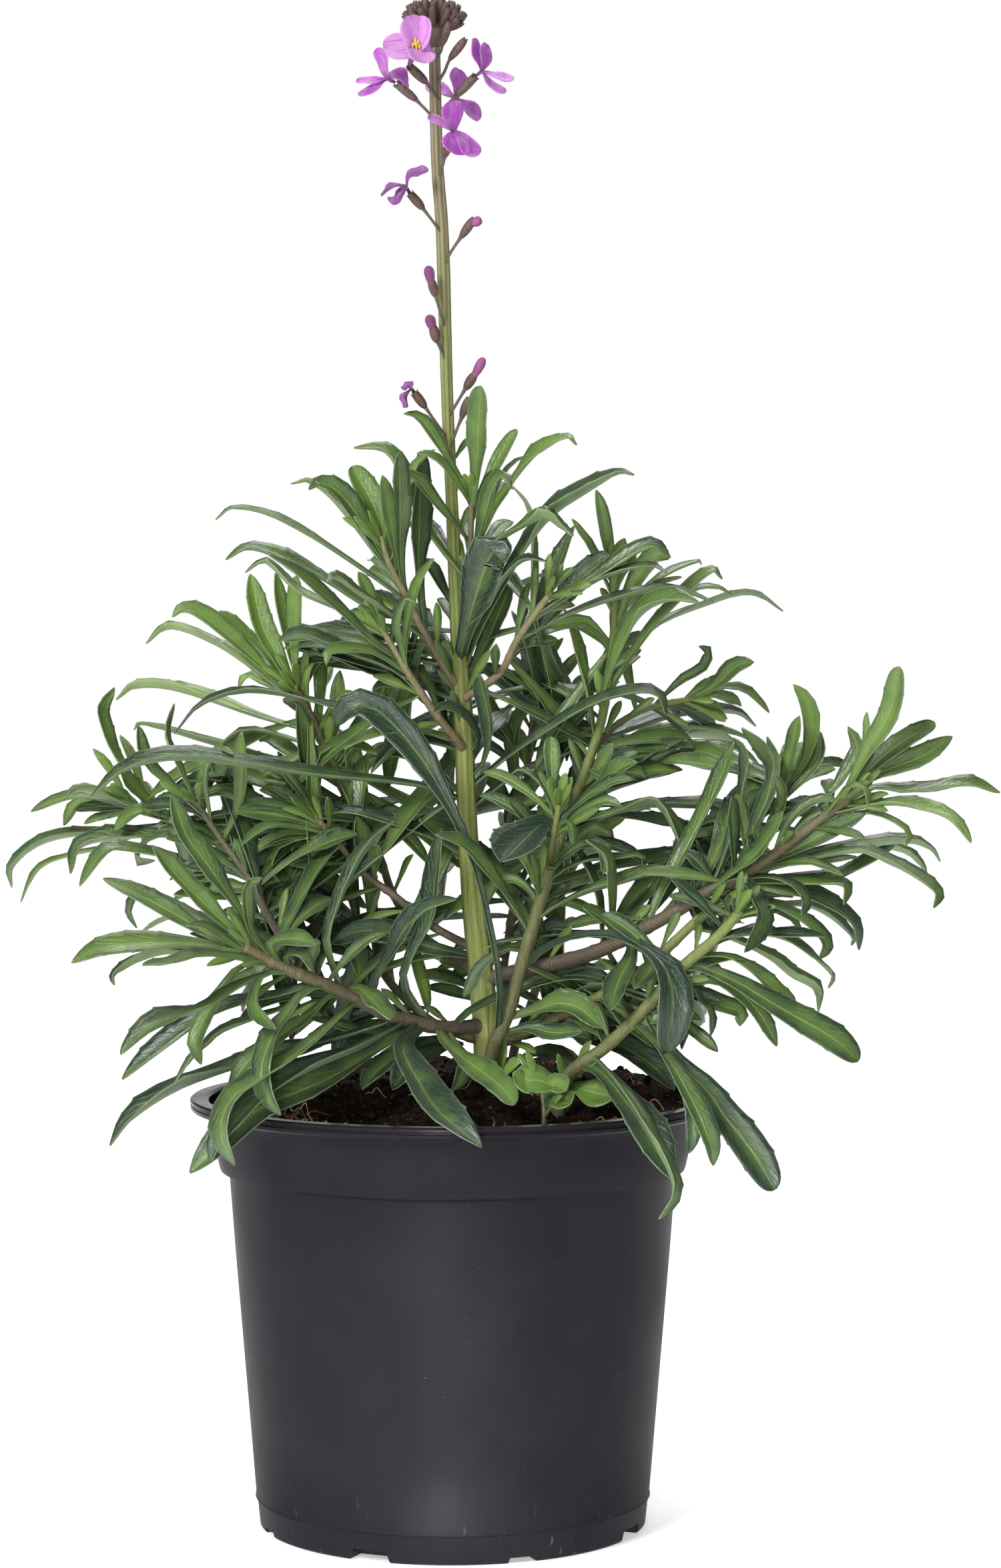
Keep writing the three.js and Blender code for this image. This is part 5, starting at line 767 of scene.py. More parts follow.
@dataclass(frozen=True)
class Sheet:
    """The upright sheet that the plant is set out on, and the eye that sees it so."""

    eye_x: float = 17.3
    eye_height: float = 320.0
    distance: float = 1390.0

    @property
    def eye(self) -> np.ndarray:
        """The eye's place, in millimetres."""
        return np.array([self.eye_x, -self.distance, self.eye_height])

    def in_space(self, points: np.ndarray) -> np.ndarray:
        """Turn sheet points into points in space.

        Args:
            points: Rows of a, h and d.

        Returns:
            Rows of x, y and z, in millimetres.
        """
        a, h, d = np.asarray(points, float).T
        scale = (self.distance - d) / self.distance
        return np.column_stack(
            (self.eye_x + (a - self.eye_x) * scale, -d, self.eye_height + (h - self.eye_height) * scale)
        )

    def on_sheet(self, places: np.ndarray) -> np.ndarray:
        """Return where places in space are seen on the sheet, as rows of a and h."""
        scale = (self.distance + places[:, 1]) / self.distance
        a = self.eye_x + (places[:, 0] - self.eye_x) / scale
        return np.column_stack((a, self.eye_height + (places[:, 2] - self.eye_height) / scale))


SHEET = Sheet()
UP = np.array([0.0, 0.0, 1.0])


class LaidPath:
    """A path in space that follows points of the sheet, read by its length."""

    SAMPLES = 48

    def __init__(self, points: Sequence[Sequence[float]]) -> None:
        """Sample the path.

        Args:
            points: Points (a, h, d) of the sheet.
        """
        self.samples = SHEET.in_space(smooth_curve(points, np.linspace(0, 1, self.SAMPLES + 1)))
        steps = np.linalg.norm(np.diff(self.samples, axis=0), axis=1)
        self.lengths = np.concatenate(([0.0], np.cumsum(steps)))
        self.total = float(self.lengths[-1])

    def at(self, shares: np.ndarray) -> np.ndarray:
        """Return the places at shares of the path's length."""
        goals = np.clip(shares, 0, 1) * self.total
        return np.column_stack([np.interp(goals, self.lengths, column) for column in self.samples.T])


@dataclass
class ThrownPath:
    """A path that leaves a stem straight and then droops."""

    root: np.ndarray
    heading: np.ndarray
    total: float
    droop: float

    def at(self, shares: np.ndarray) -> np.ndarray:
        """Return the places at shares of the path."""
        rows = self.root + self.heading * (self.total * np.asarray(shares, float))[:, None]
        rows[:, 2] -= self.droop * shares * np.abs(shares)
        return rows


Path = LaidPath | ThrownPath


@dataclass(frozen=True)
class Root:
    """Where a leaf leaves its stem, on the sheet."""

    point: np.ndarray
    is_far: bool
    lean: float
    age: float


@dataclass(frozen=True)
class Growth:
    """The rules by which leaves stand on their stems, in millimetres."""

    stem_samples: int = 80
    swings: tuple[float, ...] = (0, 5, -5, 10, -10, 16, -16, 24, -24, 34, -34)
    lean: float = 0.42
    reach: float = 1.5
    spacing: float = 2.2
    shift: float = 9.0
    forward: float = 1.2
    swing_power: float = 1.5
    back_tries: int = 5
    seed_step: int = 1000
    bearing: tuple[float, float] = (30, 150)
    lift: float = 0.25
    follow: float = 0.7
    droop: tuple[float, float] = (0.18, 0.48)

    def sample(self, row: StemRow) -> np.ndarray:
        """Return a stem's sheet points from foot to tip."""
        return smooth_curve(row.points, np.linspace(0, 1, self.stem_samples + 1))

    def roots(self, stems: Sequence[np.ndarray], rows: Sequence[BladeRow], seed: int) -> list[Root]:
        """Find where each leaf leaves its stems.

        Args:
            stems: The sampled stems.
            rows: The leaves of the layout.
            seed: The seed of their leans.

        Returns:
            One root for each leaf.
        """
        draw = random_stream(seed)
        taken: list[np.ndarray] = []
        roots = []
        for row in rows:
            a, h = row.points[0][:2]
            distances = [np.hypot(samples[:, 0] - a, samples[:, 1] - h) for samples in stems]
            nearest = [float(each.min()) for each in distances]
            k = nearest.index(min(nearest))
            samples = stems[k]
            index = int(distances[k].argmin())
            is_far = nearest[k] > self.reach
            down = 0.0
            while is_far and index > 1 and down < nearest[k]:
                down += float(np.linalg.norm(samples[index] - samples[index - 1]))
                index -= 1
            down = 0.0
            while index > 1 and down < self.shift and any(
                np.linalg.norm(other - samples[index]) < self.spacing for other in taken
            ):
                down += float(np.linalg.norm(samples[index] - samples[index - 1]))
                index -= 1
            taken.append(samples[index])
            lean = self.lean * (2 * draw() - 1)
            roots.append(Root(samples[index], is_far, lean, index / self.stem_samples))
        return roots

    def leaf_path(self, row: BladeRow, root: Root, swing: float) -> LaidPath:
        """Return a leaf's path from its root out.

        Args:
            row: The leaf.
            root: Where it leaves its stem.
            swing: How far its tip is swung forward.

        Returns:
            The path in space.
        """
        onward = row.points if root.is_far else row.points[1:]
        flat = [root.point[:2], *onward]
        steps = [math.hypot(q[0] - p[0], q[1] - p[1]) for p, q in zip(flat, flat[1:])]
        total = sum(steps)
        points = []
        for point, run in zip(flat, np.concatenate(([0.0], np.cumsum(steps)))):
            share = run / total
            slant = root.point[2] + (row.reach + root.lean * total) * share**self.forward
            depth = point[2] if len(point) > 2 else slant
            points.append((point[0], point[1], depth + swing * share**self.swing_power))
        return LaidPath(points)

    def back_path(
        self, samples: np.ndarray, share: float, draw: Callable[[], float], back: BackRow
    ) -> ThrownPath:
        """Return the path of a leaf on the far side of a stem.

        Args:
            samples: The stem's sheet points.
            share: Where on the stem it stands.
            draw: The leaf's own random stream.
            back: The rule's sizes.

        Returns:
            The path in space.
        """
        index = round(share * self.stem_samples)
        places = SHEET.in_space(samples[[index, min(index + 2, self.stem_samples), index - 2]])
        ahead = unit(places[1] - places[2])
        bearing = math.radians(self.bearing[0] + (self.bearing[1] - self.bearing[0]) * draw())
        outward = np.array([math.cos(bearing), math.sin(bearing), self.lift])
        heading = unit(outward + ahead * self.follow * (0.8 + 0.4 * draw()))
        reach = back.length[0] + (back.length[1] - back.length[0]) * draw()
        droop = (self.droop[0] + (self.droop[1] - self.droop[0]) * draw()) * reach
        return ThrownPath(places[0], heading, reach, droop)


GROWTH = Growth()


# Work at the bench


def deselect_all() -> None:
    """Leave nothing selected, so that an operator acts only on what is picked next."""
    for piece in bpy.context.selected_objects:
        piece.select_set(False)


def take_new(name: str) -> bpy.types.Object:
    """Name the object that an operator has just added.

    Args:
        name: The name that it gets.

    Returns:
        The object.
    """
    piece = bpy.context.active_object
    piece.name = name
    piece.data.name = name
    return piece


class Bench:
    """Holds one piece in edit mode, where operators shape what is picked."""

    def __init__(self, piece: bpy.types.Object) -> None:
        """Keep the piece that is to be shaped."""
        self.piece = piece

    def __enter__(self) -> "Bench":
        """Open the piece with nothing picked.

        Returns:
            The bench itself.
        """
        deselect_all()
        bpy.context.view_layer.objects.active = self.piece
        self.piece.select_set(True)
        bpy.ops.object.mode_set(mode="EDIT")
        bpy.ops.mesh.select_mode(type="VERT")
        bpy.ops.mesh.select_all(action="DESELECT")
        return self

    def __exit__(self, *_: object) -> None:
        """Close the piece."""
        bpy.ops.object.mode_set(mode="OBJECT")

    def pick(self, wanted: Callable[[Vector], bool]) -> int:
        """Pick points by their place.

        Args:
            wanted: Tells of a place, in millimetres, if its point is wanted.

        Returns:
            How many points are picked.
        """
        mesh = bmesh.from_edit_mesh(self.piece.data)
        for vert in mesh.verts:
            vert.select = wanted(vert.co / MM)
        mesh.select_flush(True)
        mesh.select_flush(False)
        bmesh.update_edit_mesh(self.piece.data)
        return sum(vert.select for vert in mesh.verts)

    def scale(self, x: float, y: float, z: float = 1.0, about: Sequence[float] = (0, 0, 0)) -> None:
        """Scale what is picked about a point given in millimetres."""
        bpy.ops.transform.resize(value=(x, y, z), center_override=tuple(v * MM for v in about))

    def move(self, x: float, y: float, z: float) -> None:
        """Move what is picked, in millimetres."""
        bpy.ops.transform.translate(value=(x * MM, y * MM, z * MM))

    def close_up(self, distance: float = 0.01) -> None:
        """Merge doubles and turn all faces outwards."""
        bpy.ops.mesh.select_all(action="SELECT")
        bpy.ops.mesh.remove_doubles(threshold=distance * MM)
        bpy.ops.mesh.normals_make_consistent(inside=False)


def apply_modifier(piece: bpy.types.Object, kind: str, **settings: object) -> None:
    """Give a piece one modifier and apply it.

    Args:
        piece: The piece.
        kind: Blender's name of the modifier's type.
        settings: The modifier's settings.
    """
    deselect_all()
    bpy.context.view_layer.objects.active = piece
    piece.select_set(True)
    modifier = piece.modifiers.new(kind.lower(), kind)
    for key, value in settings.items():
        setattr(modifier, key, value)
    bpy.ops.object.modifier_apply(modifier=modifier.name)


def points_of(piece: bpy.types.Object) -> np.ndarray:
    """Return a piece's points, in millimetres."""
    flat = np.empty(len(piece.data.vertices) * 3)
    piece.data.vertices.foreach_get("co", flat)
    return flat.reshape(-1, 3) / MM


def put_points(piece: bpy.types.Object, points: np.ndarray) -> None:
    """Give a piece's points their places, in millimetres."""
    piece.data.vertices.foreach_set("co", (points * MM).ravel())
    piece.data.update()


def put_tone(piece: bpy.types.Object, tone: float | np.ndarray, name: str = "tone") -> None:
    """Write an attribute by which a finish tells old growth from young, or ridge from groove.

    Args:
        piece: The piece.
        tone: One value for all its points, or one for each.
        name: The attribute's name.
    """
    count = len(piece.data.vertices)
    attribute = piece.data.attributes.new(name, "FLOAT", "POINT")
    attribute.data.foreach_set("value", np.broadcast_to(np.asarray(tone, np.float32), count).copy())


def copy_of(master: bpy.types.Object, name: str) -> bpy.types.Object:
    """Copy a master into the scene, with a mesh of its own.

    Args:
        master: What is copied.
        name: The copy's name.

    Returns:
        The copy.
    """
    piece = master.copy()
    piece.data = master.data.copy()
    piece.name = name
    bpy.context.scene.collection.objects.link(piece)
    return piece


def gather(name: str, members: Sequence[bpy.types.Object]) -> bpy.types.Object:
    """Join several objects into one piece with smooth faces.

    Args:
        name: The piece's name.
        members: What it is joined from.

    Returns:
        The piece.
    """
    deselect_all()
    for member in members:
        member.select_set(True)
    bpy.context.view_layer.objects.active = members[0]
    if len(members) > 1:
        bpy.ops.object.join()
    piece = take_new(name)
    bpy.ops.object.shade_smooth()
    return piece


def declare(piece: bpy.types.Object, slot: str, *nodes: str) -> None:
    """Say what a finished piece rides on and stands for, and report it.

    Args:
        piece: The piece.
        slot: The name of a material slot, which is not used.
        nodes: The frame's nodes that it replaces.
    """
    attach(piece, "root")
    if nodes:
        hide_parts(*nodes)
    piece.data.calc_loop_triangles()
    log.info("%s: %d triangles", piece.name, len(piece.data.loop_triangles))


def tube(
    name: str, places: np.ndarray, radii: np.ndarray, sides: int, material: bpy.types.Material,
    ridges: int = 0, ridge_height: float = 0.0,
) -> bpy.types.Object:
    """Draw a round or ridged section along places in space.

    Args:
        name: The tube's name.
        places: The places, in millimetres.
        radii: The radius at each place.
        sides: The sides of its section.
        material: Its finish.
        ridges: How many ridges run along it.
        ridge_height: The ridges' height as a share of the radius.

    Returns:
        The tube as a mesh with closed ends.
    """
    section = bpy.data.curves.new(name + "_section", "CURVE")
    line = section.splines.new("POLY")
    line.points.add(sides - 1)
    line.use_cyclic_u = True
    for i, point in enumerate(line.points):
        angle = 2 * math.pi * i / sides
        reach = MM * (1 + ridge_height * math.cos(ridges * angle)) if ridges else MM
        point.co = (reach * math.cos(angle), reach * math.sin(angle), 0, 1)
    pattern = bpy.data.objects.new(section.name, section)
    bpy.context.scene.collection.objects.link(pattern)

    run = bpy.data.curves.new(name, "CURVE")
    run.dimensions = "3D"
    run.bevel_mode = "OBJECT"
    run.bevel_object = pattern
    run.use_fill_caps = True
    line = run.splines.new("POLY")
    line.points.add(len(places) - 1)
    for point, place, radius in zip(line.points, places, radii):
        point.co = (*(place * MM), 1)
        point.radius = radius
    piece = bpy.data.objects.new(name, run)
    bpy.context.scene.collection.objects.link(piece)
    deselect_all()
    bpy.context.view_layer.objects.active = piece
    piece.select_set(True)
    bpy.ops.object.convert(target="MESH")
    piece = bpy.context.active_object
    bpy.data.objects.remove(pattern)
    with Bench(piece) as bench:
        bench.close_up(0.001)
    piece.data.materials.clear()
    piece.data.materials.append(material)
    return piece


def spin_profile(name: str, profile: Sequence[Sequence[float]], steps: int) -> bpy.types.Object:
    """Turn a closed profile about the pot's axis, as on a lathe.

    Args:
        name: The piece's name.
        profile: Radius and height pairs round the section, in millimetres.
        steps: The steps of the turn.

    Returns:
        The closed turned piece.
    """
    deselect_all()
    bpy.ops.mesh.primitive_circle_add(vertices=len(profile), radius=1, fill_type="NOTHING")
    piece = take_new(name)
    put_points(piece, np.array([(radius, 0, height) for radius, height in profile], float))
    with Bench(piece) as bench:
        bpy.ops.mesh.select_all(action="SELECT")
        bpy.ops.mesh.spin(steps=steps, angle=2 * math.pi, center=(0, 0, 0), axis=(0, 0, 1))
        bench.close_up()
    return piece
# Finishes

# A map of one range onto another that eases in and out
SMOOTH = {"interpolation_type": "SMOOTHSTEP"}


def linear(colour: str, alpha: float = 1.0) -> tuple[float, float, float, float]:
    """Turn an sRGB hex colour into linear light.

    Args:
        colour: Such as "#3f6a3a".
        alpha: The opacity.

    Returns:
        Red, green, blue and alpha.
    """
    parts = [int(colour[i : i + 2], 16) / 255 for i in (1, 3, 5)]
    return (*[c / 12.92 if c <= 0.04045 else ((c + 0.055) / 1.055) ** 2.4 for c in parts], alpha)


def plug(tree: bpy.types.NodeTree, node: bpy.types.Node, inputs: dict) -> None:
    """Fill a node's inputs.

    Args:
        tree: The material's node tree.
        node: The node.
        inputs: For each input, by its name or number, its plain value or the output that feeds it.
    """
    for key, value in inputs.items():
        if isinstance(value, bpy.types.NodeSocket):
            tree.links.new(value, node.inputs[key])
        else:
            node.inputs[key].default_value = value


def add_node(
    tree: bpy.types.NodeTree, kind: str, inputs: Sequence | dict = (), output: int | str = 0,
    **settings: object
) -> bpy.types.NodeSocket:
    """Add one node with its settings and links.

    Args:
        tree: The material's node tree.
        kind: The node's type, without the words ShaderNode.
        inputs: What its inputs take, in their order, or by name or number.
        output: The output that is wanted.
        settings: Values of its properties.

    Returns:
        The wanted output.
    """
    node = tree.nodes.new("ShaderNode" + kind)
    for key, value in settings.items():
        setattr(node, key, value)
    plug(tree, node, inputs if isinstance(inputs, dict) else dict(enumerate(inputs)))
    return node.outputs[output]


class Finish:
    """What all finishes share: a named material whose shader is dressed by the finish itself."""

    name: str

    def make(self) -> bpy.types.Material:
        """Make the material.

        Returns:
            The dressed material.
        """
        material = bpy.data.materials.new(self.name)
        material.use_nodes = True
        tree = material.node_tree
        self.dress(tree, next(node for node in tree.nodes if node.type == "BSDF_PRINCIPLED"))
        return material

    def dress(self, tree: bpy.types.NodeTree, shader: bpy.types.Node) -> None:
        """Give the shader its colour, gloss and relief.

        Args:
            tree: The material's node tree.
            shader: The shader that is dressed.
        """
        raise NotImplementedError

    @staticmethod
    def grain(
        tree: bpy.types.NodeTree, size: float, detail: float = 2.0,
        stretch: tuple[float, float, float] = (1, 1, 1)
    ) -> bpy.types.NodeSocket:
        """Return even noise on the piece's own place.

        Args:
            tree: The material's node tree.
            size: The size of its spots in millimetres.
            detail: How much finer noise is in it.
            stretch: The scale along each axis.

        Returns:
            A value about one half.
        """
        place = add_node(tree, "TexCoord", output="Object")
        scaled = add_node(tree, "Mapping", {"Vector": place, "Scale": stretch})
        return add_node(tree, "TexNoise", {"Vector": scaled, "Scale": 1 / (size * MM), "Detail": detail})

    @staticmethod
    def layered(
        tree: bpy.types.NodeTree, base: str, *layers: tuple[bpy.types.NodeSocket, str]
    ) -> bpy.types.NodeSocket:
        """Lay colours over a base.

        Args:
            tree: The material's node tree.
            base: The lowest colour.
            layers: For each colour over it, the share that shows and the colour.

        Returns:
            The blended colour.
        """
        blend = linear(base)
        for share, colour in layers:
            blend = add_node(tree, "Mix", {0: share, 6: blend, 7: linear(colour)}, 2, data_type="RGBA")
        return blend

    @staticmethod
    def relief(
        tree: bpy.types.NodeTree, depth: float, strength: float,
        *patterns: tuple[bpy.types.NodeSocket, float]
    ) -> bpy.types.NodeSocket:
        """Raise a surface by patterns.

        Args:
            tree: The material's node tree.
            depth: The relief's depth in millimetres.
            strength: How strongly it shows.
            patterns: Each pattern and its weight in the relief.

        Returns:
            The normal of the raised surface.
        """
        height = 0.0
        for pattern, weight in patterns:
            height = add_node(tree, "Math", [pattern, weight, height], operation="MULTIPLY_ADD")
        return add_node(tree, "Bump", {"Strength": strength, "Distance": depth * MM, "Height": height})


@dataclass(frozen=True)
class LeafSkin(Finish):
    """Living leaf under a thin cuticle, with short hairs that lie flat and grey its gloss."""

    name: str
    old: str = "#182f1f"
    young: str = "#74953a"
    rib: str = "#869c55"
    hair: str = "#71897a"
    # The pale colour of the painted highlight along each blade's edge
    edge: str = "#8ea275"
    rib_share: float = 0.62
    rib_relief: float = -0.8
    veins: float = 11.0
    vein_slant: float = -6.0
    # How much lighter the middle and darker the edges of a blade are painted: painted shade
    spread: float = 0.13
    roughness: float = 0.32

    def dress(self, tree: bpy.types.NodeTree, shader: bpy.types.Node) -> None:
        """Give the blade its pale rib, faint side veins, mottling and hairs.

        Args:
            tree: The material's node tree.
            shader: The shader that is dressed.
        """
        across = add_node(tree, "SeparateXYZ", [add_node(tree, "TexCoord", output="UV")])
        along = across.node.outputs[1]
        off = add_node(tree, "Math", [across, 0.5], operation="SUBTRACT")
        off = add_node(tree, "Math", [off], operation="ABSOLUTE")
        tone = add_node(tree, "Attribute", output="Fac", attribute_name="tone")
        mottle = self.grain(tree, 9.0, 3.0)
        hairs = add_node(tree, "MapRange", [self.grain(tree, 0.45, 1.0), 0.5, 0.72, 0, 1], **SMOOTH)

        # The rib is thinner than the grid's faces and pales out towards the tip
        rib = add_node(tree, "MapRange", [off, 0.012, 0.06, 1, 0], **SMOOTH)
        fade = add_node(tree, "MapRange", [along, 0.55, 1, 1, 0.25], **SMOOTH)
        rib = add_node(tree, "Math", [rib, fade], operation="MULTIPLY")

        # Side veins leave the rib at even steps and run towards the tip
        climb = add_node(tree, "Math", [along, self.veins], operation="MULTIPLY")
        climb = add_node(tree, "Math", [off, self.vein_slant, climb], operation="MULTIPLY_ADD")
        climb = add_node(tree, "Math", [climb, 0.5], operation="PINGPONG")
        vein = add_node(tree, "MapRange", [climb, 0.38, 0.5, 0, 1], **SMOOTH)

        # Each leaf's age is mottled, and the leaf is painted lighter along its middle and darker towards its
        # edges, a painted shade that rounds the blade
        age = add_node(tree, "MapRange", [mottle, 0.3, 0.7, -0.12, 0.12], **SMOOTH)
        age = add_node(tree, "Math", [tone, age], operation="ADD")
        middle = add_node(tree, "MapRange", [off, 0.08, 0.46, self.spread, -self.spread], **SMOOTH)
        age = add_node(tree, "Math", [age, middle], operation="ADD")

        # The rib of an old leaf shows less
        shown = add_node(
            tree, "MapRange", [tone, -0.2, 0.35, 0.4 * self.rib_share, self.rib_share], **SMOOTH)
        # Over the age, veins and rib lies a thin pale line along each edge: a painted highlight where light
        # catches the blade's edge
        base = self.layered(
            tree, self.old, (age, self.young),
            (add_node(tree, "Math", [vein, 0.14], operation="MULTIPLY"), self.rib),
            (add_node(tree, "Math", [rib, shown], operation="MULTIPLY"), self.rib),
            (add_node(tree, "MapRange", [off, 0.455, 0.49, 0, 0.4], **SMOOTH), self.edge),
            (add_node(tree, "Math", [hairs, 0.2], operation="MULTIPLY"), self.hair))
        normal = self.relief(
            tree, 0.5, 0.55, (rib, self.rib_relief), (vein, 0.4 * self.rib_relief), (mottle, 0.8),
            (self.grain(tree, 1.6, 2.0), 0.35), (hairs, 0.16))
        plug(tree, shader, {
            "Base Color": base, "Roughness": self.roughness, "Specular IOR Level": 0.6, "Sheen Weight": 0.06,
            "Sheen Tint": linear("#dfe8dc"), "Subsurface Weight": 0.06, "Subsurface Radius": (0.4, 1.0, 0.2),
            "Subsurface Scale": 0.8 * MM, "Normal": normal})


@dataclass(frozen=True)
class StemSkin(Finish):
    """Stem of the year, green under flat grey hairs, that browns and ridges as it turns to wood."""

    name: str
    foot: str = "#51453a"
    tip: str = "#67603f"
    streak: str = "#58444a"
    hair: str = "#a3a592"
    # The colour of the painted shade in each groove between the ridges
    groove: str = "#453a35"
    turns: tuple[float, float] = (0.1, 0.95)
    # How strongly shade is painted in each groove of a ridged stem
    grooved: float = 0.0

    def dress(self, tree: bpy.types.NodeTree, shader: bpy.types.Node) -> None:
        """Give the stem its change of colour with height, the painted shade in each groove, its streaks and
        its hairs.

        Args:
            tree: The material's node tree.
            shader: The shader that is dressed.
        """
        tone = add_node(tree, "Attribute", output="Fac", attribute_name="tone")
        ridge = add_node(tree, "Attribute", output="Fac", attribute_name="ridge")
        streaks = self.grain(tree, 1.0, 3.0, (1, 1, 0.05))
        hairs = self.grain(tree, 0.35, 1.0)
        # Shade is painted into each groove between the ridges, more of it higher up the stem
        painted_groove_shade = add_node(tree, "MapRange", [ridge, -1, 0.1, self.grooved, 0], **SMOOTH)
        base = self.layered(
            tree, self.foot,
            (add_node(tree, "MapRange", [tone, *self.turns, 0, 1], **SMOOTH), self.tip),
            (add_node(tree, "Math", [painted_groove_shade, tone], operation="MULTIPLY"), self.groove),
            (add_node(tree, "MapRange", [streaks, 0.48, 0.66, 0, 0.4], **SMOOTH), self.streak),
            (add_node(tree, "MapRange", [hairs, 0.52, 0.74, 0, 0.3], **SMOOTH), self.hair))
        normal = self.relief(tree, 0.6, 0.8, (streaks, 1), (hairs, 0.4))
        plug(tree, shader, {"Base Color": base, "Roughness": 0.5, "Normal": normal})


@dataclass(frozen=True)
class SepalSkin(Finish):
    """Sepals tight round a bud: purple brown, with felted hairs and a greener top."""

    name: str = "felted_purple_sepal"
    foot: str = "#5d3f40"
    top: str = "#584f3b"
    vein: str = "#2b1d1f"
    hair: str = "#8c8077"

    def dress(self, tree: bpy.types.NodeTree, shader: bpy.types.Node) -> None:
        """Give the sepals their veins and hairs.

        Args:
            tree: The material's node tree.
            shader: The shader that is dressed.
        """
        tone = add_node(tree, "Attribute", output="Fac", attribute_name="tone")
        veins = self.grain(tree, 0.8, 2.0, (1, 1, 0.22))
        hairs = self.grain(tree, 0.3, 1.0)
        blotch = add_node(tree, "MapRange", [self.grain(tree, 2.2, 3.0), 0.3, 0.7, -0.35, 0.35], **SMOOTH)
        base = self.layered(
            tree, self.foot,
            (add_node(tree, "Math", [tone, blotch], operation="ADD"), self.top),
            (add_node(tree, "MapRange", [veins, 0.48, 0.66, 0, 0.55], **SMOOTH), self.vein),
            (add_node(tree, "MapRange", [hairs, 0.52, 0.76, 0, 0.3], **SMOOTH), self.hair))
        normal = self.relief(tree, 0.35, 0.6, (veins, 1), (hairs, 0.5))
        plug(tree, shader, {"Base Color": base, "Roughness": 0.55, "Normal": normal})


@dataclass(frozen=True)
class PetalSkin(Finish):
    """Petal one cell deep in colour: mauve, with fine deeper veins that fan out from the claw."""

    name: str = "mauve_petal"
    limb: str = "#a33db0"
    pale: str = "#cf95cf"
    vein: str = "#7c2489"
    claw: str = "#6d2f74"
    relief_depth: float = 0.5

    def dress(self, tree: bpy.types.NodeTree, shader: bpy.types.Node) -> None:
        """Give the petal its veins, its darker claw and its pale rim.

        Args:
            tree: The material's node tree.
            shader: The shader that is dressed.
        """
        own_map = add_node(tree, "TexCoord", output="UV")
        across = add_node(tree, "SeparateXYZ", [own_map])
        along = across.node.outputs[1]
        off = add_node(tree, "Math", [across, 0.5], operation="SUBTRACT")
        off = add_node(tree, "Math", [off], operation="ABSOLUTE")
        tone = add_node(tree, "Attribute", output="Fac", attribute_name="tone")
        fan = add_node(tree, "Mapping", {"Vector": own_map, "Scale": (16, 1.4, 1)})
        veins = add_node(tree, "TexNoise", {"Vector": fan, "Scale": 1.0, "Detail": 3.0})
        cloud = self.grain(tree, 4.0, 2.0)
        base = self.layered(
            tree, self.limb, (tone, self.pale),
            (add_node(tree, "MapRange", [cloud, 0.4, 0.65, 0, 0.4], **SMOOTH), self.pale),
            (add_node(tree, "MapRange", [veins, 0.5, 0.62, 0, 0.5], **SMOOTH), self.vein),
            # The pale rim is partly the petal's own paler margin and partly a painted highlight along its
            # edge
            (add_node(tree, "MapRange", [off, 0.4, 0.5, 0, 0.3], **SMOOTH), self.pale),
            (add_node(tree, "MapRange", [along, 0.14, 0.4, 0.75, 0], **SMOOTH), self.claw))
        normal = self.relief(tree, self.relief_depth, 0.55, (veins, 1), (cloud, 1))
        plug(tree, shader, {
            "Base Color": base, "Roughness": 0.5, "Sheen Weight": 0.15, "Subsurface Weight": 0.15,
            "Subsurface Radius": (1.0, 0.4, 1.0), "Subsurface Scale": 0.8 * MM, "Normal": normal})


@dataclass(frozen=True)
class Pollen(Finish):
    """Ripe anthers, dusty with yellow pollen."""

    name: str = "yellow_pollen"
    dust: str = "#e8d04e"
    shade: str = "#a88a2a"

    def dress(self, tree: bpy.types.NodeTree, shader: bpy.types.Node) -> None:
        """Give the anthers their dusty grain.

        Args:
            tree: The material's node tree.
            shader: The shader that is dressed.
        """
        grain = self.grain(tree, 0.3, 2.0)
        shown = add_node(tree, "MapRange", [grain, 0.4, 0.7, 0, 1], **SMOOTH)
        base = self.layered(tree, self.dust, (shown, self.shade))
        normal = self.relief(tree, 0.3, 0.7, (grain, 1))
        plug(tree, shader, {"Base Color": base, "Roughness": 0.85, "Normal": normal})


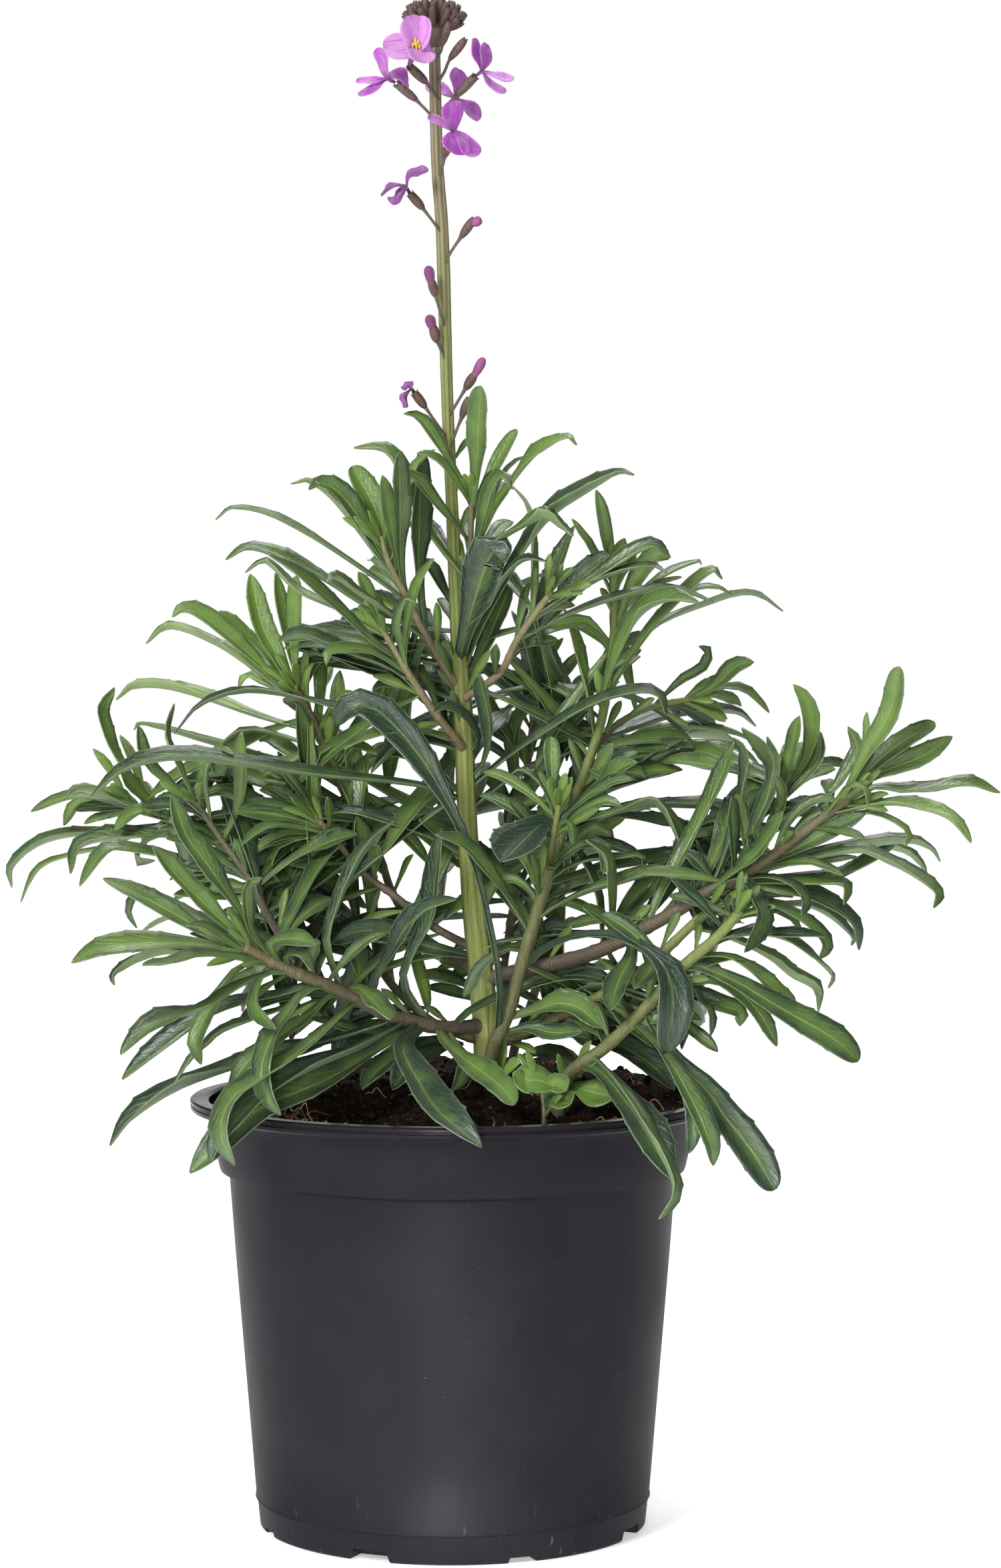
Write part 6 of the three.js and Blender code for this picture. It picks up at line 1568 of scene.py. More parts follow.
@dataclass(frozen=True)
class PotPlastic(Finish):
    """Recycled polypropylene, thermoformed: charcoal, satin, with a fine orange-peel skin and dust."""

    name: str = "satin_recycled_polypropylene"
    body: str = "#1b191d"
    bloom: str = "#1f1d21"
    dust: str = "#8f8b83"
    roughness: float = 0.46
    rim_roughness: float = 0.24

    def dress(self, tree: bpy.types.NodeTree, shader: bpy.types.Node) -> None:
        """Give the plastic its clouded skin, its scuffs near the foot and a glossier rim.

        Args:
            tree: The material's node tree.
            shader: The shader that is dressed.
        """
        height = add_node(tree, "SeparateXYZ", [add_node(tree, "TexCoord", output="Object")], 2)
        cloud = self.grain(tree, 26.0, 3.0)
        specks = self.grain(tree, 1.1, 1.0)
        low = add_node(tree, "MapRange", [height, 0, 0.035, 0.5, 0], **SMOOTH)
        scuffs = add_node(
            tree, "MapRange", [self.grain(tree, 2.0, 4.0, (1, 1, 0.25)), 0.66, 0.76, 0, 0.5], **SMOOTH)
        base = self.layered(
            tree, self.body,
            (add_node(tree, "MapRange", [cloud, 0.35, 0.7, 0, 1], **SMOOTH), self.bloom),
            (add_node(tree, "Math", [low, scuffs], operation="MULTIPLY"), self.dust),
            (add_node(tree, "MapRange", [specks, 0.8, 0.83, 0, 0.4], **SMOOTH), self.dust))
        gloss = add_node(
            tree, "MapRange", [height, 0.1485, 0.1505, self.roughness, self.rim_roughness], **SMOOTH)
        clouded = add_node(tree, "MapRange", [cloud, 0.3, 0.7, -0.04, 0.04], **SMOOTH)
        gloss = add_node(tree, "Math", [gloss, clouded], operation="ADD")
        normal = self.relief(tree, 0.05, 0.35, (self.grain(tree, 0.7, 2.0), 1))
        plug(tree, shader, {
            "Base Color": base, "Roughness": gloss, "Specular IOR Level": 0.07,
            "Specular Tint": linear("#e6e2f2"), "Normal": normal})


@dataclass(frozen=True)
class Peat(Finish):
    """Damp peat and bark fines: near black, with brown crumbs and a few wet glints."""

    name: str = "damp_peat"
    dark: str = "#080504"
    crumb: str = "#2c1a0f"
    straw: str = "#7d5b3a"

    def dress(self, tree: bpy.types.NodeTree, shader: bpy.types.Node) -> None:
        """Give the peat its crumbs, its straw-coloured bits and its damp sheen.

        Args:
            tree: The material's node tree.
            shader: The shader that is dressed.
        """
        crumbs = self.grain(tree, 2.4, 4.0)
        bits = self.grain(tree, 1.2, 1.0)
        base = self.layered(
            tree, self.dark,
            (add_node(tree, "MapRange", [crumbs, 0.42, 0.68, 0, 1], **SMOOTH), self.crumb),
            (add_node(tree, "MapRange", [bits, 0.66, 0.72, 0, 0.8], **SMOOTH), self.straw))
        gloss = add_node(tree, "MapRange", [crumbs, 0.35, 0.6, 0.75, 1], **SMOOTH)
        normal = self.relief(tree, 1.6, 0.9, (crumbs, 1))
        plug(tree, shader, {
            "Base Color": base, "Roughness": gloss, "Specular IOR Level": 0.15, "Normal": normal})


@dataclass(frozen=True)
class DryFibre(Finish):
    """Dry roots and coir: thin, matt and tan."""

    name: str = "dry_root_fibre"
    dark: str = "#5a3d2a"
    light: str = "#a98a62"

    def dress(self, tree: bpy.types.NodeTree, shader: bpy.types.Node) -> None:
        """Give the fibres their change of colour from strand to strand.

        Args:
            tree: The material's node tree.
            shader: The shader that is dressed.
        """
        grain = self.grain(tree, 4.0, 2.0)
        shown = add_node(tree, "MapRange", [grain, 0.35, 0.65, 0, 1], **SMOOTH)
        base = self.layered(tree, self.dark, (shown, self.light))
        normal = self.relief(tree, 0.2, 0.5, (grain, 1))
        plug(tree, shader, {"Base Color": base, "Roughness": 0.8, "Normal": normal})


@dataclass(frozen=True)
class PaintedFloor(Finish):
    """Matt white studio floor that glows by its own emission: painted light, weaker near the plant and
    stronger far behind it.
    """

    name: str = "matt_white_floor"
    paint: str = "#f4f4f4"
    # The strength of the floor's painted glow near the plant and far behind it
    near: float = 0.45
    far: float = 1.0

    def dress(self, tree: bpy.types.NodeTree, shader: bpy.types.Node) -> None:
        """Give the floor its even paint and its painted glow.

        Args:
            tree: The material's node tree.
            shader: The shader that is dressed.
        """
        behind = add_node(tree, "SeparateXYZ", [add_node(tree, "TexCoord", output="Object")], 1)
        # The floor glows though it is no lamp: painted light that grows from near the plant to far behind
        # it, where it meets the white surround
        glow = add_node(tree, "MapRange", [behind, 0, 2.2, self.near, self.far], **SMOOTH)
        plug(tree, shader, {
            "Base Color": linear(self.paint), "Roughness": 0.9, "Emission Color": linear(self.paint),
            "Emission Strength": glow})


# Blades

# A blade's width along its length, as shares of both
WIDTHS = {
    Outline.POINTED: (
        (0, 0.1, 0.2, 0.3, 0.4, 0.5, 0.6, 0.68, 0.76, 0.84, 0.9, 0.95, 0.98, 1),
        (0.3, 0.31, 0.37, 0.5, 0.67, 0.84, 0.96, 1, 0.97, 0.85, 0.67, 0.44, 0.24, 0.05)),
    Outline.ROUNDED: (
        (0, 0.1, 0.2, 0.3, 0.4, 0.5, 0.6, 0.7, 0.8, 0.87, 0.93, 0.965, 0.988, 1),
        (0.32, 0.33, 0.37, 0.47, 0.62, 0.79, 0.92, 0.99, 1, 0.95, 0.81, 0.63, 0.42, 0.14)),
    Outline.STALKED: (
        (0, 0.15, 0.3, 0.45, 0.55, 0.62, 0.69, 0.76, 0.83, 0.89, 0.94, 0.97, 0.99, 1),
        (0.22, 0.2, 0.2, 0.22, 0.3, 0.47, 0.74, 0.95, 1, 0.94, 0.77, 0.56, 0.33, 0.1)),
    Outline.PETAL: (
        (0, 0.12, 0.24, 0.34, 0.44, 0.54, 0.64, 0.74, 0.84, 0.91, 0.96, 0.985, 1),
        (0.15, 0.17, 0.24, 0.44, 0.7, 0.89, 0.98, 1, 0.95, 0.82, 0.63, 0.45, 0.28)),
}


@dataclass(frozen=True)
class Manner:
    """How one blade folds, waves, twists and curls away from its plain shape."""

    fold: float = 0.3
    wave: float = 0.08
    waves: float = 1.5
    phase: float = 0.0
    twist: float = 0.0
    curl: float = 0.0

    @classmethod
    def of_leaf(cls, rng: np.random.Generator) -> "Manner":
        """Draw the manner of one leaf."""
        return cls(
            rng.uniform(0.25, 0.65), rng.uniform(0.02, 0.13), rng.uniform(1.0, 2.6), rng.uniform(0, 6.3),
            rng.uniform(-0.5, 0.5), rng.uniform(0.0, 0.05))

    @classmethod
    def of_petal(cls, rng: np.random.Generator) -> "Manner":
        """Draw the manner of one petal."""
        return cls(
            rng.uniform(0.08, 0.25), rng.uniform(0.03, 0.08), rng.uniform(1.0, 1.8), rng.uniform(0, 6.3),
            rng.uniform(-0.2, 0.2), rng.uniform(-0.05, 0.05))


@dataclass(frozen=True)
class Blade:
    """A flat blade with a rib below it, modelled once and bent along a path for each copy."""

    name: str
    outline: Outline
    stations: tuple[float, ...]
    across: int
    teeth: tuple[float, ...] = ()
    length: float = 60.0
    half: float = 5.0
    thickness: float = 0.5
    rib: float = 0.35
    tooth: float = 0.07
    petiole: float = 1.3
    root_width: float = 0.9
    slimness: float = 0.14
    seen_most: float = 0.94
    seen_least: float = 0.35
    broadening: tuple[float, float] = (1.6, 1.5)
    side_on: float = 0.12

    def width_at(self, shares: np.ndarray) -> np.ndarray:
        """Return the width at shares of the length, as shares of the full width."""
        return np.interp(shares, *WIDTHS[self.outline])

    def build(self, upper: bpy.types.Material, lower: bpy.types.Material) -> bpy.types.Object:
        """Model the flat master: a grid drawn in to its outline, given its thickness and its rib.

        Args:
            upper: The finish of its upper face.
            lower: The finish of its lower face.

        Returns:
            The master, which is removed when its copies are made.
        """
        deselect_all()
        bpy.ops.mesh.primitive_grid_add(
            x_subdivisions=self.across, y_subdivisions=len(self.stations) - 1, size=2 * self.half * MM)
        master = take_new(self.name)
        master.data.materials.append(upper)
        master.data.materials.append(lower)
        rows = np.unique(points_of(master)[:, 1].round(3))
        clear_of_grid = 4 * self.half
        with Bench(master) as bench:
            for row, share in zip(rows, self.stations):
                bench.pick(lambda place: abs(place.y - row) < 0.01)
                width = float(self.width_at(np.array(share))) + (self.tooth if share in self.teeth else 0)
                bench.scale(width, 1)
                bench.move(0, clear_of_grid + self.length * share - row, 0)
            bench.pick(lambda place: True)
            bench.move(0, -clear_of_grid, 0)
        apply_modifier(
            master, "SOLIDIFY", thickness=self.thickness * MM, offset=-1.0, material_offset=1,
            material_offset_rim=0)

        def on_rib(place: Vector) -> bool:
            """Tell if a place lies on the middle line of the lower face."""
            return abs(place.x) < 0.01 and place.z < -self.thickness / 2 and place.y < 0.9 * self.length

        with Bench(master) as bench:
            bench.pick(on_rib)
            bench.move(0, 0, -self.rib)
        return master

    def lay(
        self, master: bpy.types.Object, path: Path, width: float, guide: np.ndarray, manner: Manner,
        tone: float, widest: float | None = None,
    ) -> bpy.types.Object:
        """Bend a copy of the master along a path.

        Args:
            master: The flat master.
            path: The path from the blade's root to its tip.
            width: The width that the eye sees.
            guide: The way that its upper face leans to, besides facing the eye.
            manner: Its own fold, wave, twist and curl.
            tone: Its age for the finish.
            widest: Its true width where that is known.

        Returns:
            The bent copy.
        """
        broadest = self.broadening[0] * width + self.broadening[1]
        full = widest or max(width / self.seen_most, min(self.slimness * path.total, broadest))
        turn = math.acos(min(max(width / full, self.seen_least), self.seen_most))
        flat = points_of(master)
        shares, station = np.unique((flat[:, 1] / self.length).round(4), return_inverse=True)
        places, tangents, facing = self.frames(path, shares, guide)
        whole = unit(places[-1] - places[0])
        upright = float(guide @ np.cross(whole, facing[len(facing) // 2]))
        sense = math.copysign(1, upright) if abs(upright) > self.side_on else (-1 if whole[0] >= 0 else 1)
        angle = (sense * turn + manner.twist * (shares - 0.3))[:, None]
        upper = unit(facing * np.cos(angle) + np.cross(tangents, facing) * np.sin(angle))
        side = np.cross(tangents, upper)

        outline = self.width_at(shares)
        seen = np.where(shares < 0.6, np.maximum(full * outline, min(self.petiole, full)), full * outline)
        seen[0] = self.root_width
        half = seen / 2
        u = flat[:, 0] / (self.half * outline[station])
        x = u * half[station]
        rise = manner.fold * half[station] * (np.abs(u) ** 1.5 - 0.4)
        swell = np.sin(2 * np.pi * manner.waves * shares[station] + manner.phase * np.where(u < 0, 1.0, 1.7))
        rise += manner.wave * half[station] * 2 * swell * u**2 * np.sin(np.pi * shares[station]) ** 0.5
        drop = manner.curl * path.total * np.clip((shares - 0.7) / 0.3, 0, 1) ** 2
        z = flat[:, 2] + rise - drop[station]
        piece = copy_of(master, self.name)
        put_points(piece, places[station] + side[station] * x[:, None] + upper[station] * z[:, None])
        put_tone(piece, tone)
        return piece

    @staticmethod
    def frames(
        path: Path, shares: np.ndarray, guide: np.ndarray
    ) -> tuple[np.ndarray, np.ndarray, np.ndarray]:
        """Find how a blade runs and which way it faces.

        Args:
            path: The path from the blade's root to its tip.
            shares: Where on the path.
            guide: The way that its upper face leans to, besides facing the eye.

        Returns:
            The places, the ways ahead and the ways that it faces.
        """
        places = path.at(shares)
        tangents = unit(path.at(shares + 0.02) - path.at(shares - 0.02))
        facing = unit(SHEET.eye - places) + 0.25 * guide
        facing = unit(facing - (facing * tangents).sum(axis=1, keepdims=True) * tangents)
        return places, tangents, facing


BROAD_STATIONS = (
    0, 0.06, 0.13, 0.2, 0.28, 0.36, 0.43, 0.495, 0.53, 0.54, 0.6, 0.66, 0.7, 0.71, 0.77, 0.82, 0.85, 0.86,
    0.905, 0.94, 0.965, 0.985, 1)
SLIM_STATIONS = (0, 0.09, 0.2, 0.32, 0.45, 0.58, 0.7, 0.81, 0.9, 0.96, 1)
SMALL_STATIONS = (0, 0.16, 0.34, 0.52, 0.7, 0.84, 0.94, 1)
PETAL_STATIONS = (0, 0.1, 0.2, 0.3, 0.4, 0.5, 0.6, 0.7, 0.8, 0.88, 0.94, 0.98, 1)


@dataclass
class BladeShop:
    """Keeps the masters of the leaves in one pair of finishes and lays copies of them."""

    upper: bpy.types.Material
    lower: bpy.types.Material
    broad_area: float = 330.0
    slim_area: float = 110.0
    masters: dict[str, tuple[Blade, bpy.types.Object]] = field(default_factory=dict)
    tally: dict[str, int] = field(default_factory=dict)

    def __post_init__(self) -> None:
        """Model the masters."""
        for outline in (Outline.POINTED, Outline.ROUNDED, Outline.STALKED):
            kinds = (
                Blade(
                    f"broad_{outline.value}_leaf", outline, BROAD_STATIONS, 6, teeth=(0.53, 0.7, 0.85),
                    slimness=Blade.slimness / 2 if outline is Outline.STALKED else Blade.slimness),
                Blade(f"slim_{outline.value}_leaf", outline, SLIM_STATIONS, 4, thickness=0.42, rib=0.25),
                Blade(f"small_{outline.value}_leaf", outline, SMALL_STATIONS, 2, thickness=0.35, rib=0.1),
            )
            for kind in kinds:
                self.masters[kind.name] = (kind, kind.build(self.upper, self.lower))

    def lay(self, row: BladeRow, path: Path, manner: Manner, tone: float) -> bpy.types.Object:
        """Lay one leaf along its path, from the master that suits its size.

        Args:
            row: The leaf.
            path: The path from its root to its tip.
            manner: Its own fold, wave, twist and curl.
            tone: Its age for the finish.

        Returns:
            The leaf.
        """
        area = max(row.width, Blade.slimness * path.total) * path.total
        size = "broad" if area > self.broad_area else "slim" if area > self.slim_area else "small"
        kind, master = self.masters[f"{size}_{row.outline.value}_leaf"]
        self.tally[size] = self.tally.get(size, 0) + 1
        return kind.lay(master, path, row.width, UP, manner, tone)

    def clear_away(self) -> None:
        """Remove the masters."""
        for _, master in self.masters.values():
            bpy.data.objects.remove(master)


# Leafy stems


# Where the leaves behind close the view through the plant: a, h and the radius of each hollow
HOLLOWS = (
    (-14, 258, 15), (-25, 286, 10), (-3, 247, 10), (-1, 225, 9), (-36, 222, 10), (-61, 222, 8),
    (-56, 247, 12), (-39, 252, 10), (-61, 269, 10), (-3, 195, 11), (-10, 175, 7), (68, 172, 11),
    (85, 181, 6), (-53, 316, 7), (91, 247, 9), (-9, 319, 8), (41, 286, 7), (41, 195, 8), (-45, 181, 12),
    (-67, 192, 10), (-86, 275, 7), (-92, 233, 6), (77, 277, 6),
)


@dataclass
class Thicket:
    """Knows where the laid leaves are seen, so that added ones keep within the plant's outline."""

    paths: Sequence[Path]
    reach: float = 4.5
    floor: float = 160.0
    ceiling: float = 335.0
    farthest: float = 55.0
    deepest: float = 42.0
    trunk_front: float = 5.0
    trunk_reach: float = 8.0

    def __post_init__(self) -> None:
        """Note where the laid leaves are seen."""
        self.shares = np.linspace(0.15, 1, 12)
        seen = np.vstack([SHEET.on_sheet(path.at(self.shares)) for path in self.paths])
        self.seen = KDTree(len(seen))
        for i, (a, h) in enumerate(seen):
            self.seen.insert((a, h, 0), i)
        self.seen.balance()

    def holds(self, path: Path) -> bool:
        """Tell if all of a path is seen close to laid leaves or in a hollow.

        Args:
            path: The path of a leaf that may be added.

        Returns:
            True if it is, and if the path is clear of the pot, the flowers and the main stem.
        """
        places = path.at(self.shares)
        if places[:, 2].min() < self.floor or places[:, 2].max() > self.ceiling:
            return False
        trunk = sorted(LEAFY_STEMS["main_stem"].stems[0].points, key=lambda point: point[1])
        trunk_a, trunk_h = np.array(trunk)[:, 0], np.array(trunk)[:, 1]
        for (a, h), y in zip(SHEET.on_sheet(places), places[:, 1]):
            in_hollow = any(math.hypot(a - row[0], h - row[1]) < row[2] for row in HOLLOWS)
            is_stray = not in_hollow and self.seen.find((a, h, 0))[2] > self.reach
            in_front = y < self.trunk_front and abs(a - np.interp(h, trunk_h, trunk_a)) < self.trunk_reach
            if is_stray or in_front:
                return False
        return True

    def aim(self, place: np.ndarray, rng: np.random.Generator) -> np.ndarray | None:
        """Choose a place in a hollow near a stem.

        Args:
            place: The stem's place.
            rng: The source of chance.

        Returns:
            A place behind the main stem, or none where no hollow is near.
        """
        a, h = SHEET.on_sheet(place[None])[0]
        near = [row for row in HOLLOWS if math.hypot(row[0] - a, row[1] - h) < row[2] + self.farthest]
        if not near:
            return None
        middle_a, middle_h, radius = near[rng.integers(len(near))]
        angle, out = rng.uniform(0, 2 * math.pi), radius * math.sqrt(rng.uniform(0, 1))
        depth = -rng.uniform(0, self.deepest)
        spot = (middle_a + out * math.cos(angle), middle_h + out * math.sin(angle), depth)
        return SHEET.in_space(np.array([spot]))[0]


@dataclass
class LeafyStem:
    """One shoot of the layout: its stems, its leaves, and the young leaves at its tips and axils."""

    name: str
    row: Shoot
    shop: BladeShop
    skin: bpy.types.Material
    number: int
    sides: int = 12
    ridges: int = 0
    ridge_height: float = 0.0
    rings: int = 110
    tuft_leaves: int = 8
    tuft_reach: tuple[float, float] = (9, 19)
    axil_every: float = 13.0
    axil_reach: tuple[float, float] = (10, 24)
    fill_every: float = 1.6
    fill_farthest: float = 78.0
    fill_share: float = 0.22
    fill_length: tuple[float, float] = (22.0, 58.0)
    bare_above: float = 392.0
    shaded_width: float = 15.0
    shade: float = 0.35
    mottling: tuple[float, float] = (-0.24, 0.18)
    fresh_from: float = 0.55
    freshness: float = 0.3
    swelling: float = 0.12
    tolerance: float = 0.15

    def __post_init__(self) -> None:
        """Read the corners of the frame's own solid."""
        self.rng = np.random.default_rng(FINE_SEED + self.number)
        self.laid: list[tuple[BladeRow, Path, float]] = []
        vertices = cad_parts[self.name].data.vertices
        self.corners = KDTree(len(vertices))
        for i, vertex in enumerate(vertices):
            self.corners.insert(vertex.co / MM, i)
        self.corners.balance()
        self.laid = self.laid_leaves()

    def stands(self, path: Path) -> bool:
        """Tell if the frame's solid has a blade whose tip is the path's end."""
        return self.corners.find(Vector(path.at(np.array([1.0]))[0]))[2] < self.tolerance

    def laid_leaves(self) -> list[tuple[BladeRow, Path, float]]:
        """Find the leaves that the frame's solid has.

        Returns:
            For each leaf its row, its path and how far up its stem it stands.
        """
        samples = [GROWTH.sample(row) for row in self.row.stems]
        seed = LAYOUT_SEED + (len(self.row.leaves) if self.row.back else 0)
        found = []
        for row, root in zip(self.row.leaves, GROWTH.roots(samples, self.row.leaves, seed)):
            paths = (GROWTH.leaf_path(row, root, swing) for swing in GROWTH.swings)
            found += [(row, path, root.age) for path in [next(filter(self.stands, paths), None)] if path]
        back = self.row.back
        for i in range(back.count if back else 0):
            draw = random_stream(LAYOUT_SEED + GROWTH.seed_step * (self.number + 1) + i)
            share = back.start + (back.end - back.start) * ((i + draw()) / back.count)
            row = BladeRow(back.width * (0.8 + 0.4 * draw()), 0, (), Outline.POINTED)
            own = samples[i % len(samples)]
            paths = [GROWTH.back_path(own, share, draw, back) for _ in range(GROWTH.back_tries)]
            found += [(row, path, share) for path in [next(filter(self.stands, paths), None)] if path]
        return found

    def tone(self, age: float) -> float:
        """Return the age of a leaf's colour from how far up its stem it stands."""
        young = YOUTH[self.name] + self.freshness * max(age - self.fresh_from, 0) / (1 - self.fresh_from)
        return float(np.clip(young + self.rng.uniform(*self.mottling), 0, 1.2))

    def stem_tube(self, row: StemRow) -> tuple[bpy.types.Object, np.ndarray, np.ndarray]:
        """Draw one stem, swollen a little at even steps along it.

        Args:
            row: The stem.

        Returns:
            The tube, its places and its radii.
        """
        places = SHEET.in_space(smooth_curve(row.points, np.linspace(0, 1, self.rings)))
        steps = np.linalg.norm(np.diff(places, axis=0), axis=1)
        run = np.concatenate(([0.0], np.cumsum(steps))) / steps.sum()
        radii = blend_along(row.radii, run)
        radii *= 1 + self.swelling * np.maximum(np.sin(run * steps.sum() * 0.55 + self.number), 0) ** 6
        radii[-1] *= 0.5
        piece = tube(self.name, places, radii, self.sides, self.skin, self.ridges, self.ridge_height)
        points = points_of(piece)
        nearest = np.linalg.norm(points[:, None, :] - places[None, :, :], axis=2).argmin(axis=1)
        put_tone(piece, run[nearest])
        if self.ridges:
            off = np.linalg.norm(points - places[nearest], axis=1) / radii[nearest]
            put_tone(piece, (off - 1) / self.ridge_height, "ridge")
        return piece, places, radii

    def young_leaves(self, places: np.ndarray, radii: np.ndarray, is_open: bool) -> list[bpy.types.Object]:
        """Lay the tuft at a stem's tip and the small leaves in its axils.

        Args:
            places: The stem's places.
            radii: Its radii there.
            is_open: Tells if the stem ends in a tuft.

        Returns:
            The small leaves.
        """
        blades = []
        length = float(np.linalg.norm(np.diff(places, axis=0), axis=1).sum())
        spots = [(1.0, i) for i in range(self.tuft_leaves if is_open else 0)]
        first = 0.4 if places[0][2] < SOIL_TOP else 0.15
        spots += [(share, -1) for share in np.arange(first, 0.95, self.axil_every / length)]
        for share, turn_number in spots:
            index = min(int(share * (len(places) - 1)), len(places) - 2)
            if not is_open and places[index][2] > self.bare_above:
                continue
            ahead = unit(places[min(index + 3, len(places) - 1)] - places[index - 3])
            is_tuft = turn_number >= 0
            bearing = self.rng.uniform(0, 1 if is_tuft else 6.28) + GOLDEN_TURN * max(turn_number, 0)
            side = unit(np.cross(ahead, (math.cos(bearing), math.sin(bearing), 0.2)))
            heading = unit(ahead * (1.3 if is_tuft else 0.8) + side * self.rng.uniform(0.25, 1.0))
            reach = self.rng.uniform(*(self.tuft_reach if is_tuft else self.axil_reach))
            root = places[index] - ahead * (0.5 * max(turn_number, 0)) + side * radii[index] * 0.5
            path = ThrownPath(root, heading, reach, reach * self.rng.uniform(0.0, 0.2))
            row = BladeRow(self.rng.uniform(1.6, 2.6) + 0.06 * reach, 0, (), Outline.POINTED)
            tone = self.tone(1.0) + (0.15 if is_tuft else 0)
            blades.append(self.shop.lay(row, path, Manner.of_leaf(self.rng), tone))
        return blades

    def inner_leaves(self, places: np.ndarray, thicket: Thicket) -> list[bpy.types.Object]:
        """Lay the shaded leaves that fill the shoot from within and from behind.

        Args:
            places: The stem's places.
            thicket: Where leaves may be added.

        Returns:
            The leaves that the thicket holds.
        """
        blades = []
        length = float(np.linalg.norm(np.diff(places, axis=0), axis=1).sum())
        shortest, longest = self.fill_length
        for number, share in enumerate(np.arange(self.fill_share, 0.97, self.fill_every / length)):
            index = min(max(int(share * (len(places) - 1)), 3), len(places) - 4)
            ahead = unit(places[index + 3] - places[index - 3])
            target = thicket.aim(places[index], self.rng) if number % 3 else None
            if target is not None and np.linalg.norm(target - places[index]) > self.fill_farthest:
                continue
            if target is None:
                bearing = self.rng.uniform(-0.35, math.pi + 0.35)
                outward = np.array([math.cos(bearing), math.sin(bearing), self.rng.uniform(-0.1, 0.7)])
                heading = unit(outward + ahead * self.rng.uniform(0.3, 1.2))
                reach = self.rng.uniform(shortest, longest) * (1.1 - 0.5 * share)
                droop = reach * self.rng.uniform(0.1, 0.5)
            else:
                reach = float(np.linalg.norm(target - places[index])) + self.rng.uniform(2, 12)
                droop = reach * self.rng.uniform(0.05, 0.3)
                heading = unit(target + UP * droop - places[index])
            path = ThrownPath(places[index], heading, reach, droop)
            if thicket.holds(path):
                row = BladeRow(self.rng.uniform(2.4, 4.4) + 0.05 * reach, 0, (), Outline.POINTED)
                tone = self.tone(0)
                blades.append(self.shop.lay(row, path, Manner.of_leaf(self.rng), tone))
        return blades

    def build(self, thicket: Thicket | None = None) -> bpy.types.Object:
        """Build the shoot as one piece.

        Args:
            thicket: Where inner leaves may be added, if any are.

        Returns:
            The piece, in place of the frame's solid.
        """
        members = []
        inner = 0
        for row in self.row.stems:
            stem_piece, places, radii = self.stem_tube(row)
            members.append(stem_piece)
            members += self.young_leaves(places, radii, self.name != "main_stem")
            if thicket:
                added = self.inner_leaves(places, thicket)
                members += added
                inner += len(added)
        for row, path, age in self.laid:
            shade = self.shade if row.outline is Outline.STALKED or row.width > self.shaded_width else 0.0
            members.append(self.shop.lay(row, path, Manner.of_leaf(self.rng), self.tone(age) - shade))
        for tone, row in ADDED.get(self.name, ()):
            members.append(self.shop.lay(row, LaidPath(row.points), Manner.of_leaf(self.rng), tone))
        wanted = len(self.row.leaves) + (self.row.back.count if self.row.back else 0)
        log.info("%s: %d of %d laid leaves stand, %d added", self.name, len(self.laid), wanted, inner)
        return gather(self.name + "_grown", members)


# Flowers and buds


@dataclass(frozen=True)
class SepalCup:
    """Four sepals closed round a bud or an open flower's claws, modelled upright with its foot at 0."""

    name: str
    length: float
    sides: int
    rings: tuple[tuple[float, float], ...]
    groove: float
    flare: float

    def build(self, material: bpy.types.Material) -> bpy.types.Object:
        """Model the cup: a disc drawn up ring by ring, grooved between the sepals and parted at its tips.

        Args:
            material: Its finish.

        Returns:
            The master.
        """
        deselect_all()
        foot = self.rings[0][1]
        bpy.ops.mesh.primitive_circle_add(vertices=self.sides, radius=foot * MM, fill_type="NGON")
        cup = take_new(self.name)
        cup.data.materials.append(material)
        every = self.sides // 4
        with Bench(cup) as bench:
            bpy.ops.mesh.select_all(action="SELECT")
            height, radius = self.rings[0]
            for next_height, next_radius in self.rings[1:]:
                step = (next_height - height) * self.length * MM
                bpy.ops.mesh.extrude_region_move(TRANSFORM_OT_translate={"value": (0, 0, step)})
                scale = next_radius / radius
                bench.scale(scale, scale, 1, (0, 0, next_height * self.length))
                height, radius = next_height, next_radius
            top = max(self.rings)[0] * self.length

            def in_groove(place: Vector) -> bool:
                """Tell if a place lies between two sepals."""
                number = round(math.atan2(place.y, place.x) / (2 * math.pi) * self.sides) % self.sides
                return number % every == 0 and math.hypot(place.x, place.y) > 0.05

            bench.pick(lambda place: in_groove(place) and 0.05 * self.length < place.z < top - 0.01)
            bench.scale(1 - self.groove, 1 - self.groove)
            bench.pick(lambda place: in_groove(place) and place.z > top - 0.01)
            bench.move(0, 0, -self.flare)
            bench.pick(lambda place: not in_groove(place) and place.z > top - 0.01)
            bench.scale(1 + self.groove, 1 + self.groove, 1, (0, 0, top))
            bench.close_up()
        return cup

    def stand(
        self, master: bpy.types.Object, foot: np.ndarray, mouth: np.ndarray, girth: float, tone: float,
        turn: float
    ) -> bpy.types.Object:
        """Stand a copy of the cup between two places.

        Args:
            master: The cup's master.
            foot: Where it starts, in millimetres.
            mouth: Where it ends.
            girth: The scale of its thickness.
            tone: Its colour.
            turn: Its turn about its own axis.

        Returns:
            The copy.
        """
        piece = copy_of(master, self.name)
        axis = Vector(mouth - foot)
        matrix = (
            Matrix.Translation(Vector(foot) * MM) @ axis.to_track_quat("Z", "Y").to_matrix().to_4x4()
            @ Matrix.Rotation(turn, 4, "Z") @ Matrix.Diagonal((girth, girth, axis.length / self.length, 1)))
        share = points_of(piece)[:, 2] / self.length
        piece.data.transform(matrix)
        put_tone(piece, tone + 0.35 * share)
        return piece


